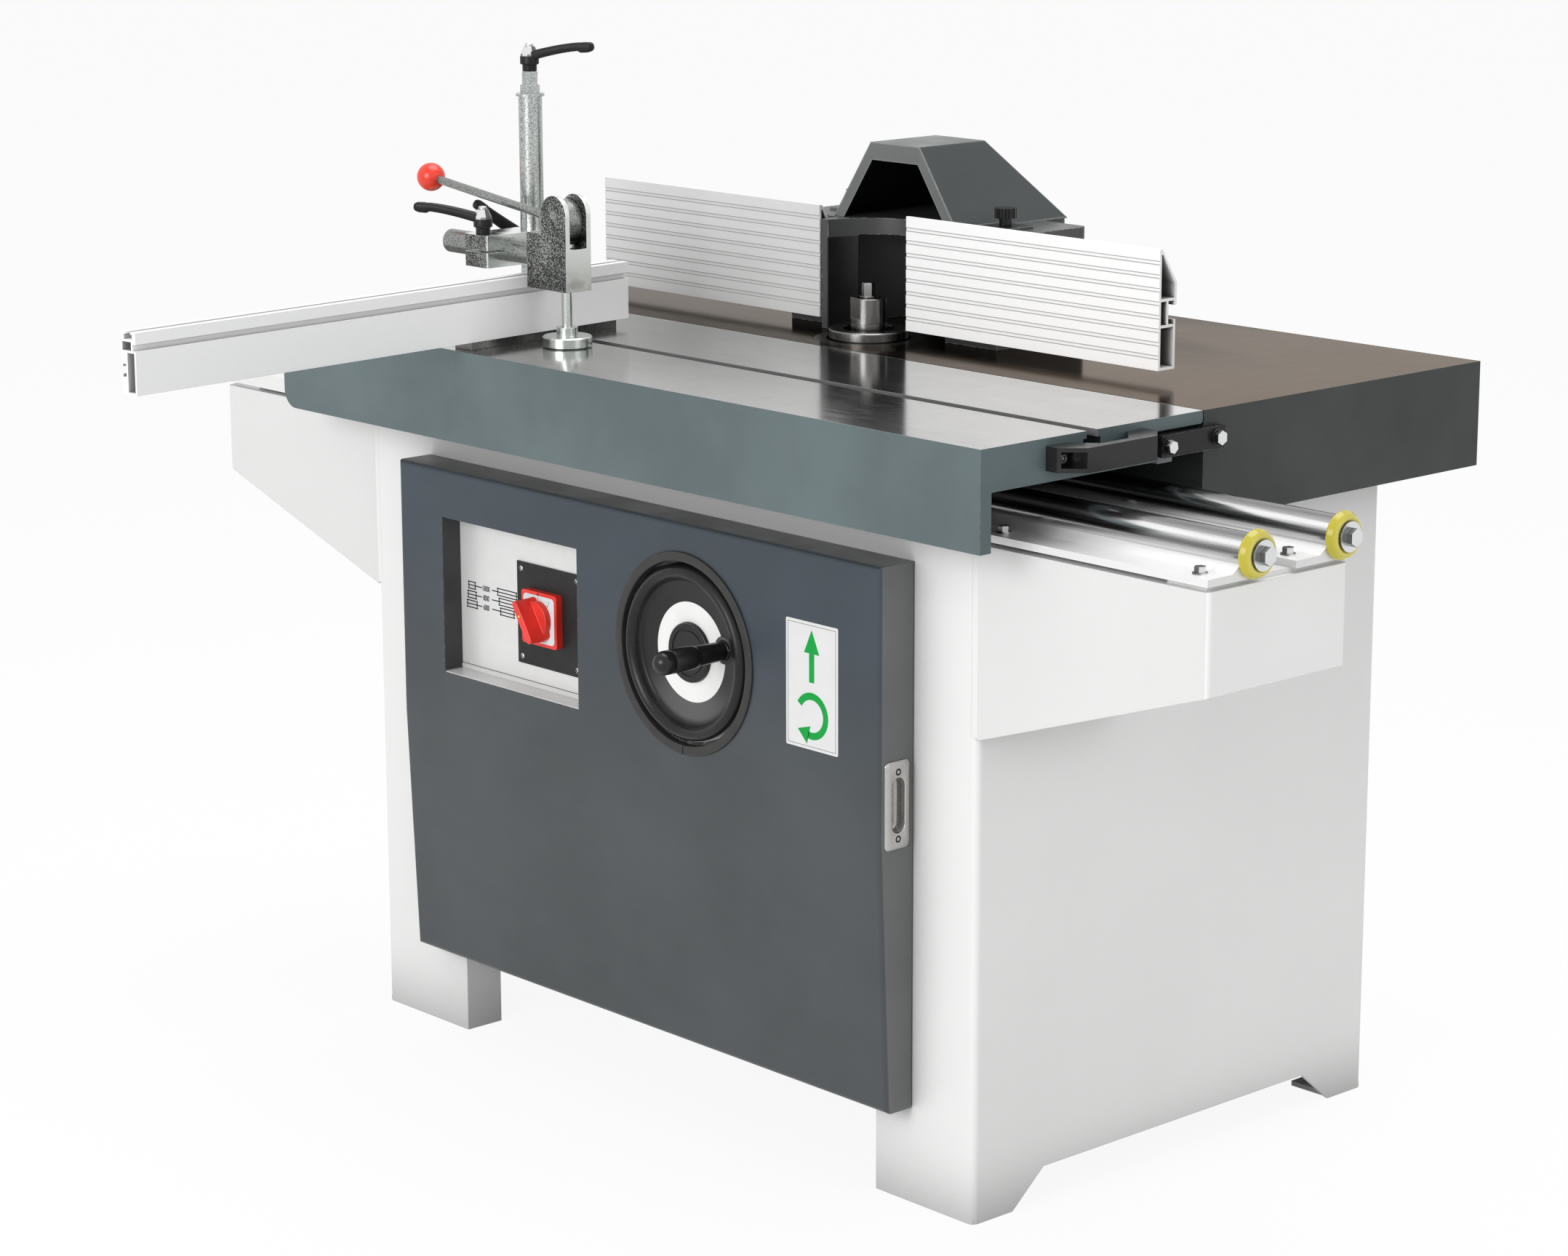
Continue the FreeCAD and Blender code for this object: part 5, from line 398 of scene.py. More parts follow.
@dataclass(frozen=True)
class GroundCasting:
    """A painted casting whose upward faces at table height are ground bright, in another tone towards one
    end, with painted shade inside.
    """

    name: str
    steel: Colour
    end_tone: Colour
    paint: Paint
    top: float = 870.0 * MM
    top_slack: float = 0.6 * MM
    roughness: float = 0.13
    edge: float = 0.8 * MM
    end_from: float = 0.05
    end_to: float = 0.45
    edge_tint: Colour = (0.72, 0.70, 0.68)
    stain: Colour = (0.12, 0.105, 0.09)
    # painted shade: the near-black colour of faces inside the casting
    hollow: Colour = (0.010, 0.010, 0.010)
    heart: Point = (0.0, 0.0, 800.0 * MM)
    slot_y: float | None = None
    slot_half: float = 9.0 * MM
    slot_depth: float = 16.0 * MM

    def material(self) -> bpy.types.Material:
        """The node material: bright where the normal points up at the top, painted elsewhere.

        Returns:
            The material.
        """
        tree = Tree(self.name)
        place = tree.place()
        high = tree.sum("GREATER_THAN", place["Z"], self.top - self.top_slack)
        bright = tree.times(tree.sum("GREATER_THAN", tree.lean("Z"), 0.9), high)
        lines = tree.noise(22.0, 6.0, tree.stretched((0.6, 30.0, 30.0)), 0.7)
        colour = tree.mix(bright, self.coat(tree, place), self.ground(tree, place, lines))
        ground_gloss = tree.span(lines, 0.2, 0.8, self.roughness - 0.04, self.roughness + 0.12)
        coat_gloss = tree.drift(17.0, 5.0, self.paint.roughness - 0.06, self.paint.roughness + 0.1)
        gloss = tree.blend(bright, coat_gloss, ground_gloss)
        height = tree.blend(bright, tree.noise(self.paint.peel_scale, 2.0), tree.times(lines, 0.25))
        normal = tree.bump(height, 0.10, 0.35 * MM, tree.soft_edges(self.edge))
        return tree.surface(Base_Color=colour, Metallic=bright, Roughness=gloss, Normal=normal,
                            Specular_Tint=self.edge_tint)

    def ground(self, tree: Tree, place: Any, lines: Any) -> Any:
        """The ground top's colour: from the steel tone to the end tone along x, with clouds, stains and marks
        across.

        Args:
            tree: The material's tree.
            place: The Object coordinates.
            lines: The grinding lines.

        Returns:
            The colour's socket.
        """
        cloud = tree.span(tree.noise(3.2, 4.0, tree.stretched((1.0, 2.2, 1.0))), 0.3, 0.72)
        # the top's tone changes along x, lighter towards +x, and on the main table also browner
        end = tree.sum("ADD", place["X"], tree.times(tree.sum("SUBTRACT", cloud, 0.5), 0.25))
        steel = tree.mix(tree.span(end, self.end_from, self.end_to), self.steel, self.end_tone)
        dull = tree.times(cloud, tree.span(lines, 0.25, 0.75, 0.0, 0.6))
        steel = tree.mix(dull, steel, scaled(self.end_tone, 0.70))
        stains = tree.span(tree.noise(34.0, 6.0, tree.stretched((1.0, 1.8, 1.0))), 0.66, 0.78, 0.0, 0.4)
        steel = tree.mix(stains, steel, self.stain)
        marks = tree.noise(18.0, 5.0, tree.stretched((26.0, 0.7, 1.0)), 0.7)
        return tree.mix(tree.span(marks, 0.35, 0.75, 0.0, 0.22), steel, scaled(self.steel, 0.6))

    def coat(self, tree: Tree, place: Any) -> Any:
        """The paint's colour: rubbed along edges, with painted shade inside the casting, steel on the walls
        of a slot.

        Args:
            tree: The material's tree.
            place: The Object coordinates.

        Returns:
            The colour's socket.
        """
        colour = tree.varied(tree.drift(6.0, 5.0), self.paint.colour, 0.86, 1.14)
        chips = tree.span(tree.noise(210.0, 4.0), 0.42, 0.6, 0.0, self.paint.wear)
        colour = tree.mix(tree.times(tree.edge_mask(2.0 * self.edge), chips), colour, self.paint.rubbed_and_gleam)
        # painted shade: faces inside the casting that look back at its heart are painted near black
        colour = tree.mix(tree.inside(self.heart, WHOLE_PART, self.top), colour, self.hollow)
        if self.slot_y is not None:
            off = tree.sum("ABSOLUTE", tree.sum("SUBTRACT", place["Y"], self.slot_y), 0.0)
            high = tree.sum("GREATER_THAN", place["Z"], self.top - self.slot_depth)
            wall = tree.times(tree.sum("LESS_THAN", off, self.slot_half), high)
            colour = tree.mix(wall, colour, scaled(self.steel, 0.5))
        return colour


@dataclass(frozen=True)
class ForgedZinc:
    """Zinc plating: dark and speckled where the forging skin faces front or back, pale where machined."""

    name: str
    machined: Colour = (0.80, 0.835, 0.81)
    skin_dark: Colour = (0.035, 0.036, 0.035)
    skin_bright: Colour = (0.40, 0.415, 0.40)
    speckle_scale: float = 660.0
    edge: float = 0.7 * MM

    def material(self) -> bpy.types.Material:
        """The node material: the normal's Y share chooses between skin and machined faces.

        Returns:
            The material.
        """
        tree = Tree(self.name)
        skin_share = tree.span(tree.sum("ABSOLUTE", tree.lean("Y"), 0.0), 0.55, 0.85)
        cells = tree.noise(self.speckle_scale, 4.0, rough=0.6)
        dots = tree.span(tree.sum("ADD", cells, tree.drift(30.0, 3.0, -0.03, 0.03)), 0.46, 0.62)
        cloud = tree.drift(60.0, 4.0)
        clean = tree.varied(cloud, self.machined, 0.86, 1.0)
        colour = tree.mix(skin_share, clean, tree.mix(dots, self.skin_dark, self.skin_bright))
        rim = tree.times(tree.edge_mask(2.0 * self.edge, 0.03, 0.3), 0.7)
        colour = tree.mix(rim, colour, scaled(self.machined, 1.25))
        rough = tree.blend(skin_share, tree.span(cloud, 0.0, 1.0, 0.16, 0.26), 0.34)
        normal = tree.bump(tree.times(cells, skin_share), 0.25, 0.2 * MM, tree.soft_edges(self.edge))
        return tree.surface(Base_Color=colour, Metallic=1.0, Roughness=rough, Normal=normal)


@dataclass(frozen=True)
class Metal:
    """Bare metal: drawn or ground lines, faint clouds, speckle where it was cast or plated, painted edge
    highlights and painted cavity shade.
    """

    name: str
    colour: Colour
    roughness: float = 0.25
    grain: Grain = Grain.EVEN
    lines: float = 0.25
    speckle: float = 0.0
    speckle_scale: float = 650.0
    tint: Colour = (0.62, 0.70, 0.66)
    tint_share: float = 0.0
    metallic: float = 1.0
    edge: float = 0.6 * MM
    bump_depth: float = 0.12 * MM
    edge_light: float = 0.35
    graze: Colour = WHITE
    cavity: float = 0.0
    cavity_shade: float = 0.94
    cavity_colour: Colour = (0.012, 0.012, 0.012)
    face_way: Point | None = None
    face_colour: Colour = (0.72, 0.73, 0.73)
    knurl_pitch: float = 0.0
    knurl_below: float = 0.0

    def material(self) -> bpy.types.Material:
        """The node material of this metal.

        Returns:
            The material.
        """
        tree = Tree(self.name)
        lines = height = tree.noise(26.0, 6.0, tree.stretched(self.grain.value), 0.7)
        shade = tree.times(tree.span(lines, 0.25, 0.75), self.lines)
        colour = tree.mix(shade, self.colour, scaled(self.colour, 0.55))
        colour = tree.mix(tree.times(tree.drift(28.0, 4.0), self.tint_share), colour, self.tint)
        if self.speckle > 0.0:
            cells = tree.noise(self.speckle_scale, 3.0)
            dots = tree.span(cells, 0.46, 0.60, 0.0, self.speckle)
            colour = tree.mix(dots, colour, scaled(self.colour, 0.22))
            height = tree.sum("ADD", lines, cells)
        rough = tree.span(lines, 0.2, 0.8, max(0.03, self.roughness - 0.06), self.roughness + 0.12)
        # faces that turn towards face_way take face_colour; on the lever caps this is a painted highlight on
        # the facets that face the key lamp
        if self.face_way is not None:
            colour = tree.mix(tree.towards(self.face_way, 0.6, 0.85), colour, self.face_colour)
        # painted highlight: edges are painted lighter by edge_light
        bright = tree.times(tree.edge_mask(2.0 * self.edge, 0.03, 0.3), self.edge_light)
        colour = tree.mix(bright, colour, scaled(self.colour, 1.35))
        # painted shade: deep chambers and grooves, found by ambient occlusion on the piece itself, are
        # darkened towards the cavity colour
        if self.cavity > 0.0:
            shut = tree.span(tree.openness(self.cavity), 0.22, 0.60, self.cavity_shade, 0.0)
            colour = tree.mix(shut, colour, self.cavity_colour)
        normal = tree.bump(height, 0.14, self.bump_depth, tree.soft_edges(self.edge))
        if self.knurl_pitch > 0.0:
            ridges = self.knurl(tree)
            colour = tree.mix(tree.times(ridges, 0.45), colour, scaled(self.colour, 0.35))
            normal = tree.bump(ridges, 0.6, 0.4 * MM, normal)
        return tree.surface(Base_Color=colour, Metallic=self.metallic, Roughness=rough, Normal=normal,
                            Specular_Tint=self.graze)

    def knurl(self, tree: Tree) -> Any:
        """Crossed diagonal ridges, sin k(y + z) and sin k(y - z), on what lies below a limit of x.

        Args:
            tree: The material's tree.

        Returns:
            The ridges' height from 0 to 1.
        """
        place = tree.place()
        turn = 2.0 * math.pi / self.knurl_pitch
        ways = [tree.sum(way, place["Y"], place["Z"]) for way in ("ADD", "SUBTRACT")]
        waves = [tree.sum("SINE", tree.times(way, turn), 0.0) for way in ways]
        ridges = tree.span(tree.sum("MAXIMUM", *waves), 0.1, 0.9)
        return tree.times(ridges, tree.sum("LESS_THAN", place["X"], self.knurl_below))


@dataclass(frozen=True)
class PolishedBar:
    """A polished round bar: painted reflections, light and dark bands along it, set by how far its surface
    looks up.
    """

    name: str
    reflection_bands: Profile = (
        (0.0, 0.05), (0.10, 0.09), (0.20, 0.42), (0.33, 0.74), (0.45, 0.52), (0.54, 0.16), (0.62, 0.19),
        (0.70, 0.60), (0.755, 0.98), (0.82, 0.95), (0.88, 0.40), (0.95, 0.19), (1.0, 0.26))
    haze: Colour = (0.34, 0.34, 0.335)
    roughness: float = 0.17

    def material(self) -> bpy.types.Material:
        """The node material: a painted reflection, a ramp of greys over the normal's height, frayed by fine
        drawn lines.

        Returns:
            The material.
        """
        tree = Tree(self.name)
        drawn = tree.noise(18.0, 6.0, tree.stretched((0.5, 60.0, 60.0)), 0.7)
        level = tree.sum("ADD", tree.times(tree.lean("Z"), 0.5), 0.5)
        level = tree.sum("ADD", level, tree.span(drawn, 0.2, 0.8, -0.035, 0.035))
        cloud = tree.span(tree.noise(9.0, 5.0, tree.stretched((0.7, 3.0, 3.0))), 0.35, 0.75, 0.0, 0.25)
        colour = tree.mix(cloud, tree.ramp(level, self.reflection_bands), self.haze)
        rough = tree.span(drawn, 0.2, 0.8, self.roughness - 0.05, self.roughness + 0.10)
        normal = tree.bump(drawn, 0.08, 0.1 * MM)
        return tree.surface(Base_Color=colour, Metallic=1.0, Roughness=rough, Normal=normal)


@dataclass(frozen=True)
class Plastic:
    """Moulded plastic: fine grain, a little dust, and painted highlights on its edges."""

    name: str
    colour: Colour
    roughness: float = 0.45
    grain: float = 0.12
    grain_scale: float = 1500.0
    dust: float = 0.10
    edge: float = 0.8 * MM
    shine: float = 0.5
    lit: Colour | None = None
    lit_axis: Pair = WHEEL_MIDDLE
    lit_radii: Pair = (74.0 * MM, 82.0 * MM)

    def material(self) -> bpy.types.Material:
        """The node material; near an axis along Y, faces that lean up a little may be painted paler, as
        painted light.

        Returns:
            The material.
        """
        tree = Tree(self.name)
        colour = tree.varied(tree.drift(24.0, 4.0), self.colour, 0.85, 1.15)
        # painted light: on the wheel's lower dish, faces that lean up a little are painted paler
        if self.lit is not None:
            lean = tree.sum("SUBTRACT", tree.towards(UP, 0.04, 0.16), tree.towards(UP, 0.2, 0.4))
            radius = tree.apart(tree.place(), ("X", self.lit_axis[0]), ("Z", self.lit_axis[1]))
            near = tree.span(radius, *self.lit_radii, 1.0, 0.0)
            colour = tree.mix(tree.times(lean, near), colour, self.lit)
        dust = tree.span(tree.noise(700.0, 3.0), 0.62, 0.72, 0.0, self.dust)
        # painted highlight: edges are painted lighter, mixed with the dust specks
        edge = tree.times(tree.edge_mask(2.0 * self.edge), 0.35)
        colour = tree.mix(tree.sum("MAXIMUM", edge, dust), colour, scaled(self.colour, 1.7, 0.02))
        rough = tree.drift(30.0, 4.0, self.roughness - 0.06, self.roughness + 0.07)
        grain = tree.noise(self.grain_scale, 2.0)
        normal = tree.bump(grain, self.grain, 0.2 * MM, tree.soft_edges(self.edge))
        return tree.surface(Base_Color=colour, Roughness=rough, Normal=normal, Specular_IOR_Level=self.shine)


@dataclass(frozen=True)
class SoftStop:
    """Clear soft plastic in a disc: paler near the washer, deeper towards the rim, as painted light through
    the plastic.
    """

    name: str
    pale: Colour
    deep: Colour
    radii: Pair = (15.0 * MM, 24.0 * MM)
    roughness: float = 0.18
    edge: float = 0.8 * MM

    def material(self) -> bpy.types.Material:
        """The node material: the distance from the nearer rail's axis sets the depth of the colour, a painted
        glow of light through the disc.

        Returns:
            The material.
        """
        tree = Tree(self.name)
        place = tree.place()
        rails = [tree.apart(place, ("Y", line), ("Z", RAIL_HEIGHT)) for line in RAIL_LINES]
        # painted light: the pale middle stands in for light passing through the clear disc
        depth = tree.span(tree.sum("MINIMUM", *rails), *self.radii)
        cloud = tree.span(tree.noise(70.0, 4.0), 0.3, 0.75, 0.0, 0.4)
        colour = tree.mix(tree.sum("MAXIMUM", depth, cloud), self.pale, self.deep)
        rough = tree.drift(50.0, 4.0, self.roughness - 0.04, self.roughness + 0.08)
        normal = tree.bump(tree.noise(600.0, 2.0), 0.05, 0.1 * MM, tree.soft_edges(self.edge))
        return tree.surface(Base_Color=colour, Roughness=rough, Normal=normal, Subsurface_Weight=0.5,
                            Subsurface_Radius=(6.0 * MM, 4.5 * MM, 1.0 * MM), Subsurface_Scale=1.0)


@dataclass(frozen=True)
class Print:
    """Ink or foil on a plate: an even colour with faint unevenness in shade and gloss."""

    name: str
    colour: Colour
    roughness: float = 0.35
    metallic: float = 0.0
    shine: float = 0.5

    def material(self) -> bpy.types.Material:
        """The node material of this print.

        Returns:
            The material.
        """
        tree = Tree(self.name)
        colour = tree.varied(tree.drift(40.0, 4.0), self.colour, 0.98, 1.015)
        rough = tree.drift(60.0, 4.0, self.roughness - 0.02, self.roughness + 0.02)
        normal = tree.bump(tree.noise(500.0, 2.0), 0.05, 0.1 * MM)
        return tree.surface(Base_Color=colour, Roughness=rough, Metallic=self.metallic, Normal=normal,
                            Specular_IOR_Level=self.shine)


MAIN_SLATE = Paint("main_slate", (0.043, 0.050, 0.049), (0.30, 0.32, 0.33), 0.42, 0.12, 380.0, 0.10, 0.5)
SLIDE_SLATE = Paint("slide_slate", (0.092, 0.126, 0.132), (0.33, 0.36, 0.38), 0.40, 0.12, 380.0, 0.12, 0.5)
# painted shade and light: darker towards the top of the door, and painted lighter on its top and right faces
DOOR_SLATE = Paint("door_slate", (0.043, 0.056, 0.070), (0.30, 0.33, 0.35), 0.40, 0.12, 420.0, 0.09, 0.4,
                   foot=(0.060, 0.067, 0.071), shine=0.3, lit=(0.135, 0.139, 0.138),
                   lit_way=(0.707, 0.0, 0.707))
# painted shade: the cabinet white is darkened under the arms and beside the door, where other pieces close in
CABINET_WHITE = Paint("cabinet_white", (0.81, 0.81, 0.805), (0.50, 0.49, 0.47), 0.40, 0.06, 330.0, 0.012,
                      0.12, smear=0.02, painted_shade_reach=110.0 * MM)
# painted shade and light: the arms' paint is a darker copy of the cabinet white, painted lighter on faces
# towards +x
ARM_WHITE = Paint("arm_white", (0.72, 0.72, 0.715), (0.50, 0.49, 0.47), 0.40, 0.06, 330.0, 0.012, 0.12,
                  smear=0.02, lit=(0.89, 0.89, 0.885), lit_way=(1.0, 0.0, 0.0))
# painted shade inside the hood, painted light on its front rim, and a painted highlight along its edges
HOOD_SLATE = Paint("hood_slate", (0.044, 0.050, 0.051), (0.42, 0.44, 0.44), 0.34, 0.14, 520.0, 0.12, 0.9,
                   2.2 * MM, heart=(0.0, 0.13, 1.03), shine=0.4, lit=(0.15, 0.157, 0.157), gleam=0.6)
# painted shade: near black inside the spindle's hole, below the top plate
CASING_IRON = Paint("casing_iron", (0.052, 0.054, 0.054), (0.40, 0.40, 0.39), 0.44, 0.3, 300.0, 0.2, 0.9,
                    1.4 * MM, heart=(0.0, 0.014, 0.93), reach=83.5 * MM, hollow_top=979.5 * MM)
PRIMER_GREY = Paint("primer_grey", (0.20, 0.21, 0.22), (0.36, 0.36, 0.36), 0.55, 0.3, 260.0, 0.15, 0.4)
BLACK_STEEL = Paint("black_steel", (0.012, 0.012, 0.013), (0.30, 0.30, 0.30), 0.30, 0.15, 400.0, 0.2, 0.9,
                    0.8 * MM, shine=0.25)
RECESS_BLACK = Paint("recess_black", (0.022, 0.023, 0.025), (0.10, 0.10, 0.10), 0.46, 0.12, 420.0, 0.15, 0.3)
# painted shade: faces inside each casting are near black; each ground top changes tone along x
TABLE_IRON = GroundCasting("table_iron", (0.135, 0.131, 0.127), (0.385, 0.332, 0.292), MAIN_SLATE,
                           roughness=0.10, edge_tint=(0.43, 0.395, 0.365), heart=(0.0, 0.166, 0.80))
SLIDE_IRON = GroundCasting("slide_iron", (0.32, 0.317, 0.313), (0.66, 0.655, 0.65), SLIDE_SLATE,
                           roughness=0.10, end_from=-0.28, end_to=0.32, edge_tint=WHITE,
                           heart=(0.0, -0.236, 0.80), slot_y=-240.0 * MM)
ALUMINIUM = Metal("drawn_aluminium", (0.80, 0.80, 0.80), 0.34, Grain.ALONG_X, 0.12, metallic=0.75)
HOLDER_ALUMINIUM = Metal("holder_aluminium", (0.82, 0.82, 0.82), 0.42, Grain.ALONG_X, 0.16, metallic=0.25)
# painted light and shade: both fence plates are one aluminium, the right one painted lighter and the left one
# darker
RIGHT_ALUMINIUM = Metal("right_plate_aluminium", (0.97, 0.97, 0.97), 0.42, Grain.ALONG_X, 0.03, metallic=0.0,
                        edge_light=0.0, cavity=40.0 * MM)
LEFT_ALUMINIUM = Metal("left_plate_aluminium", (0.80, 0.80, 0.80), 0.40, Grain.ALONG_X, 0.08, metallic=0.3,
                       edge_light=0.0, cavity=40.0 * MM)
FENCE_ALUMINIUM = Metal("fence_aluminium", (0.93, 0.93, 0.93), 0.38, Grain.ALONG_Y, 0.06, metallic=0.12,
                        cavity=40.0 * MM, cavity_shade=0.55)
RAIL_STEEL = PolishedBar("rail_steel")
TURNED_STEEL = Metal("turned_steel", (0.20, 0.197, 0.193), 0.22, Grain.ALONG_Z, 0.3, 0.12, edge_light=0.8,
                     graze=(0.45, 0.45, 0.45))
FORGED_ZINC = ForgedZinc("forged_zinc")
TUBE_ZINC = Metal("tube_zinc", (0.56, 0.585, 0.57), 0.26, Grain.ALONG_Z, 0.3, 0.75, 750.0, tint_share=0.2)
BAR_ZINC = Metal("bar_zinc", (0.36, 0.37, 0.36), 0.28, Grain.ALONG_X, 0.25, 0.8, 800.0, tint_share=0.12)
PAD_ZINC = Metal("pad_zinc", (0.58, 0.61, 0.59), 0.18, Grain.ALONG_Z, 0.15, 0.15, tint_share=0.25)
FASTENER_ZINC = Metal("fastener_zinc", (0.66, 0.67, 0.68), 0.24, Grain.EVEN, 0.2, 0.2)
BOLT_ZINC = Metal("bolt_zinc", (0.15, 0.15, 0.15), 0.26, Grain.EVEN, 0.2, 0.2, edge_light=0.2,
                  face_way=(1.0, 0.0, 0.0))
# painted highlight: the cap's facets that face the key lamp are painted pale
CAP_CHROME = Metal("cap_chrome", (0.14, 0.14, 0.14), 0.12, Grain.EVEN, 0.1, face_way=(0.30, -0.75, 0.59),
                   face_colour=(0.80, 0.80, 0.80))
PULL_NICKEL = Metal("pull_nickel", (0.52, 0.51, 0.495), 0.22, Grain.ALONG_Z, 0.15, 0.1, edge=1.0 * MM,
                    knurl_pitch=3.3 * MM, knurl_below=426.0 * MM)
MOULDED_BLACK = Plastic("moulded_black", (0.011, 0.011, 0.011), 0.34, 0.10, 1300.0, 0.08, shine=0.2)
HANDLE_BLACK = Plastic("handle_black", (0.014, 0.014, 0.014), 0.26, 0.06, 1300.0, 0.06, shine=0.35)
KNOB_BLACK = Plastic("knob_black", (0.010, 0.010, 0.010), 0.14, 0.04, 900.0, 0.04, shine=0.3)
# painted light on the lower part of the wheel's dish
WHEEL_BLACK = Plastic("wheel_black", (0.012, 0.012, 0.012), 0.30, 0.14, 1100.0, 0.10, shine=0.28,
                      lit=(0.10, 0.10, 0.10))
GRIP_BLACK = Plastic("grip_black", (0.011, 0.011, 0.011), 0.26, 0.08, 1100.0, 0.08, shine=0.35)
TRIM_RUBBER = Plastic("trim_rubber", (0.030, 0.029, 0.028), 0.50, 0.25, 900.0, 0.16, shine=0.35)
SWITCH_BLACK = Plastic("switch_black", (0.018, 0.018, 0.018), 0.42, 0.25, 1000.0, 0.10, shine=0.2)
SIGNAL_RED = Plastic("signal_red", (0.74, 0.030, 0.018), 0.30, 0.04, 900.0, 0.04)
BALL_RED = Plastic("ball_red", (0.80, 0.045, 0.020), 0.24, 0.03, 700.0, 0.0, edge=0.02 * MM)
DOT_YELLOW = Plastic("dot_yellow", (0.85, 0.55, 0.04), 0.35, 0.03, 900.0, 0.0)
STOP_YELLOW = SoftStop("stop_yellow", (0.82, 0.74, 0.20), (0.52, 0.46, 0.035))
BELT_BLACK = Plastic("belt_black", (0.02, 0.02, 0.02), 0.6, 0.3, 900.0, 0.2)
PANEL_SILVER = Print("panel_silver", (0.72, 0.72, 0.715), 0.34, 0.25)
LABEL_WHITE = Print("label_white", (0.70, 0.705, 0.70), 0.34, shine=0.3)
DIAL_WHITE = Print("dial_white", (0.84, 0.84, 0.83), 0.40)
SWITCH_FACE = Print("switch_face", (0.66, 0.70, 0.72), 0.35)
INK_BLACK = Print("ink_black", (0.008, 0.008, 0.008), 0.45, shine=0.1)
INK_GREY = Print("ink_grey", (0.22, 0.23, 0.22), 0.45)
GROOVE_SHADE = Print("groove_shade", (0.44, 0.44, 0.44), 0.50)
INK_GREEN = Print("ink_green", (0.004, 0.33, 0.050), 0.40, shine=0.15)

Finish = Paint | GroundCasting | ForgedZinc | Metal | PolishedBar | Plastic | SoftStop | Print


class Finishes:
    """Makes each finish's material once."""

    made: dict[str, bpy.types.Material] = {}

    @classmethod
    def of(cls, finish: Finish) -> bpy.types.Material:
        """The material of a finish, built at its first use.

        Args:
            finish: The finish.

        Returns:
            Its material.
        """
        if finish.name not in cls.made:
            cls.made[finish.name] = finish.material()
        return cls.made[finish.name]


@dataclass(frozen=True)
class Seat:
    """A flat place to draw on: an origin and two directions, in metres."""

    origin: Point
    right: Point = (1.0, 0.0, 0.0)
    up: Point = (0.0, 0.0, 1.0)

    def out(self) -> np.ndarray:
        """The direction that faces the viewer of the place: right x up."""
        return np.cross(np.array(self.right), np.array(self.up))

    def put(self, local: np.ndarray) -> np.ndarray:
        """Local points (right, up, out) as points of the part.

        Args:
            local: Points in the last axis of an array.

        Returns:
            The array of placed points.
        """
        basis = np.stack([np.array(self.right, float), np.array(self.up, float), self.out()])
        return np.array(self.origin) + np.asarray(local, float) @ basis


def skin(rows: np.ndarray, caps: bool = True, ring: bool = False) -> Shell:
    """Quads over a grid of points whose columns run round a closed section.

    Args:
        rows: Points as (rows, columns, 3); column n follows column n - 1 round the section.
        caps: Closes the first and last row with a face.
        ring: Joins the last row to the first, as in a torus.

    Returns:
        Vertices and faces.
    """
    count, columns = rows.shape[:2]
    grid = np.arange(count * columns).reshape(count, columns)
    ahead = np.roll(grid, -1, axis=1)
    low, high = (grid, np.roll(grid, -1, axis=0)) if ring else (grid[:-1], grid[1:])
    low_next, high_next = (ahead, np.roll(ahead, -1, axis=0)) if ring else (ahead[:-1], ahead[1:])
    quads = np.stack([low, low_next, high_next, high], axis=-1).reshape(-1, 4)
    faces = [tuple(quad) for quad in quads.tolist()]
    if caps and not ring:
        faces.append(tuple(grid[0, ::-1].tolist()))
        faces.append(tuple(grid[-1].tolist()))
    return rows.reshape(-1, 3), faces


def together(shells: Sequence[Shell]) -> Shell:
    """Several shells as one.

    Args:
        shells: The shells.

    Returns:
        Vertices and faces, whose corners are counted on from shell to shell.
    """
    starts = np.cumsum([0] + [len(points) for points, _ in shells[:-1]]).tolist()
    faces = [tuple(corner + start for corner in face)
             for start, (_, group) in zip(starts, shells) for face in group]
    return np.concatenate([points for points, _ in shells]), faces


def unit(rows: np.ndarray) -> np.ndarray:
    """Each row of an array at length 1."""
    return rows / np.linalg.norm(rows, axis=1, keepdims=True)


def full_turn(steps: int) -> np.ndarray:
    """Angles round a full turn, in radians, without its end."""
    return np.linspace(0.0, 2.0 * math.pi, steps, endpoint=False)


def superellipse(columns: int, power: float) -> tuple[np.ndarray, np.ndarray]:
    """Points round |a|^p + |b|^p = 1: cos t and sin t keep their signs and are raised to 2 / p."""
    waves = np.cos(full_turn(columns)), np.sin(full_turn(columns))
    return tuple(np.sign(wave) * np.abs(wave) ** (2.0 / power) for wave in waves)


def directions(axis: np.ndarray, turn: np.ndarray) -> np.ndarray:
    """Unit vectors square to an axis: cos t u + sin t v, where u and v are square to it and to each other.

    Args:
        axis: The unit direction of the axis.
        turn: Angles in radians.

    Returns:
        Vectors as (angles, 3).
    """
    first = np.cross(axis, X_AXIS if abs(axis[0]) < 0.9 else Y_AXIS)
    first = first / np.linalg.norm(first)
    return np.cos(turn)[:, None] * first + np.sin(turn)[:, None] * np.cross(axis, first)


def revolved(profile: Sequence[Pair], origin: Point, axis: np.ndarray, steps: int = 64) -> Shell:
    """A profile of (radius, height) turned round an axis: p = o + h a + r (cos t u + sin t v).

    Args:
        profile: Points in order along the outline, in metres, from the axis and back to it.
        origin: A point on the axis where height is 0.
        axis: The unit direction of height.
        steps: Points round the axis.

    Returns:
        Vertices and faces.
    """
    radius, height = np.array(profile, float).T
    circle = directions(axis, full_turn(steps))
    rows = np.array(origin) + height[:, None, None] * axis + radius[:, None, None] * circle[None]
    return skin(rows, caps=False)


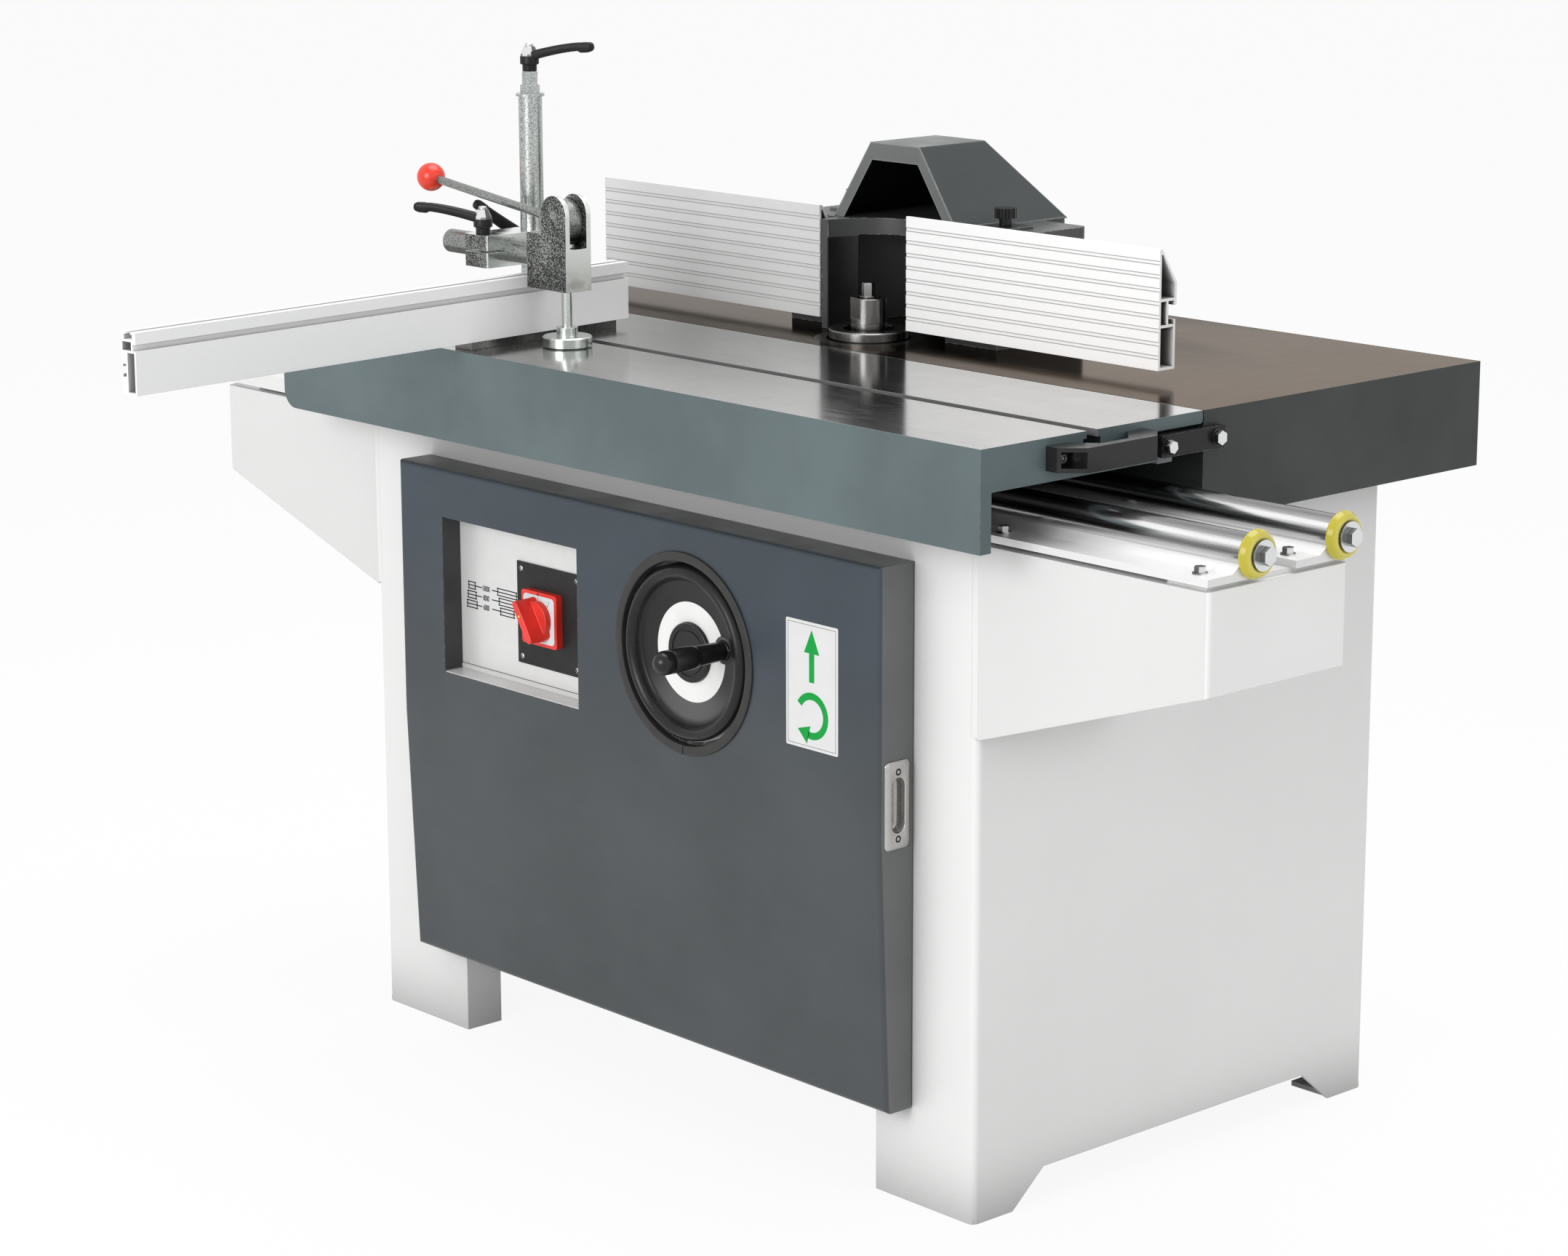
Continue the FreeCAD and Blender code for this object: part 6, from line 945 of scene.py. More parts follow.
def arc(centre: Pair, radius: float, start: float, end: float, steps: int) -> list[Pair]:
    """Points on a circle from one angle to another.

    Args:
        centre: The circle's middle.
        radius: Its radius.
        start: The first angle, in degrees.
        end: The last angle, in degrees.
        steps: The number of points.

    Returns:
        The points in order.
    """
    turn = np.radians(np.linspace(start, end, steps))
    points = np.array(centre) + radius * np.stack([np.cos(turn), np.sin(turn)], axis=1)
    return [tuple(point) for point in points.tolist()]


def rounded_outline(width: float, height: float, radius: float, steps: int = 6) -> np.ndarray:
    """The outline of a rounded rectangle about its middle, anticlockwise.

    Args:
        width: Size to the right.
        height: Size upwards.
        radius: Corner radius, at most half of the smaller size.
        steps: Points in each corner.

    Returns:
        Points as (4 * steps, 2).
    """
    radius = min(radius, width / 2 - 1e-6, height / 2 - 1e-6)
    turn = np.linspace(0.0, math.pi / 2, steps)
    angle = (np.arange(4)[:, None] * math.pi / 2 + turn[None]).reshape(-1)
    side = np.repeat(np.array([[1, 1], [-1, 1], [-1, -1], [1, -1]], float), steps, axis=0)
    middle = side * np.array([width / 2 - radius, height / 2 - radius])
    return middle + radius * np.stack([np.cos(angle), np.sin(angle)], axis=1)


def piled(seat: Seat, layers: Sequence[tuple[float, float, float, float]], middle: Pair = MIDDLE,
          steps: int = 6) -> Shell:
    """Rounded outlines piled up on a seat.

    Args:
        seat: The place that they lie on.
        layers: Each outline's width, height, corner radius and level out of the seat, from the back.
        middle: Their middle on the seat.
        steps: Points in each corner.

    Returns:
        Vertices and faces.
    """
    rows = []
    for width, height, radius, level in layers:
        outline = rounded_outline(width, height, radius, steps) + np.array(middle)
        rows.append(np.column_stack([outline, np.full(len(outline), level)]))
    return skin(seat.put(np.stack(rows)))


def plate(seat: Seat, middle: Pair, width: float, height: float, radius: float,
          levels: Sequence[Pair]) -> Shell:
    """A rounded plate built up of levels: each level is the outline set in by an inset, at a height.

    Args:
        seat: The place that it lies on.
        middle: Its middle on the seat.
        width: Size to the right.
        height: Size upwards.
        radius: Corner radius.
        levels: (inset, height) pairs from the back to the front.

    Returns:
        Vertices and faces.
    """
    least = 0.05 * MM
    layers = [(width - 2 * inset, height - 2 * inset, max(radius - inset, least), level)
              for inset, level in levels]
    return piled(seat, layers, middle)


def ribbon(seat: Seat, line: Sequence[Pair], width: float, thickness: float) -> Shell:
    """A printed line: a thin flat section carried along a path on the seat, square to the path.

    Args:
        seat: The place that it lies on.
        line: The path's points on the seat.
        width: Width of the line.
        thickness: How far it stands out.

    Returns:
        Vertices and faces.
    """
    path = np.array(line, float)
    run = unit(np.gradient(path, axis=0))
    side = np.stack([-run[:, 1], run[:, 0]], axis=1) * width / 2
    across = np.stack([path - side, path + side, path + side, path - side], axis=1)
    level = np.broadcast_to(np.array([0.0, 0.0, thickness, thickness]), across.shape[:2])
    return skin(seat.put(np.concatenate([across, level[..., None]], axis=2)))


def strokes(seat: Seat, lines: Sequence[Sequence[Pair]], width: float, thickness: float) -> Shell:
    """Printed polylines: each straight run of each line is a thin ribbon, half a width longer at both ends.

    Args:
        seat: The place that it lies on.
        lines: Each line's points on the seat.
        width: Width of the line.
        thickness: How far it stands out.

    Returns:
        Vertices and faces.
    """
    shells = []
    for line in lines:
        for start, end in zip(np.array(line[:-1], float), np.array(line[1:], float)):
            ahead = (end - start) / np.linalg.norm(end - start) * width / 2
            shells.append(ribbon(seat, [tuple(start - ahead), tuple(end + ahead)], width, thickness))
    return together(shells)


def ring_sector(profile: Sequence[Pair], seat: Seat, start: float, end: float, steps: int) -> Shell:
    """A closed profile of (radius, height) turned on a seat from one angle to another: r (cos t, sin t), h.

    Args:
        profile: The section's points.
        seat: The place whose origin is the middle.
        start: The first angle, in degrees.
        end: The last angle, in degrees.
        steps: The number of sections.

    Returns:
        Vertices and faces, with closed ends.
    """
    radius, height = np.array(profile, float).T
    turn = np.radians(np.linspace(start, end, steps))
    flat = np.stack([np.cos(turn), np.sin(turn)], axis=1)[:, None] * radius[None, :, None]
    level = np.broadcast_to(height, flat.shape[:2])
    return skin(seat.put(np.concatenate([flat, level[..., None]], axis=2)))


def stacked(seat: Seat, levels: Sequence[tuple[float, float, float]], turn: float, power: float = 4.0,
            columns: int = 56) -> Shell:
    """Superellipse outlines piled up: |a / l|^p + |b / w|^p = 1 at each height, a along the turned way.

    Args:
        seat: The place that it stands on.
        levels: Half length, half width and height of each outline, from the bottom up.
        turn: The direction of the length on the seat, in degrees.
        power: The superellipse's power.
        columns: Points round each outline.

    Returns:
        Vertices and faces.
    """
    long, wide, height = np.array(levels, float).T
    a, b = superellipse(columns, power)
    cosine, sine = turned(turn)
    along, aside = long[:, None] * a, wide[:, None] * b
    level = np.broadcast_to(height[:, None], along.shape)
    right, up = cosine * along - sine * aside, sine * along + cosine * aside
    return skin(seat.put(np.stack([right, up, level], axis=2)))


def hex_head(origin: Point, axis: np.ndarray, across: float, height: float, turn: float = 0.0) -> Shell:
    """A hexagon head with a turned chamfer: the corner radius shrinks towards the top's rim.

    Args:
        origin: The middle of its foot.
        axis: The unit direction of its height.
        across: The distance between two opposite flats.
        height: Its height.
        turn: The first corner's angle, in degrees.

    Returns:
        Vertices and faces.
    """
    circle = directions(axis, np.radians(60.0 * np.arange(6) + turn))
    radii = np.array([1.0, 1.0, HEX_TOP]) * across / math.sqrt(3.0)
    levels = np.array([0.0, HEX_SHOULDER, 1.0]) * height
    rows = np.array(origin) + levels[:, None, None] * axis + radii[:, None, None] * circle[None]
    return skin(rows)


def swept(path: np.ndarray, wide: np.ndarray, thick: np.ndarray, side: np.ndarray, power: float = 2.6,
          columns: int = 28) -> Shell:
    """A rounded bar along a path: at each station a superellipse |a/w|^p + |b/t|^p = 1 square to the path.

    Args:
        path: Stations as (n, 3).
        wide: Half width at each station, along side.
        thick: Half thickness at each station.
        side: The direction of width.
        power: The superellipse's power: 2 is round, more is squarer.
        columns: Points round the section.

    Returns:
        Vertices and faces.
    """
    normal = unit(np.cross(unit(np.gradient(path, axis=0)), side[None]))
    a, b = superellipse(columns, power)
    across, through = wide[:, None] * a, thick[:, None] * b
    return skin(path[:, None] + across[..., None] * side + through[..., None] * normal[:, None])


class Dresser:
    """Puts finishes on the frame's nodes and adds new pieces that ride on its bodies."""

    def dress(self, finish: Finish, *nodes: str) -> None:
        """Gives CAD nodes a finish.

        Args:
            finish: The finish.
            nodes: Names of CAD nodes.
        """
        for name in nodes:
            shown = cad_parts[name]
            if not shown.material_slots:
                shown.data.materials.append(None)
            for place in shown.material_slots:
                place.material = Finishes.of(finish)
            log.info("dressed %s in %s", name, finish.name)

    def add(self, name: str, shell: Shell, body: str, finish: Finish, slot: str,
            replaces: Sequence[str] = (), sharp: float = 32.0) -> bpy.types.Object:
        """Makes a mesh object from a shell, closes its seams, and lets it ride on a body.

        Args:
            name: The piece's name.
            shell: Vertices and faces.
            body: The CAD body that it moves with.
            finish: Its finish.
            slot: The record's material slot; not used.
            replaces: CAD nodes that it stands for.
            sharp: Edges that bend more than this, in degrees, stay sharp.

        Returns:
            The new object.
        """
        mesh = bpy.data.meshes.new(name)
        points, faces = shell
        mesh.from_pydata(points.tolist(), [], faces)
        work = bmesh.new()
        work.from_mesh(mesh)
        bmesh.ops.remove_doubles(work, verts=work.verts, dist=SEAM_WIDTH)
        bmesh.ops.recalc_face_normals(work, faces=work.faces)
        work.to_mesh(mesh)
        work.free()
        mesh.polygons.foreach_set("use_smooth", np.ones(len(mesh.polygons), bool))
        mesh.set_sharp_from_angle(angle=math.radians(sharp))
        mesh.materials.append(Finishes.of(finish))
        made = bpy.data.objects.new(name, mesh)
        bpy.context.scene.collection.objects.link(made)
        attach(made, body)
        if replaces:
            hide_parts(*replaces)
        log.info("added %s on %s", name, body)
        return made

    def words(self, seat: Seat, text: str, place: Pair, height: float, thickness: float,
              narrow: float = 1.0, bold: float = 0.0) -> Shell:
        """Figures as a mesh: a text outline is extruded, then its points are put on the seat.

        Args:
            seat: The place that it lies on.
            text: The figures.
            place: The lower left corner on the seat.
            height: Letter size.
            thickness: How far it stands out.
            narrow: The factor of the letters' width.
            bold: How far the outline is moved outwards.

        Returns:
            Vertices and faces.
        """
        curve = bpy.data.curves.new("figures", "FONT")
        curve.body = text
        curve.size = height
        curve.extrude = thickness / 2
        curve.offset = bold
        curve.resolution_u = 3
        holder = bpy.data.objects.new("figures", curve)
        bpy.context.scene.collection.objects.link(holder)
        shown = holder.evaluated_get(bpy.context.evaluated_depsgraph_get())
        mesh = bpy.data.meshes.new_from_object(shown)
        local = np.zeros(3 * len(mesh.vertices))
        mesh.vertices.foreach_get("co", local)
        local = local.reshape(-1, 3) * np.array([narrow, 1.0, 1.0]) + np.array([*place, thickness / 2])
        faces = [tuple(face.vertices) for face in mesh.polygons]
        bpy.data.objects.remove(holder)
        bpy.data.curves.remove(curve)
        bpy.data.meshes.remove(mesh)
        return seat.put(local), faces


@dataclass
class Cabinet(Dresser):
    """The folded cabinet, its side arms, and the drive inside it."""

    half_width: float = 522.0 * MM
    front: float = -325.0 * MM
    seam_z: Pair = (542.0 * MM, 749.0 * MM)
    seam_width: float = 9.0 * MM
    seam_depth: float = 5.0 * MM
    seam_offset: float = 0.5 * MM
    seam_corner: float = 0.3 * MM
    seam_face: Profile = mm((0.0, 0.02), (0.4, 0.06))

    def build(self) -> None:
        """Dresses the cabinet and the hidden drive, and fills the seams where the arms meet the front."""
        self.dress(CABINET_WHITE, "cabinet_body")
        self.dress(ARM_WHITE, "side_arms")
        low, high = self.seam_z
        seams = []
        for side in (-1.0, 1.0):
            x = side * (self.half_width - self.seam_width / 2 + self.seam_offset)
            seat = Seat((x, self.front, (low + high) / 2))
            seams.append(plate(seat, MIDDLE, self.seam_width, high - low, self.seam_corner,
                               [(0.0, -self.seam_depth), *self.seam_face]))
        self.add("arm_seams", together(seams), "frame", CABINET_WHITE, "cabinet_paint")
        self.dress(PRIMER_GREY, "spindle_carriage", "column_base", "motor_plate", "spindle_pulley",
                   "motor_pulley")
        self.dress(TURNED_STEEL, "guide_columns", "lift_screw", "screw_gear", "cross_shaft", "bevel_pinion",
                   "motor_shaft", "spindle_bearings")
        self.dress(ALUMINIUM, "motor_body")
        self.dress(BELT_BLACK, "drive_belt")
        self.dress(FASTENER_ZINC, "hinge_pins")


@dataclass
class Tables(Dresser):
    """The cast main table, the sliding table, its handle and its lock."""

    pocket_screws: tuple[Point, ...] = ((609.0 * MM, -295.5 * MM, 849.0 * MM),
                                        (609.0 * MM, -172.5 * MM, 849.0 * MM))
    socket_head: Profile = mm((0.0, 0.0), (5.4, 0.0), (5.4, 4.0), (4.9, 4.6), (2.9, 4.6), (2.6, 2.0),
                              (0.0, 2.0))
    washer: Profile = mm((0.0, 0.0), (8.9, 0.0), (9.1, 0.3), (9.1, 1.3), (8.8, 1.6), (0.0, 1.6))
    bolt_across: float = 13.6 * MM
    bolt_height: float = 9.0 * MM
    bolt_degrees: float = 12.0
    catch_bolt: Point = (609.0 * MM, -134.0 * MM, 840.75 * MM)
    pivot_bolt: Point = (609.0 * MM, -56.0 * MM, 840.75 * MM)
    catch_middle: Point = (588.0 * MM, -128.0 * MM, 832.0 * MM)
    catch_size: Point = (24.0 * MM, 22.0 * MM, 12.0 * MM)
    catch_corner: float = 1.5 * MM
    catch_bevels: Pair = (0.5 * MM, 1.0 * MM)

    def build(self) -> None:
        """Dresses the tables, the handle and the lock."""
        self.dress(TABLE_IRON, "main_table")
        self.dress(SLIDE_IRON, "sliding_table")
        self.dress(TURNED_STEEL, "table_insert_ring", "wheelset_left", "wheelset_right")
        self.dress(PRIMER_GREY, "axle_brackets")
        self.dress(HANDLE_BLACK, "table_handle")
        self.dress(BLACK_STEEL, "lock_bar")
        self.dress(BOLT_ZINC, "hex_bolts")
        screws = [revolved(self.socket_head, place, X_AXIS, 36) for place in self.pocket_screws]
        self.add("handle_screws", together(screws), "table", BOLT_ZINC, "fasteners")
        self.lock_fittings()

    def lock_fittings(self) -> None:
        """Adds the lock's catch bolt, both washers and the catch block on the sliding table."""
        bolt = hex_head(self.catch_bolt, X_AXIS, self.bolt_across, self.bolt_height, self.bolt_degrees)
        self.add("catch_bolt", bolt, "lock", BOLT_ZINC, "fasteners")
        washers = (("catch_washer", self.catch_bolt, "lock"), ("pivot_washer", self.pivot_bolt, "frame"))
        for name, place, body in washers:
            self.add(name, revolved(self.washer, place, X_AXIS, 40), body, BLACK_STEEL, "fasteners")
        wide, high, deep = self.catch_size
        back, front = self.catch_bevels
        levels = [(back, 0.0), (0.0, back), (0.0, deep - front), (front, deep)]
        block = plate(Seat(self.catch_middle, (0.0, 1.0, 0.0)), MIDDLE, wide, high, self.catch_corner, levels)
        self.add("catch_block", block, "table", PRIMER_GREY, "machine_iron")


@dataclass
class Rails(Dresser):
    """The round guide rails, their holders and the soft end stops."""

    half_length: float = 837.0 * MM
    radius: float = 20.0 * MM
    chamfer: float = 1.5 * MM
    stop_radius: float = 25.6 * MM
    stop_length: float = 12.0 * MM
    stop_edge: float = 4.0 * MM
    stop_seat: Profile = mm((17.0, -0.4), (16.2, -0.8), (0.0, -0.8))

    def build(self) -> None:
        """Adds smooth rails and bevelled stops in place of the plain ones."""
        self.dress(HOLDER_ALUMINIUM, "rail_holders")
        bar = [(0.0, 0.0), (self.radius - self.chamfer, 0.0), (self.radius, self.chamfer),
               (self.radius, 2 * self.half_length - self.chamfer),
               (self.radius - self.chamfer, 2 * self.half_length), (0.0, 2 * self.half_length)]
        shells = [revolved(bar, (-self.half_length, y, RAIL_HEIGHT), X_AXIS, 96) for y in RAIL_LINES]
        self.add("round_rails", together(shells), "frame", RAIL_STEEL, "bright_steel", ["guide_rails"])
        edge, length = self.stop_edge, self.stop_length
        inner, bulge = self.stop_radius - edge, 1.6 * edge
        back = [(0.0, 0.0), (inner, 0.0)] + arc((inner, edge), edge, -90.0, 0.0, 7)
        front = arc((self.stop_radius - 2 * edge, length - bulge), bulge, 20.0, 90.0, 9)
        disc = back + front + lifted(self.stop_seat, length)
        stops = [revolved(disc, (side * self.half_length, y, RAIL_HEIGHT), side * X_AXIS, 72)
                 for side in (-1, 1) for y in RAIL_LINES]
        self.add("soft_stops", together(stops), "frame", STOP_YELLOW, "stop_plastic", ["stop_discs"])


@dataclass
class Door(Dresser):
    """The front door: lined switch recess, pictogram plate, pull, and rubber edging of the wheel's hole."""

    recess_back: float = -347.0 * MM
    recess_x: Pair = (-326.0 * MM, -74.0 * MM)
    recess_z: Pair = (471.0 * MM, 660.0 * MM)
    sheet: float = 1.0 * MM
    fold_height: float = 4.5 * MM
    ink: float = 0.15 * MM
    ink_line: float = 1.25 * MM
    ink_bold: float = 0.16 * MM
    small_pulley: Pair = (-304.0 * MM, 580.5 * MM)
    small_widths: tuple[float, ...] = (14.0 * MM, 17.0 * MM, 20.0 * MM)
    large_pulley: Pair = (-237.0 * MM, 580.5 * MM)
    large_widths: tuple[float, ...] = (37.0 * MM, 32.0 * MM, 27.0 * MM)
    pulley_pitch: float = 11.5 * MM
    step_share: float = 0.72
    pinch_share: float = 0.12
    figure_left: float = -284.5 * MM
    figure_height: float = 9.6 * MM
    figure_narrow: float = 0.60
    figure_width: float = 18.0 * MM
    figure_gap: float = 1.0 * MM
    figure_shift: float = 1.8 * MM
    speeds: tuple[str, ...] = ("10000", "8000", "6000")
    plate_front: float = -350.0 * MM
    screw_x: Pair = (-206.8 * MM, -105.2 * MM)
    screw_z: Pair = (507.5 * MM, 613.0 * MM)
    screw_radius: float = 3.6 * MM
    screw_dome: float = 0.55
    slot_level: float = 0.46
    slot_reach: float = 0.5
    slot_width: float = 0.22
    slot_ink: float = 0.1
    label_middle: Pair = (322.2 * MM, 570.8 * MM)
    label_size: Pair = (82.0 * MM, 141.0 * MM)
    label_corner: float = 2.0 * MM
    label_levels: Profile = mm((0.0, 0.0), (0.0, 0.6), (0.3, 0.8))
    label_border: float = 3.5 * MM
    label_line: float = 0.6 * MM
    arrow_width: float = 8.0 * MM
    stem_z: Pair = (4.0 * MM, 36.0 * MM)
    rising_tip: Pair = (0.0, 62.0 * MM)
    rising_head: Pair = (26.0 * MM, 12.0 * MM)
    loop_middle: Pair = (0.0, -33.0 * MM)
    loop_radius: float = 22.0 * MM
    loop_degrees: Pair = (150.0, -105.0)
    loop_tip: float = 17.0 * MM
    turning_head: Pair = (18.0 * MM, 10.5 * MM)
    trim_inner: float = 104.5 * MM
    trim_outer: float = 115.5 * MM
    trim_proud: float = 3.0 * MM
    trim_back: float = -6.0 * MM
    trim_web: float = 108.9 * MM
    trim_soft: float = 1.5 * MM
    trim_lip: float = 2.0 * MM
    seam_degrees: float = 0.35
    pull_seat: float = 428.0 * MM
    pull_middle: Pair = (-351.0 * MM, 456.0 * MM)
    pull_size: Pair = (36.0 * MM, 98.0 * MM)
    pull_corner: float = 6.0 * MM
    pull_thickness: float = 3.0 * MM
    pull_bevel: float = 5.0 * MM
    pull_cup: Pair = (19.8 * MM, 61.8 * MM)
    pull_cup_back: float = -11.0 * MM
    pull_foot: float = 0.5 * MM
    pull_bowl: Profile = mm((7.8, 0.0), (2.8, 1.5), (0.0, 4.0))
    pull_lip: Profile = mm((0.0, 0.0), (0.5, -0.15), (0.9, -0.8), (1.4, -4.0))
    pull_floor: Profile = mm((2.2, 6.0), (4.6, 3.4), (8.6, 2.2), (13.0, 2.0))
    pull_screw: Profile = mm((0.0, -0.6), (4.1, -0.6), (4.1, -0.05), (3.7, 0.1), (2.0, 0.0), (1.7, -0.4),
                             (0.0, -0.4))
    pull_screw_offset: float = 37.0 * MM

    def build(self) -> None:
        """Dresses the door and adds what is mounted on it."""
        self.dress(DOOR_SLATE, "door_panel")
        self.dress(SWITCH_BLACK, "switch_plate")
        self.lining()
        self.diagram()
        self.plate_screws()
        self.label()
        self.trim()
        self.pull()

    def lining(self) -> None:
        """Adds the recess's silver panel with its folded foot and ledge, and the dark left wall."""
        left, right = self.recess_x
        low, high = self.recess_z
        sheet = self.sheet
        across, upright = (left + right) / 2, (low + high) / 2
        inward, depth = (DOOR_FRONT + self.recess_back) / 2, self.recess_back - DOOR_FRONT - 2 * sheet
        wide, tall = right - left - sheet, high - low - sheet
        back = Seat((0.0, self.recess_back, 0.0))
        self.sheet_on(back, "recess_panel", (across, upright), (wide, tall), sheet)
        on_panel = Seat((0.0, self.recess_back - sheet, 0.0))
        foot = low + 2 * sheet + self.fold_height / 2
        self.sheet_on(on_panel, "recess_fold", (across, foot), (wide, self.fold_height), sheet / 2)
        edge_z = foot + self.fold_height / 2 + self.ink_line
        edge = [(left + 2 * sheet, edge_z), (right - 2 * sheet, edge_z)]
        self.add("recess_edge_line", strokes(on_panel, [edge], self.ink_line, self.ink), "door", INK_GREY,
                 "door_paint")
        shelf = Seat((0.0, 0.0, low), (1.0, 0.0, 0.0), (0.0, 1.0, 0.0))
        self.sheet_on(shelf, "recess_ledge", (across, inward), (wide, depth), sheet)
        wall = Seat((left, 0.0, 0.0), (0.0, 1.0, 0.0))
        self.sheet_on(wall, "recess_wall", (inward, upright + sheet), (depth, tall - 2 * sheet), sheet,
                      RECESS_BLACK, "door_paint")

    def sheet_on(self, seat: Seat, name: str, middle: Pair, size: Pair, corner: float,
                 finish: Finish = PANEL_SILVER, slot: str = "aluminium") -> None:
        """Adds a thin sheet of the lining.

        Args:
            seat: The place that it lies on.
            name: The piece's name.
            middle: Its middle on the seat.
            size: Its width and height.
            corner: Its corner radius.
            finish: Its finish.
            slot: The record's material slot.
        """
        levels = [(0.0, 0.0), (0.0, 0.7 * self.sheet), (0.3 * self.sheet, self.sheet)]
        self.add(name, plate(seat, middle, *size, corner, levels), "door", finish, slot)

    def pulley(self, top: Pair, widths: Sequence[float]) -> list[list[Pair]]:
        """A stepped pulley's outline: each step's sides are pinched twice, with a neck to the next step.

        Args:
            top: The middle of the top edge on the seat.
            widths: Each step's width, from the top down.

        Returns:
            Closed lines.
        """
        lines = []
        step = self.step_share * self.pulley_pitch
        for number, width in enumerate(widths):
            high = top[1] - number * self.pulley_pitch
            half, pinch = width / 2, width / 2 - self.pinch_share * self.pulley_pitch
            halves = (half, pinch, half, pinch, half)
            sides = [(x, high - quarter * step / 4) for quarter, x in enumerate(halves)]
            right = [(top[0] + x, z) for x, z in sides]
            left = [(top[0] - x, z) for x, z in reversed(sides)]
            lines += [right + left + right[:1], [left[0], right[-1]], [left[2], right[2]]]
        return lines

    def diagram(self) -> None:
        """Adds the printed speed diagram: two stepped pulleys, lead lines and the three speeds."""
        seat = Seat((0.0, self.recess_back - self.sheet, 0.0))
        lines = self.pulley(self.small_pulley, self.small_widths)
        lines += self.pulley(self.large_pulley, self.large_widths)
        figure_right = self.figure_left + self.figure_width
        figures = []
        for number, speed in enumerate(self.speeds):
            level = self.small_pulley[1] - (number + self.step_share / 2) * self.pulley_pitch
            small_edge = self.small_pulley[0] + self.small_widths[number] / 2
            large_edge = self.large_pulley[0] - self.large_widths[number] / 2
            lines.append([(small_edge, level), (self.figure_left - self.figure_gap, level)])
            lines.append([(figure_right + self.figure_gap, level), (large_edge, level)])
            shift = (len(self.speeds[0]) - len(speed)) * self.figure_shift
            place = (self.figure_left + shift, level - 0.35 * self.figure_height)
            figures.append(self.words(seat, speed, place, self.figure_height, self.ink, self.figure_narrow,
                                      self.ink_bold))
        diagram = strokes(seat, lines, self.ink_line, self.ink)
        self.add("speed_diagram", diagram, "door", INK_BLACK, "door_paint")
        self.add("speed_figures", together(figures), "door", INK_BLACK, "door_paint")

    def plate_screws(self) -> None:
        """Adds four domed cross-slot screws at the switch plate's corners."""
        radius = self.screw_radius
        dome = [(x, self.screw_dome * z) for x, z in arc(MIDDLE, radius, 0.0, 90.0, 8)]
        heads, slots = [], []
        for x in self.screw_x:
            for z in self.screw_z:
                heads.append(revolved([(0.0, 0.0)] + dome, (x, self.plate_front, z), -Y_AXIS, 28))
                top = Seat((x, self.plate_front - self.slot_level * radius, z))
                reach = self.slot_reach * radius
                cross = [[(-reach, reach), (reach, -reach)], [(-reach, -reach), (reach, reach)]]
                slots.append(strokes(top, cross, self.slot_width * radius, self.slot_ink * radius))
        self.add("plate_screws", together(heads), "door", FASTENER_ZINC, "fasteners")
        self.add("plate_screw_slots", together(slots), "door", INK_BLACK, "fasteners")

    def label(self) -> None:
        """Adds the plate that shows lifting by turning: a rising arrow over a turning arrow."""
        x, z = self.label_middle
        wide, high = self.label_size
        label = plate(Seat((x, DOOR_FRONT, z)), MIDDLE, wide, high, self.label_corner, self.label_levels)
        self.add("lift_label", label, "door", LABEL_WHITE, "door_paint")
        face = Seat((x, DOOR_FRONT - self.label_levels[-1][1], z))
        right, top = wide / 2 - self.label_border, high / 2 - self.label_border
        border = [(-right, -top), (right, -top), (right, top), (-right, top), (-right, -top)]
        outline = strokes(face, [border], self.label_line, self.ink)
        self.add("label_outline", outline, "door", INK_GREY, "door_paint")
        stem = ribbon(face, [(0.0, level) for level in self.stem_z], self.arrow_width, self.ink)
        rising = self.arrow_head(face, self.rising_tip, (0.0, 1.0), *self.rising_head)
        line = arc(self.loop_middle, self.loop_radius, *self.loop_degrees, 40)
        loop = ribbon(face, line, self.arrow_width, self.ink)
        across, upward = turned(self.loop_degrees[1])
        way = (upward, -across)
        tip = (line[-1][0] + self.loop_tip * way[0], line[-1][1] + self.loop_tip * way[1])
        turning = self.arrow_head(face, tip, way, *self.turning_head)
        self.add("label_arrows", together([stem, rising, loop, turning]), "door", INK_GREEN, "door_paint")

    def arrow_head(self, seat: Seat, tip: Pair, way: Pair, length: float, half: float) -> Shell:
        """A thin triangle whose tip points along a way.

        Args:
            seat: The place that it lies on.
            tip: Its tip on the seat.
            way: The unit direction that it points in.
            length: Its length.
            half: Half of its width.

        Returns:
            Vertices and faces.
        """
        point, along = np.array(tip), np.array(way)
        foot, aside = point - along * length, np.array([-along[1], along[0]]) * half
        corners = np.stack([point, foot + aside, foot - aside])
        rows = np.stack([np.column_stack([corners, np.full(3, level)]) for level in (0.0, self.ink)])
        return skin(seat.put(rows))

    def trim(self) -> None:
        """Adds the rubber edging of the wheel's hole: a lipped ring with a seam at the bottom."""
        seat = Seat((WHEEL_MIDDLE[0], DOOR_FRONT, WHEEL_MIDDLE[1]))
        inner, outer = self.trim_inner, self.trim_outer
        soft, back = self.trim_soft, self.trim_back
        level = self.trim_proud - soft
        lip = arc((outer - soft, level), soft, 0.0, 90.0, 5)
        lip += arc((inner + soft, level), soft, 90.0, 180.0, 5)
        profile = [(inner, back), (outer - self.trim_lip, back), (outer - self.trim_lip, back / 2),
                   (self.trim_web, back / 2), (self.trim_web, 0.0), (outer, 0.0)] + lip
        ring = ring_sector(profile, seat, -90.0 + self.seam_degrees, 270.0 - self.seam_degrees, 160)
        self.add("hole_edging", ring, "door", TRIM_RUBBER, "belt_rubber", ["door_trim"])

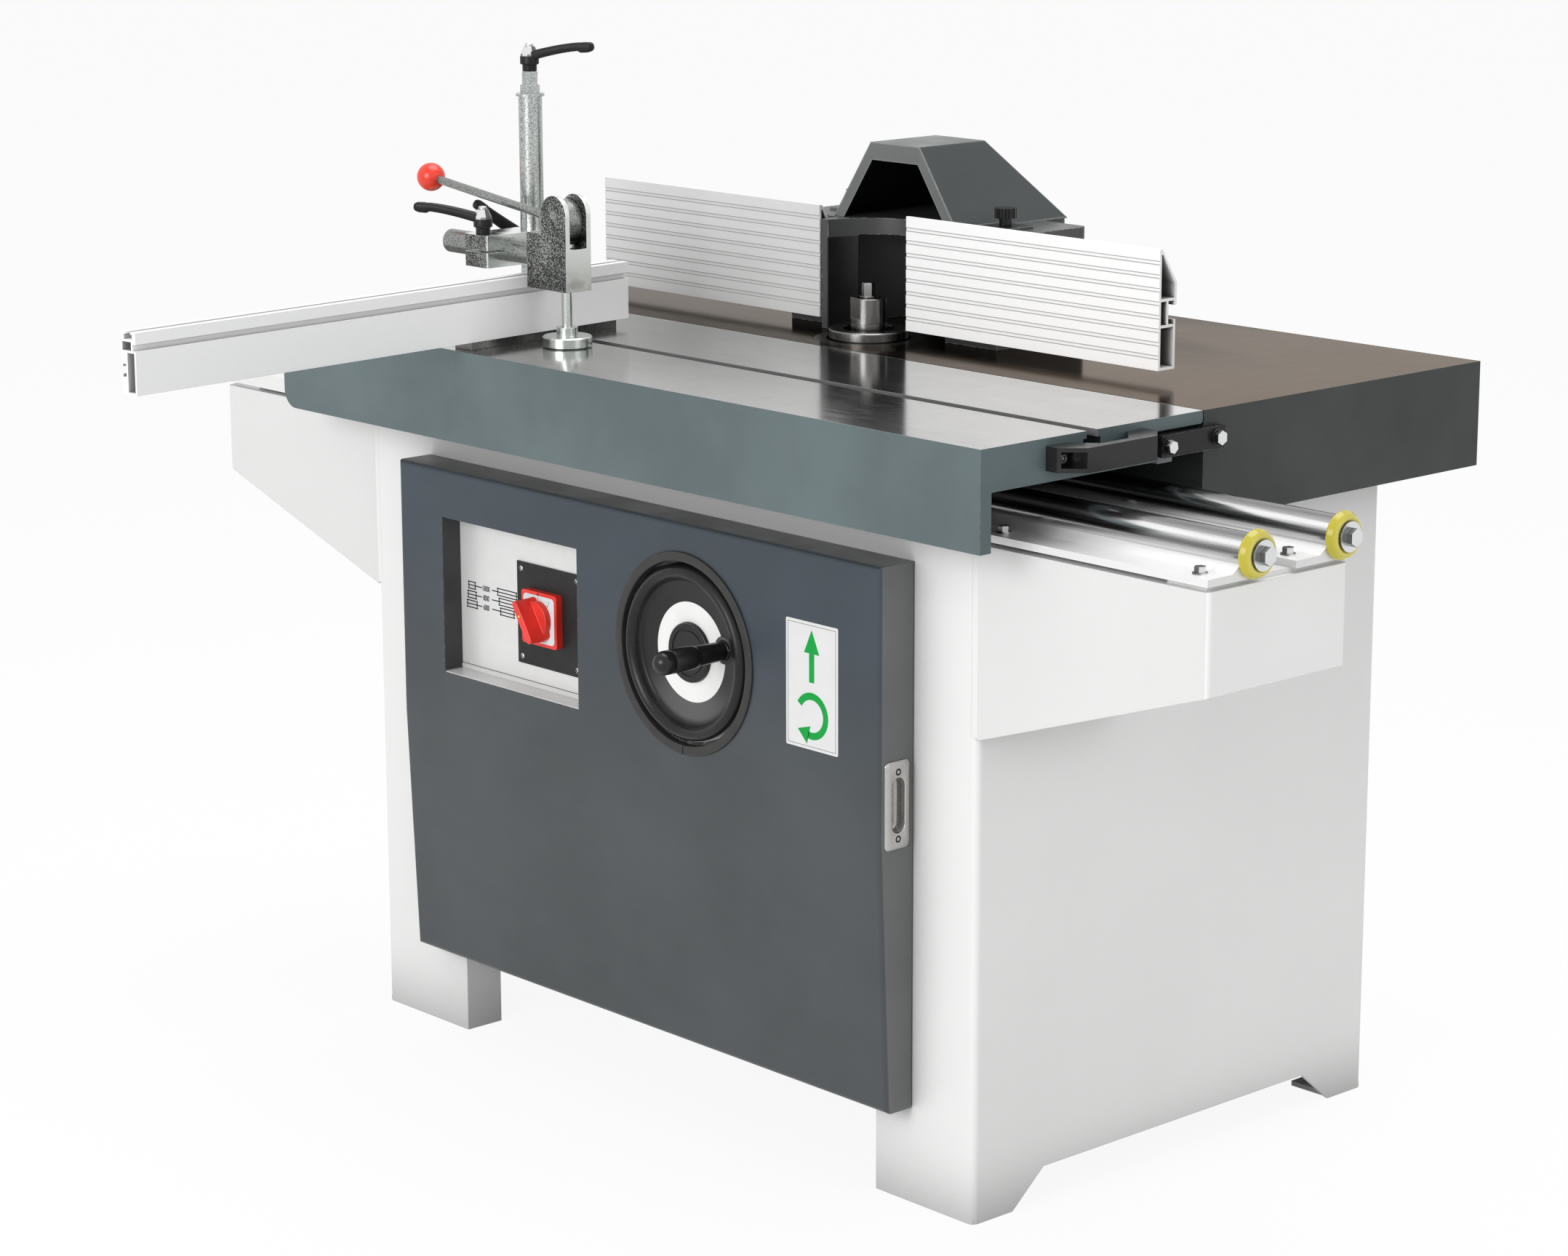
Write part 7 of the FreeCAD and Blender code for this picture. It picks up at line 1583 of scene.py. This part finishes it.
    def pull(self) -> None:
        """Adds the door pull and its screws: outlines piled from the cup's back over the plate into the cup.

        The plate's edge is a quarter of an ellipse, inset b (1 - cos t) at height h sin t; the cup is a long
        rounded bowl inside it.
        """
        y, z = self.pull_middle
        wide, high = self.pull_size
        cup_wide, cup_high = self.pull_cup
        back, face, foot = self.pull_cup_back, self.pull_thickness, self.pull_foot
        turn = np.radians(np.linspace(0.0, 90.0, 9))
        edge = zip(self.pull_bevel * (1.0 - np.cos(turn)), foot + (face - foot) * np.sin(turn))
        outer = [(wide - 2 * inset, high - 2 * inset, self.pull_corner + 0.4 * inset, level)
                 for inset, level in edge]
        bowl = [(cup_wide - inset, cup_high - inset, cup_wide / 2, start + level)
                for rows, start in ((self.pull_bowl, back), (self.pull_lip, face), (self.pull_floor, back))
                for inset, level in rows]
        rim = [(cup_wide, cup_high, cup_wide / 2, 0.0), (wide, high, self.pull_corner, 0.0)]
        shell, hollow = bowl[:len(self.pull_bowl)], bowl[len(self.pull_bowl):]
        cup = piled(Seat((self.pull_seat, y, z), (0.0, 1.0, 0.0)), shell + rim + outer + hollow, steps=10)
        self.add("cup_pull", cup, "door", PULL_NICKEL, "zinc", ["door_pull"])
        places = [(self.pull_seat + face, y, z + side * self.pull_screw_offset) for side in (-1, 1)]
        heads = [revolved(self.pull_screw, place, X_AXIS, 32) for place in places]
        self.add("pull_screws", together(heads), "door", MOULDED_BLACK, "fasteners")


@dataclass
class Switch(Dresser):
    """The main switch: a red frame with a pale face, and a winged knob."""

    middle: Pair = (-164.0 * MM, 560.0 * MM)
    base_front: float = -359.0 * MM
    face_size: float = 56.0 * MM
    face_corner: float = 5.0 * MM
    face_levels: Profile = mm((0.0, 0.0), (0.0, 0.4), (0.2, 0.5))
    marks: tuple[tuple[float, str], ...] = ((93.0, "0"), (48.0, "1"))
    mark_size: float = 1.6 * MM
    mark_corner: float = 0.7 * MM
    mark_ink: float = 0.1 * MM
    sign_height: float = 5.0 * MM
    sign_reach: float = 1.17
    sign_shift: Pair = (1.2 * MM, 1.0 * MM)
    mark_radius: float = 24.5 * MM
    knob_degrees: float = -57.0
    disc_radius: float = 22.5 * MM
    disc_height: float = 8.2 * MM
    wing_half_length: float = 27.0 * MM
    wing_half_width: float = 5.0 * MM
    wing_spread: float = 6.0 * MM
    wing_sweep: float = 2.2
    wing_power: float = 4.5
    wing_top: float = 26.2 * MM
    knob_gap: float = 0.3 * MM
    knob_soft: float = 1.6 * MM
    dot_offset: float = -8.0 * MM
    dot_size: float = 3.0 * MM
    dot_levels: Profile = mm((0.0, -0.3), (0.0, 0.0), (0.3, 0.15))

    def build(self) -> None:
        """Dresses the frame and adds the face, its marks and the knob."""
        self.dress(SIGNAL_RED, "switch_base")
        x, z = self.middle
        size = self.face_size
        pale = plate(Seat((x, self.base_front, z)), MIDDLE, size, size, self.face_corner, self.face_levels)
        self.add("switch_face", pale, "door", SWITCH_FACE, "red_plastic")
        face = Seat((x, self.base_front - self.face_levels[-1][1], z))
        printed = []
        for degrees, sign in self.marks:
            spot = turned(degrees, self.mark_radius)
            printed.append(plate(face, spot, self.mark_size, self.mark_size, self.mark_corner,
                                 [(0.0, 0.0), (0.0, self.mark_ink)]))
            outside = tuple(self.sign_reach * at - shift for at, shift in zip(spot, self.sign_shift))
            printed.append(self.words(face, sign, outside, self.sign_height, self.mark_ink))
        self.add("switch_marks", together(printed), "door", INK_BLACK, "red_plastic")
        self.knob(face)

    def knob(self, face: Seat) -> None:
        """Adds the knob: a rounded disc, and a wing whose flanks sweep out towards the disc.

        Args:
            face: The plane of the switch's face.
        """
        x, z = self.middle
        soft, gap = self.knob_soft, self.knob_gap
        rim = arc((self.disc_radius - soft, self.disc_height - soft), soft, 0.0, 90.0, 6)
        disc = revolved([(0.0, gap), (self.disc_radius, gap)] + rim + [(0.0, self.disc_height)],
                        (x, self.base_front, z), -Y_AXIS, 72)
        rise = np.linspace(0.0, 1.0, 14)
        cap = np.radians(np.linspace(15.0, 90.0, 6))
        height = gap + (self.wing_top - gap - soft) * rise
        height = np.concatenate([height, height[-1] + soft * np.sin(cap)])
        inset = np.concatenate([0.0 * rise, soft * (1.0 - np.cos(cap))])
        spread = np.concatenate([self.wing_spread * (1.0 - rise) ** self.wing_sweep, 0.0 * cap])
        half_length, half_width = self.wing_half_length - inset, self.wing_half_width + spread - inset
        levels = np.column_stack([half_length, half_width, height])
        wing = stacked(face, levels, self.knob_degrees, self.wing_power)
        self.add("switch_wing_knob", together([disc, wing]), "switch", SIGNAL_RED, "red_plastic",
                 ["switch_knob"])
        spot = turned(self.knob_degrees, self.dot_offset)
        ridge = Seat((x, self.base_front - self.face_levels[-1][1] - self.wing_top, z))
        dot = plate(ridge, spot, self.dot_size, self.dot_size, self.dot_size / 2, self.dot_levels)
        self.add("switch_knob_dot", dot, "switch", DOT_YELLOW, "red_plastic")


@dataclass
class Handwheel(Dresser):
    """The dished handwheel in the door's hole, its white dial and its revolving grip."""

    back: Profile = mm((0.0, -35.0), (20.0, -35.0), (20.0, -17.0), (57.0, -17.0), (88.0, -13.0),
                       (95.0, -16.0))
    rim: Profile = mm((101.0, -16.0), (101.0, -8.0), (100.4, -4.0), (98.6, 0.4), (96.0, 3.4), (94.0, 4.6),
                      (92.0, 5.0))
    inner_rim: Profile = mm((90.0, 4.7), (87.4, 3.4), (85.2, 1.2), (84.0, -1.6), (83.4, -4.4), (82.4, -6.2),
                            (80.8, -7.4))
    dial_radius: float = 57.0 * MM
    dial_level: float = -11.0 * MM
    hub_radius: float = 34.0 * MM
    hub_level: float = -6.0 * MM
    hub_soft: float = 1.2 * MM
    hub_fillet: float = 0.6 * MM
    hub_groove: Profile = mm((27.6, 0.0), (27.0, -1.5), (25.0, -1.5), (24.4, -0.2), (0.0, -0.8))
    dial_lift: Pair = (-0.1 * MM, 0.25 * MM)
    dial_gap: float = 0.3 * MM
    dial_bevel: float = 0.1 * MM
    boss_back: float = -16.0 * MM
    boss_lift: float = 0.2 * MM
    boss_top: Profile = mm((16.0, -4.0), (15.2, -3.2), (12.0, -2.8), (11.52, -0.4), (10.88, 0.0), (0.0, 0.0))
    grip_place: Pair = (58.0 * MM, 12.0)
    grip_start: float = -5.7 * MM
    grip_end: float = 90.3 * MM
    grip_radius: float = 13.5 * MM
    grip_step: float = 0.40
    grip_foot: Profile = mm((0.0, 0.0), (10.2, 0.0), (10.8, 1.0))
    grip_rear: Profile = mm((11.6, -2.0), (11.2, -0.6), (11.4, 0.4), (12.8, 2.0), (13.5, 8.0))
    grip_seam: Profile = mm((13.5, -8.0), (13.1, -7.4), (13.5, -6.8))

    def build(self) -> None:
        """Adds the wheel, the dial and the grip."""
        away, degrees = self.grip_place
        right, up = turned(degrees, away)
        middle = (WHEEL_MIDDLE[0] + right, DOOR_FRONT, WHEEL_MIDDLE[1] + up)
        self.wheel(middle)
        self.grip(middle)

    def wheel(self, boss: Point) -> None:
        """Turns the wheel: rounded rim, steep inner wall, shallow dish, flat dial seat and a grooved hub.

        Args:
            boss: The grip boss's middle in the door's plane.
        """
        centre = (WHEEL_MIDDLE[0], DOOR_FRONT, WHEEL_MIDDLE[1])
        hub, dial, soft = self.hub_radius, self.dial_level, self.hub_soft
        dish = ((self.dial_radius, dial), (hub + self.hub_fillet, dial), (hub, dial + self.hub_fillet))
        hub_edge = arc((hub - soft, self.hub_level - soft), soft, 0.0, 90.0, 5)
        groove = lifted(self.hub_groove, self.hub_level)
        section = [*self.back, *self.rim, *self.inner_rim, *dish, *hub_edge, *groove]
        body = revolved(section, centre, -Y_AXIS, 144)
        post = [(0.0, self.boss_back), (self.boss_top[0][0], self.boss_back)]
        post += lifted(self.boss_top, self.grip_start + self.boss_lift)
        wheel = together([body, revolved(post, boss, -Y_AXIS, 48)])
        self.add("hand_wheel", wheel, "wheel", WHEEL_BLACK, "black_plastic", ["handwheel"], sharp=26.0)
        low, high = (dial + lift for lift in self.dial_lift)
        inner, outer, bevel = hub + self.dial_gap, self.dial_radius, self.dial_bevel
        ring = [(inner, low), (outer, low), (outer, high - bevel), (outer - bevel, high), (inner, high),
                (inner, low)]
        self.add("wheel_dial", revolved(ring, centre, -Y_AXIS, 144), "wheel", DIAL_WHITE, "black_plastic")

    def grip(self, origin: Point) -> None:
        """Turns the grip: slim rear part, a groove, a thicker barrel, a fine seam and a domed end.

        Args:
            origin: The grip's axis in the door's plane.
        """
        start, end = self.grip_start, self.grip_end
        step = start + self.grip_step * (end - start)
        dome_start = end - self.grip_radius
        profile = lifted(self.grip_foot, start) + lifted(self.grip_rear, step)
        profile += lifted(self.grip_seam, dome_start)
        profile += arc((0.0, dome_start), self.grip_radius, 0.0, 90.0, 12)
        handle = revolved(profile, origin, -Y_AXIS, 72)
        self.add("turning_grip", handle, "grip", GRIP_BLACK, "black_plastic", ["wheel_grip"], sharp=40.0)


@dataclass(frozen=True)
class Lever:
    """One clamping lever: its place, the axis of its hub and the direction of its arm."""

    node: str
    body: str
    origin: Point
    axis: Point
    arm: Point


@dataclass
class Clamp(Dresser):
    """The mitre fence and the hold-down clamp on the sliding table."""

    levers: tuple[Lever, ...] = (
        Lever("post_lever", "top_lever", (-312.5 * MM, -240.0 * MM, 1178.2 * MM), UP,
              (*turned(25.0), 0.0)),
        Lever("bar_lever", "front_lever", (-312.5 * MM, -314.0 * MM, 992.7 * MM), UP,
              (*turned(217.0), 0.0)),
        Lever("block_lever", "side_lever", (-333.7 * MM, -218.0 * MM, 973.5 * MM), (-1.0, 0.0, 0.0),
              (0.0, *turned(144.0))),
    )
    arm_length: float = 84.0 * MM
    arm_root: float = 17.0 * MM
    arm_rise: float = 14.0 * MM
    arm_half_width: Pair = (8.0 * MM, 5.6 * MM)
    arm_half_thickness: Pair = (5.6 * MM, 4.8 * MM)
    arm_power: float = 3.4
    bump: float = 2.4 * MM
    bump_start: float = 0.79
    bump_rise: float = 0.02
    bump_fall: float = 0.10
    end_start: float = 0.94
    end_length: float = 0.0601
    collar: Profile = mm((0.0, 0.0), (8.2, 0.0), (8.6, 0.4), (8.6, 7.0), (10.6, 8.0), (11.2, 8.8),
                         (11.2, 16.4), (10.6, 17.4), (0.0, 17.4))
    cap: Profile = mm((0.0, 17.4), (10.4, 17.4), (10.4, 20.0), (6.6, 28.5), (0.0, 28.5))
    screw: Profile = mm((0.0, 28.5), (5.0, 28.5), (5.0, 31.4), (4.4, 32.2), (2.4, 32.2), (2.2, 30.6),
                        (0.0, 30.6))

    def build(self) -> None:
        """Dresses the fence and the clamp, and adds the levers."""
        self.dress(FENCE_ALUMINIUM, "mitre_fence")
        self.dress(TURNED_STEEL, "mitre_base")
        self.dress(TUBE_ZINC, "clamp_post")
        self.dress(BAR_ZINC, "clamp_bar", "cam_lever")
        self.dress(PAD_ZINC, "plunger")
        self.dress(FORGED_ZINC, "cross_block", "fork_head")
        self.dress(BALL_RED, "lever_ball")
        for lever in self.levers:
            self.lever(lever)

    def lever(self, lever: Lever) -> None:
        """Adds a lever: collar and arm in black, and a bright faceted cap with its screw.

        The arm's middle rises as a quarter sine; under its tip a finger bump b(s) thickens it, and its end is
        rounded off as an ellipse.

        Args:
            lever: The lever's place and directions.
        """
        axis, arm = np.array(lever.axis), np.array(lever.arm)
        side = np.cross(axis, arm)
        s = np.linspace(0.0, 1.0, 72)
        rising = np.clip((s - self.bump_start) / self.bump_rise, 0.0, 1.0)
        bump = self.bump * rising * np.clip((1.0 - s) / self.bump_fall, 0.0, 1.0)
        ending = np.clip((s - self.end_start) / self.end_length, 0.0, 1.0)
        end = np.sqrt(np.clip(1.0 - ending ** 2, 0.0025, 1.0))
        root_wide, tip_wide = self.arm_half_width
        root_thick, tip_thick = self.arm_half_thickness
        wide = (root_wide + (tip_wide - root_wide) * s) * end
        thick = (root_thick + (tip_thick - root_thick) * s + bump / 2) * end
        level = self.arm_root + self.arm_rise * np.sin(s * math.pi / 2) - bump / 2
        path = np.array(lever.origin) + np.outer(s * self.arm_length, arm) + np.outer(level, axis)
        paddle = swept(path, wide, thick, side, self.arm_power, 36)
        black = together([paddle, revolved(self.collar, lever.origin, axis, 48)])
        self.add(lever.node + "_paddle", black, lever.body, MOULDED_BLACK, "black_plastic", [lever.node])
        cap = revolved(self.cap, lever.origin, axis, 10)
        self.add(lever.node + "_cap", cap, lever.body, CAP_CHROME, "zinc", sharp=12.0)
        screw = revolved(self.screw, lever.origin, axis, 36)
        self.add(lever.node + "_screw", screw, lever.body, FASTENER_ZINC, "fasteners")


@dataclass
class Fence(Dresser):
    """The split fence, the casing, the hood and the spindle between them."""

    spindle: Pair = (0.0, 14.0 * MM)
    collar_z: Pair = (872.0 * MM, 918.0 * MM)
    collar_radius: float = 22.0 * MM
    collar_edges: Pair = (0.5 * MM, 0.8 * MM)
    collar_seam: Pair = (0.4 * MM, 0.3 * MM)
    flats_foot: float = 894.0 * MM
    flats_half: float = 18.6 * MM
    flats_degrees: float = -104.0
    plate_front: float = 23.0 * MM
    plate_bottom: float = 883.0 * MM
    plate_height: float = 134.0 * MM
    plate_left: Pair = (-493.0 * MM, -95.0 * MM)
    plate_right: Pair = (53.0 * MM, 451.0 * MM)
    grooves: int = 8
    groove_half: float = 1.5 * MM
    line_width: float = 1.0 * MM
    screw_across: float = 15.0 * MM
    screw_height: float = 17.5 * MM
    screw_degrees: float = 8.0
    screw_washer: Profile = mm((0.0, 0.0), (11.5, 0.0), (11.5, 1.6), (11.0, 2.0), (0.0, 2.0))
    line_ink: float = 0.05 * MM
    line_inset: float = 0.5 * MM

    def build(self) -> None:
        """Dresses the fence and the spindle, and adds the collar and the groove lines."""
        self.dress(LEFT_ALUMINIUM, "fence_plate_left")
        self.dress(RIGHT_ALUMINIUM, "fence_plate_right")
        self.dress(CASING_IRON, "fence_casing")
        self.dress(HOOD_SLATE, "fence_hood")
        self.dress(KNOB_BLACK, "hood_knob_left", "hood_knob_right")
        self.dress(FASTENER_ZINC, "fence_bolts")
        self.dress(TURNED_STEEL, "spindle_shaft", "spindle_quill")
        self.collar()
        top = (self.spindle[0], self.spindle[1], self.collar_z[1])
        head = hex_head(top, Z_AXIS, self.screw_across, self.screw_height, self.screw_degrees)
        screw = together([revolved(self.screw_washer, top, Z_AXIS, 48), head])
        self.add("spindle_screw", screw, "spindle", TURNED_STEEL, "bright_steel", ["spindle_bolt"])
        self.groove_lines("left_groove_lines", "plate_left", self.plate_left)
        self.groove_lines("right_groove_lines", "plate_right", self.plate_right)

    def collar(self) -> None:
        """Adds the turned collar, a cylinder with two flats higher up: r(t) = min(R, f / |cos(t - t0)|)."""
        low, high = self.collar_z
        full, step = self.collar_radius, self.flats_foot
        seam, (deep, half) = low + (high - low) / 3, self.collar_seam
        foot, top = self.collar_edges
        outline = np.array([
            (0.0, low), (full - foot, low), (full, low + foot), (full, seam - half), (full - deep, seam),
            (full, seam + half), (full, step), (full, step + 0.01 * MM), (full, high - top),
            (full - top, high), (0.0, high)])
        radii, levels = outline[:, :1], outline[:, 1:]
        turn = full_turn(120)
        flat = self.flats_half / np.maximum(np.abs(np.cos(turn - math.radians(self.flats_degrees))), 1e-3)
        reach = np.where(levels > step, np.minimum(radii, flat[None]), radii)
        rows = np.stack([self.spindle[0] + reach * np.cos(turn), self.spindle[1] + reach * np.sin(turn),
                         np.broadcast_to(levels, reach.shape)], axis=2)
        self.add("spindle_collar", skin(rows, caps=False), "spindle", TURNED_STEEL, "bright_steel",
                 ["spacer_rings"], sharp=20.0)

    def groove_lines(self, name: str, body: str, span: Pair) -> None:
        """Adds the fine shadow lines on both edges of each groove of a fence plate.

        Args:
            name: The piece's name.
            body: The plate's body.
            span: The plate's ends.
        """
        seat = Seat((0.0, self.plate_front, 0.0))
        pitch = self.plate_height / (self.grooves + 1)
        middles = self.plate_bottom + pitch * np.arange(1, self.grooves + 1)
        offset = self.groove_half + self.line_width / 2
        levels = np.concatenate([middles - offset, middles + offset])
        left, right = span[0] + self.line_inset, span[1] - self.line_inset
        lines = [[(left, z), (right, z)] for z in levels.tolist()]
        self.add(name, strokes(seat, lines, self.line_width, self.line_ink), body, GROOVE_SHADE, "aluminium")


@dataclass
class Studio:
    """The pale floor, the soft lamps and the camera at the photograph's angle."""

    camera_place: Point = (3.3365, -3.1589, 1.5940)
    azimuth: float = 47.696
    elevation: float = 13.151
    roll: float = -0.16
    lens: float = 90.51
    sensor: float = 36.0
    sight: float = 100.0
    sky_light: float = 0.55
    floor_half: float = 30.0
    floor_colour: Colour = (0.90, 0.90, 0.90)
    floor_glow: float = 0.92
    lamps: list[tuple[str, Point, Point, float, float]] = field(default_factory=lambda: [
        ("key", (1.0, -6.2, 2.6), (0.0, 0.0, 0.55), 3.6, 188.0),
        ("fill", (4.2, 0.4, 2.4), (0.2, 0.0, 0.6), 2.4, 13.0),
        ("top", (0.0, 0.4, 4.2), (0.0, 0.0, 0.8), 3.2, 88.0),
    ])

    def build(self) -> None:
        """Sets the view, the light, the floor and the camera."""
        scene = bpy.context.scene
        scene.view_settings.view_transform = "Standard"
        self.world(scene)
        self.floor(scene)
        for name, place, target, size, power in self.lamps:
            data = bpy.data.lights.new(name, "AREA")
            data.shape = "DISK"
            data.size = size
            data.energy = power
            lamp = bpy.data.objects.new(name, data)
            lamp.location = place
            lamp.rotation_euler = (Vector(target) - Vector(place)).to_track_quat("-Z", "Y").to_euler()
            scene.collection.objects.link(lamp)
        self.camera(scene)

    def world(self, scene: bpy.types.Scene) -> None:
        """A white background for the camera and for reflections, and a softer light for the rest.

        Args:
            scene: The scene to light.
        """
        tree = Tree("studio", world=True)
        rays = tree.node("LightPath").outputs
        seen = tree.sum("MAXIMUM", rays["Is Camera Ray"], rays["Is Glossy Ray"])
        seen = tree.sum("MAXIMUM", seen, rays["Is Transmission Ray"])
        light = tree.node("Background", Color=WHITE, Strength=tree.blend(seen, self.sky_light, 1.0))
        tree.close(light.outputs[0])
        scene.world = tree.holder

    def floor(self, scene: bpy.types.Scene) -> None:
        """A wide pale floor that keeps the object's shadow.

        Args:
            scene: The scene that it is added to.
        """
        half = self.floor_half
        corners = [(-half, -half, 0.0), (half, -half, 0.0), (half, half, 0.0), (-half, half, 0.0)]
        mesh = bpy.data.meshes.new("studio_floor")
        mesh.from_pydata(corners, [], [(0, 1, 2, 3)])
        tree = Tree("pale_floor")
        rays = tree.node("LightPath").outputs
        seen = tree.sum("MAXIMUM", rays["Is Camera Ray"], rays["Is Glossy Ray"])
        matt = tree.node("BsdfDiffuse", Color=self.floor_colour).outputs[0]
        pale = tree.node("Emission", Color=WHITE).outputs[0]
        tree.close(tree.joined("MixShader", {}, {0: tree.times(seen, self.floor_glow), 1: matt, 2: pale}))
        mesh.materials.append(tree.holder)
        floor = bpy.data.objects.new("studio_floor", mesh)
        scene.collection.objects.link(floor)

    def camera(self, scene: bpy.types.Scene) -> None:
        """The camera, turned by azimuth, elevation and roll.

        Args:
            scene: The scene that it is set in.
        """
        data = bpy.data.cameras.new("photo_camera")
        data.lens = self.lens
        data.sensor_width = self.sensor
        data.clip_end = self.sight
        camera = bpy.data.objects.new("photo_camera", data)
        azimuth, elevation = math.radians(self.azimuth), math.radians(self.elevation)
        level = math.cos(elevation)
        look = Vector((-math.sin(azimuth) * level, math.cos(azimuth) * level, -math.sin(elevation)))
        turn = look.to_track_quat("-Z", "Y").to_matrix() @ Matrix.Rotation(math.radians(self.roll), 3, "Z")
        camera.matrix_world = Matrix.Translation(self.camera_place) @ turn.to_4x4()
        scene.collection.objects.link(camera)
        scene.camera = camera


def main() -> None:
    logging.basicConfig(level=logging.INFO, format="%(message)s")
    for assembly in (Cabinet(), Tables(), Rails(), Door(), Switch(), Handwheel(), Clamp(), Fence(), Studio()):
        assembly.build()
        log.info("built %s", type(assembly).__name__)


if __name__ == "__main__":
    main()
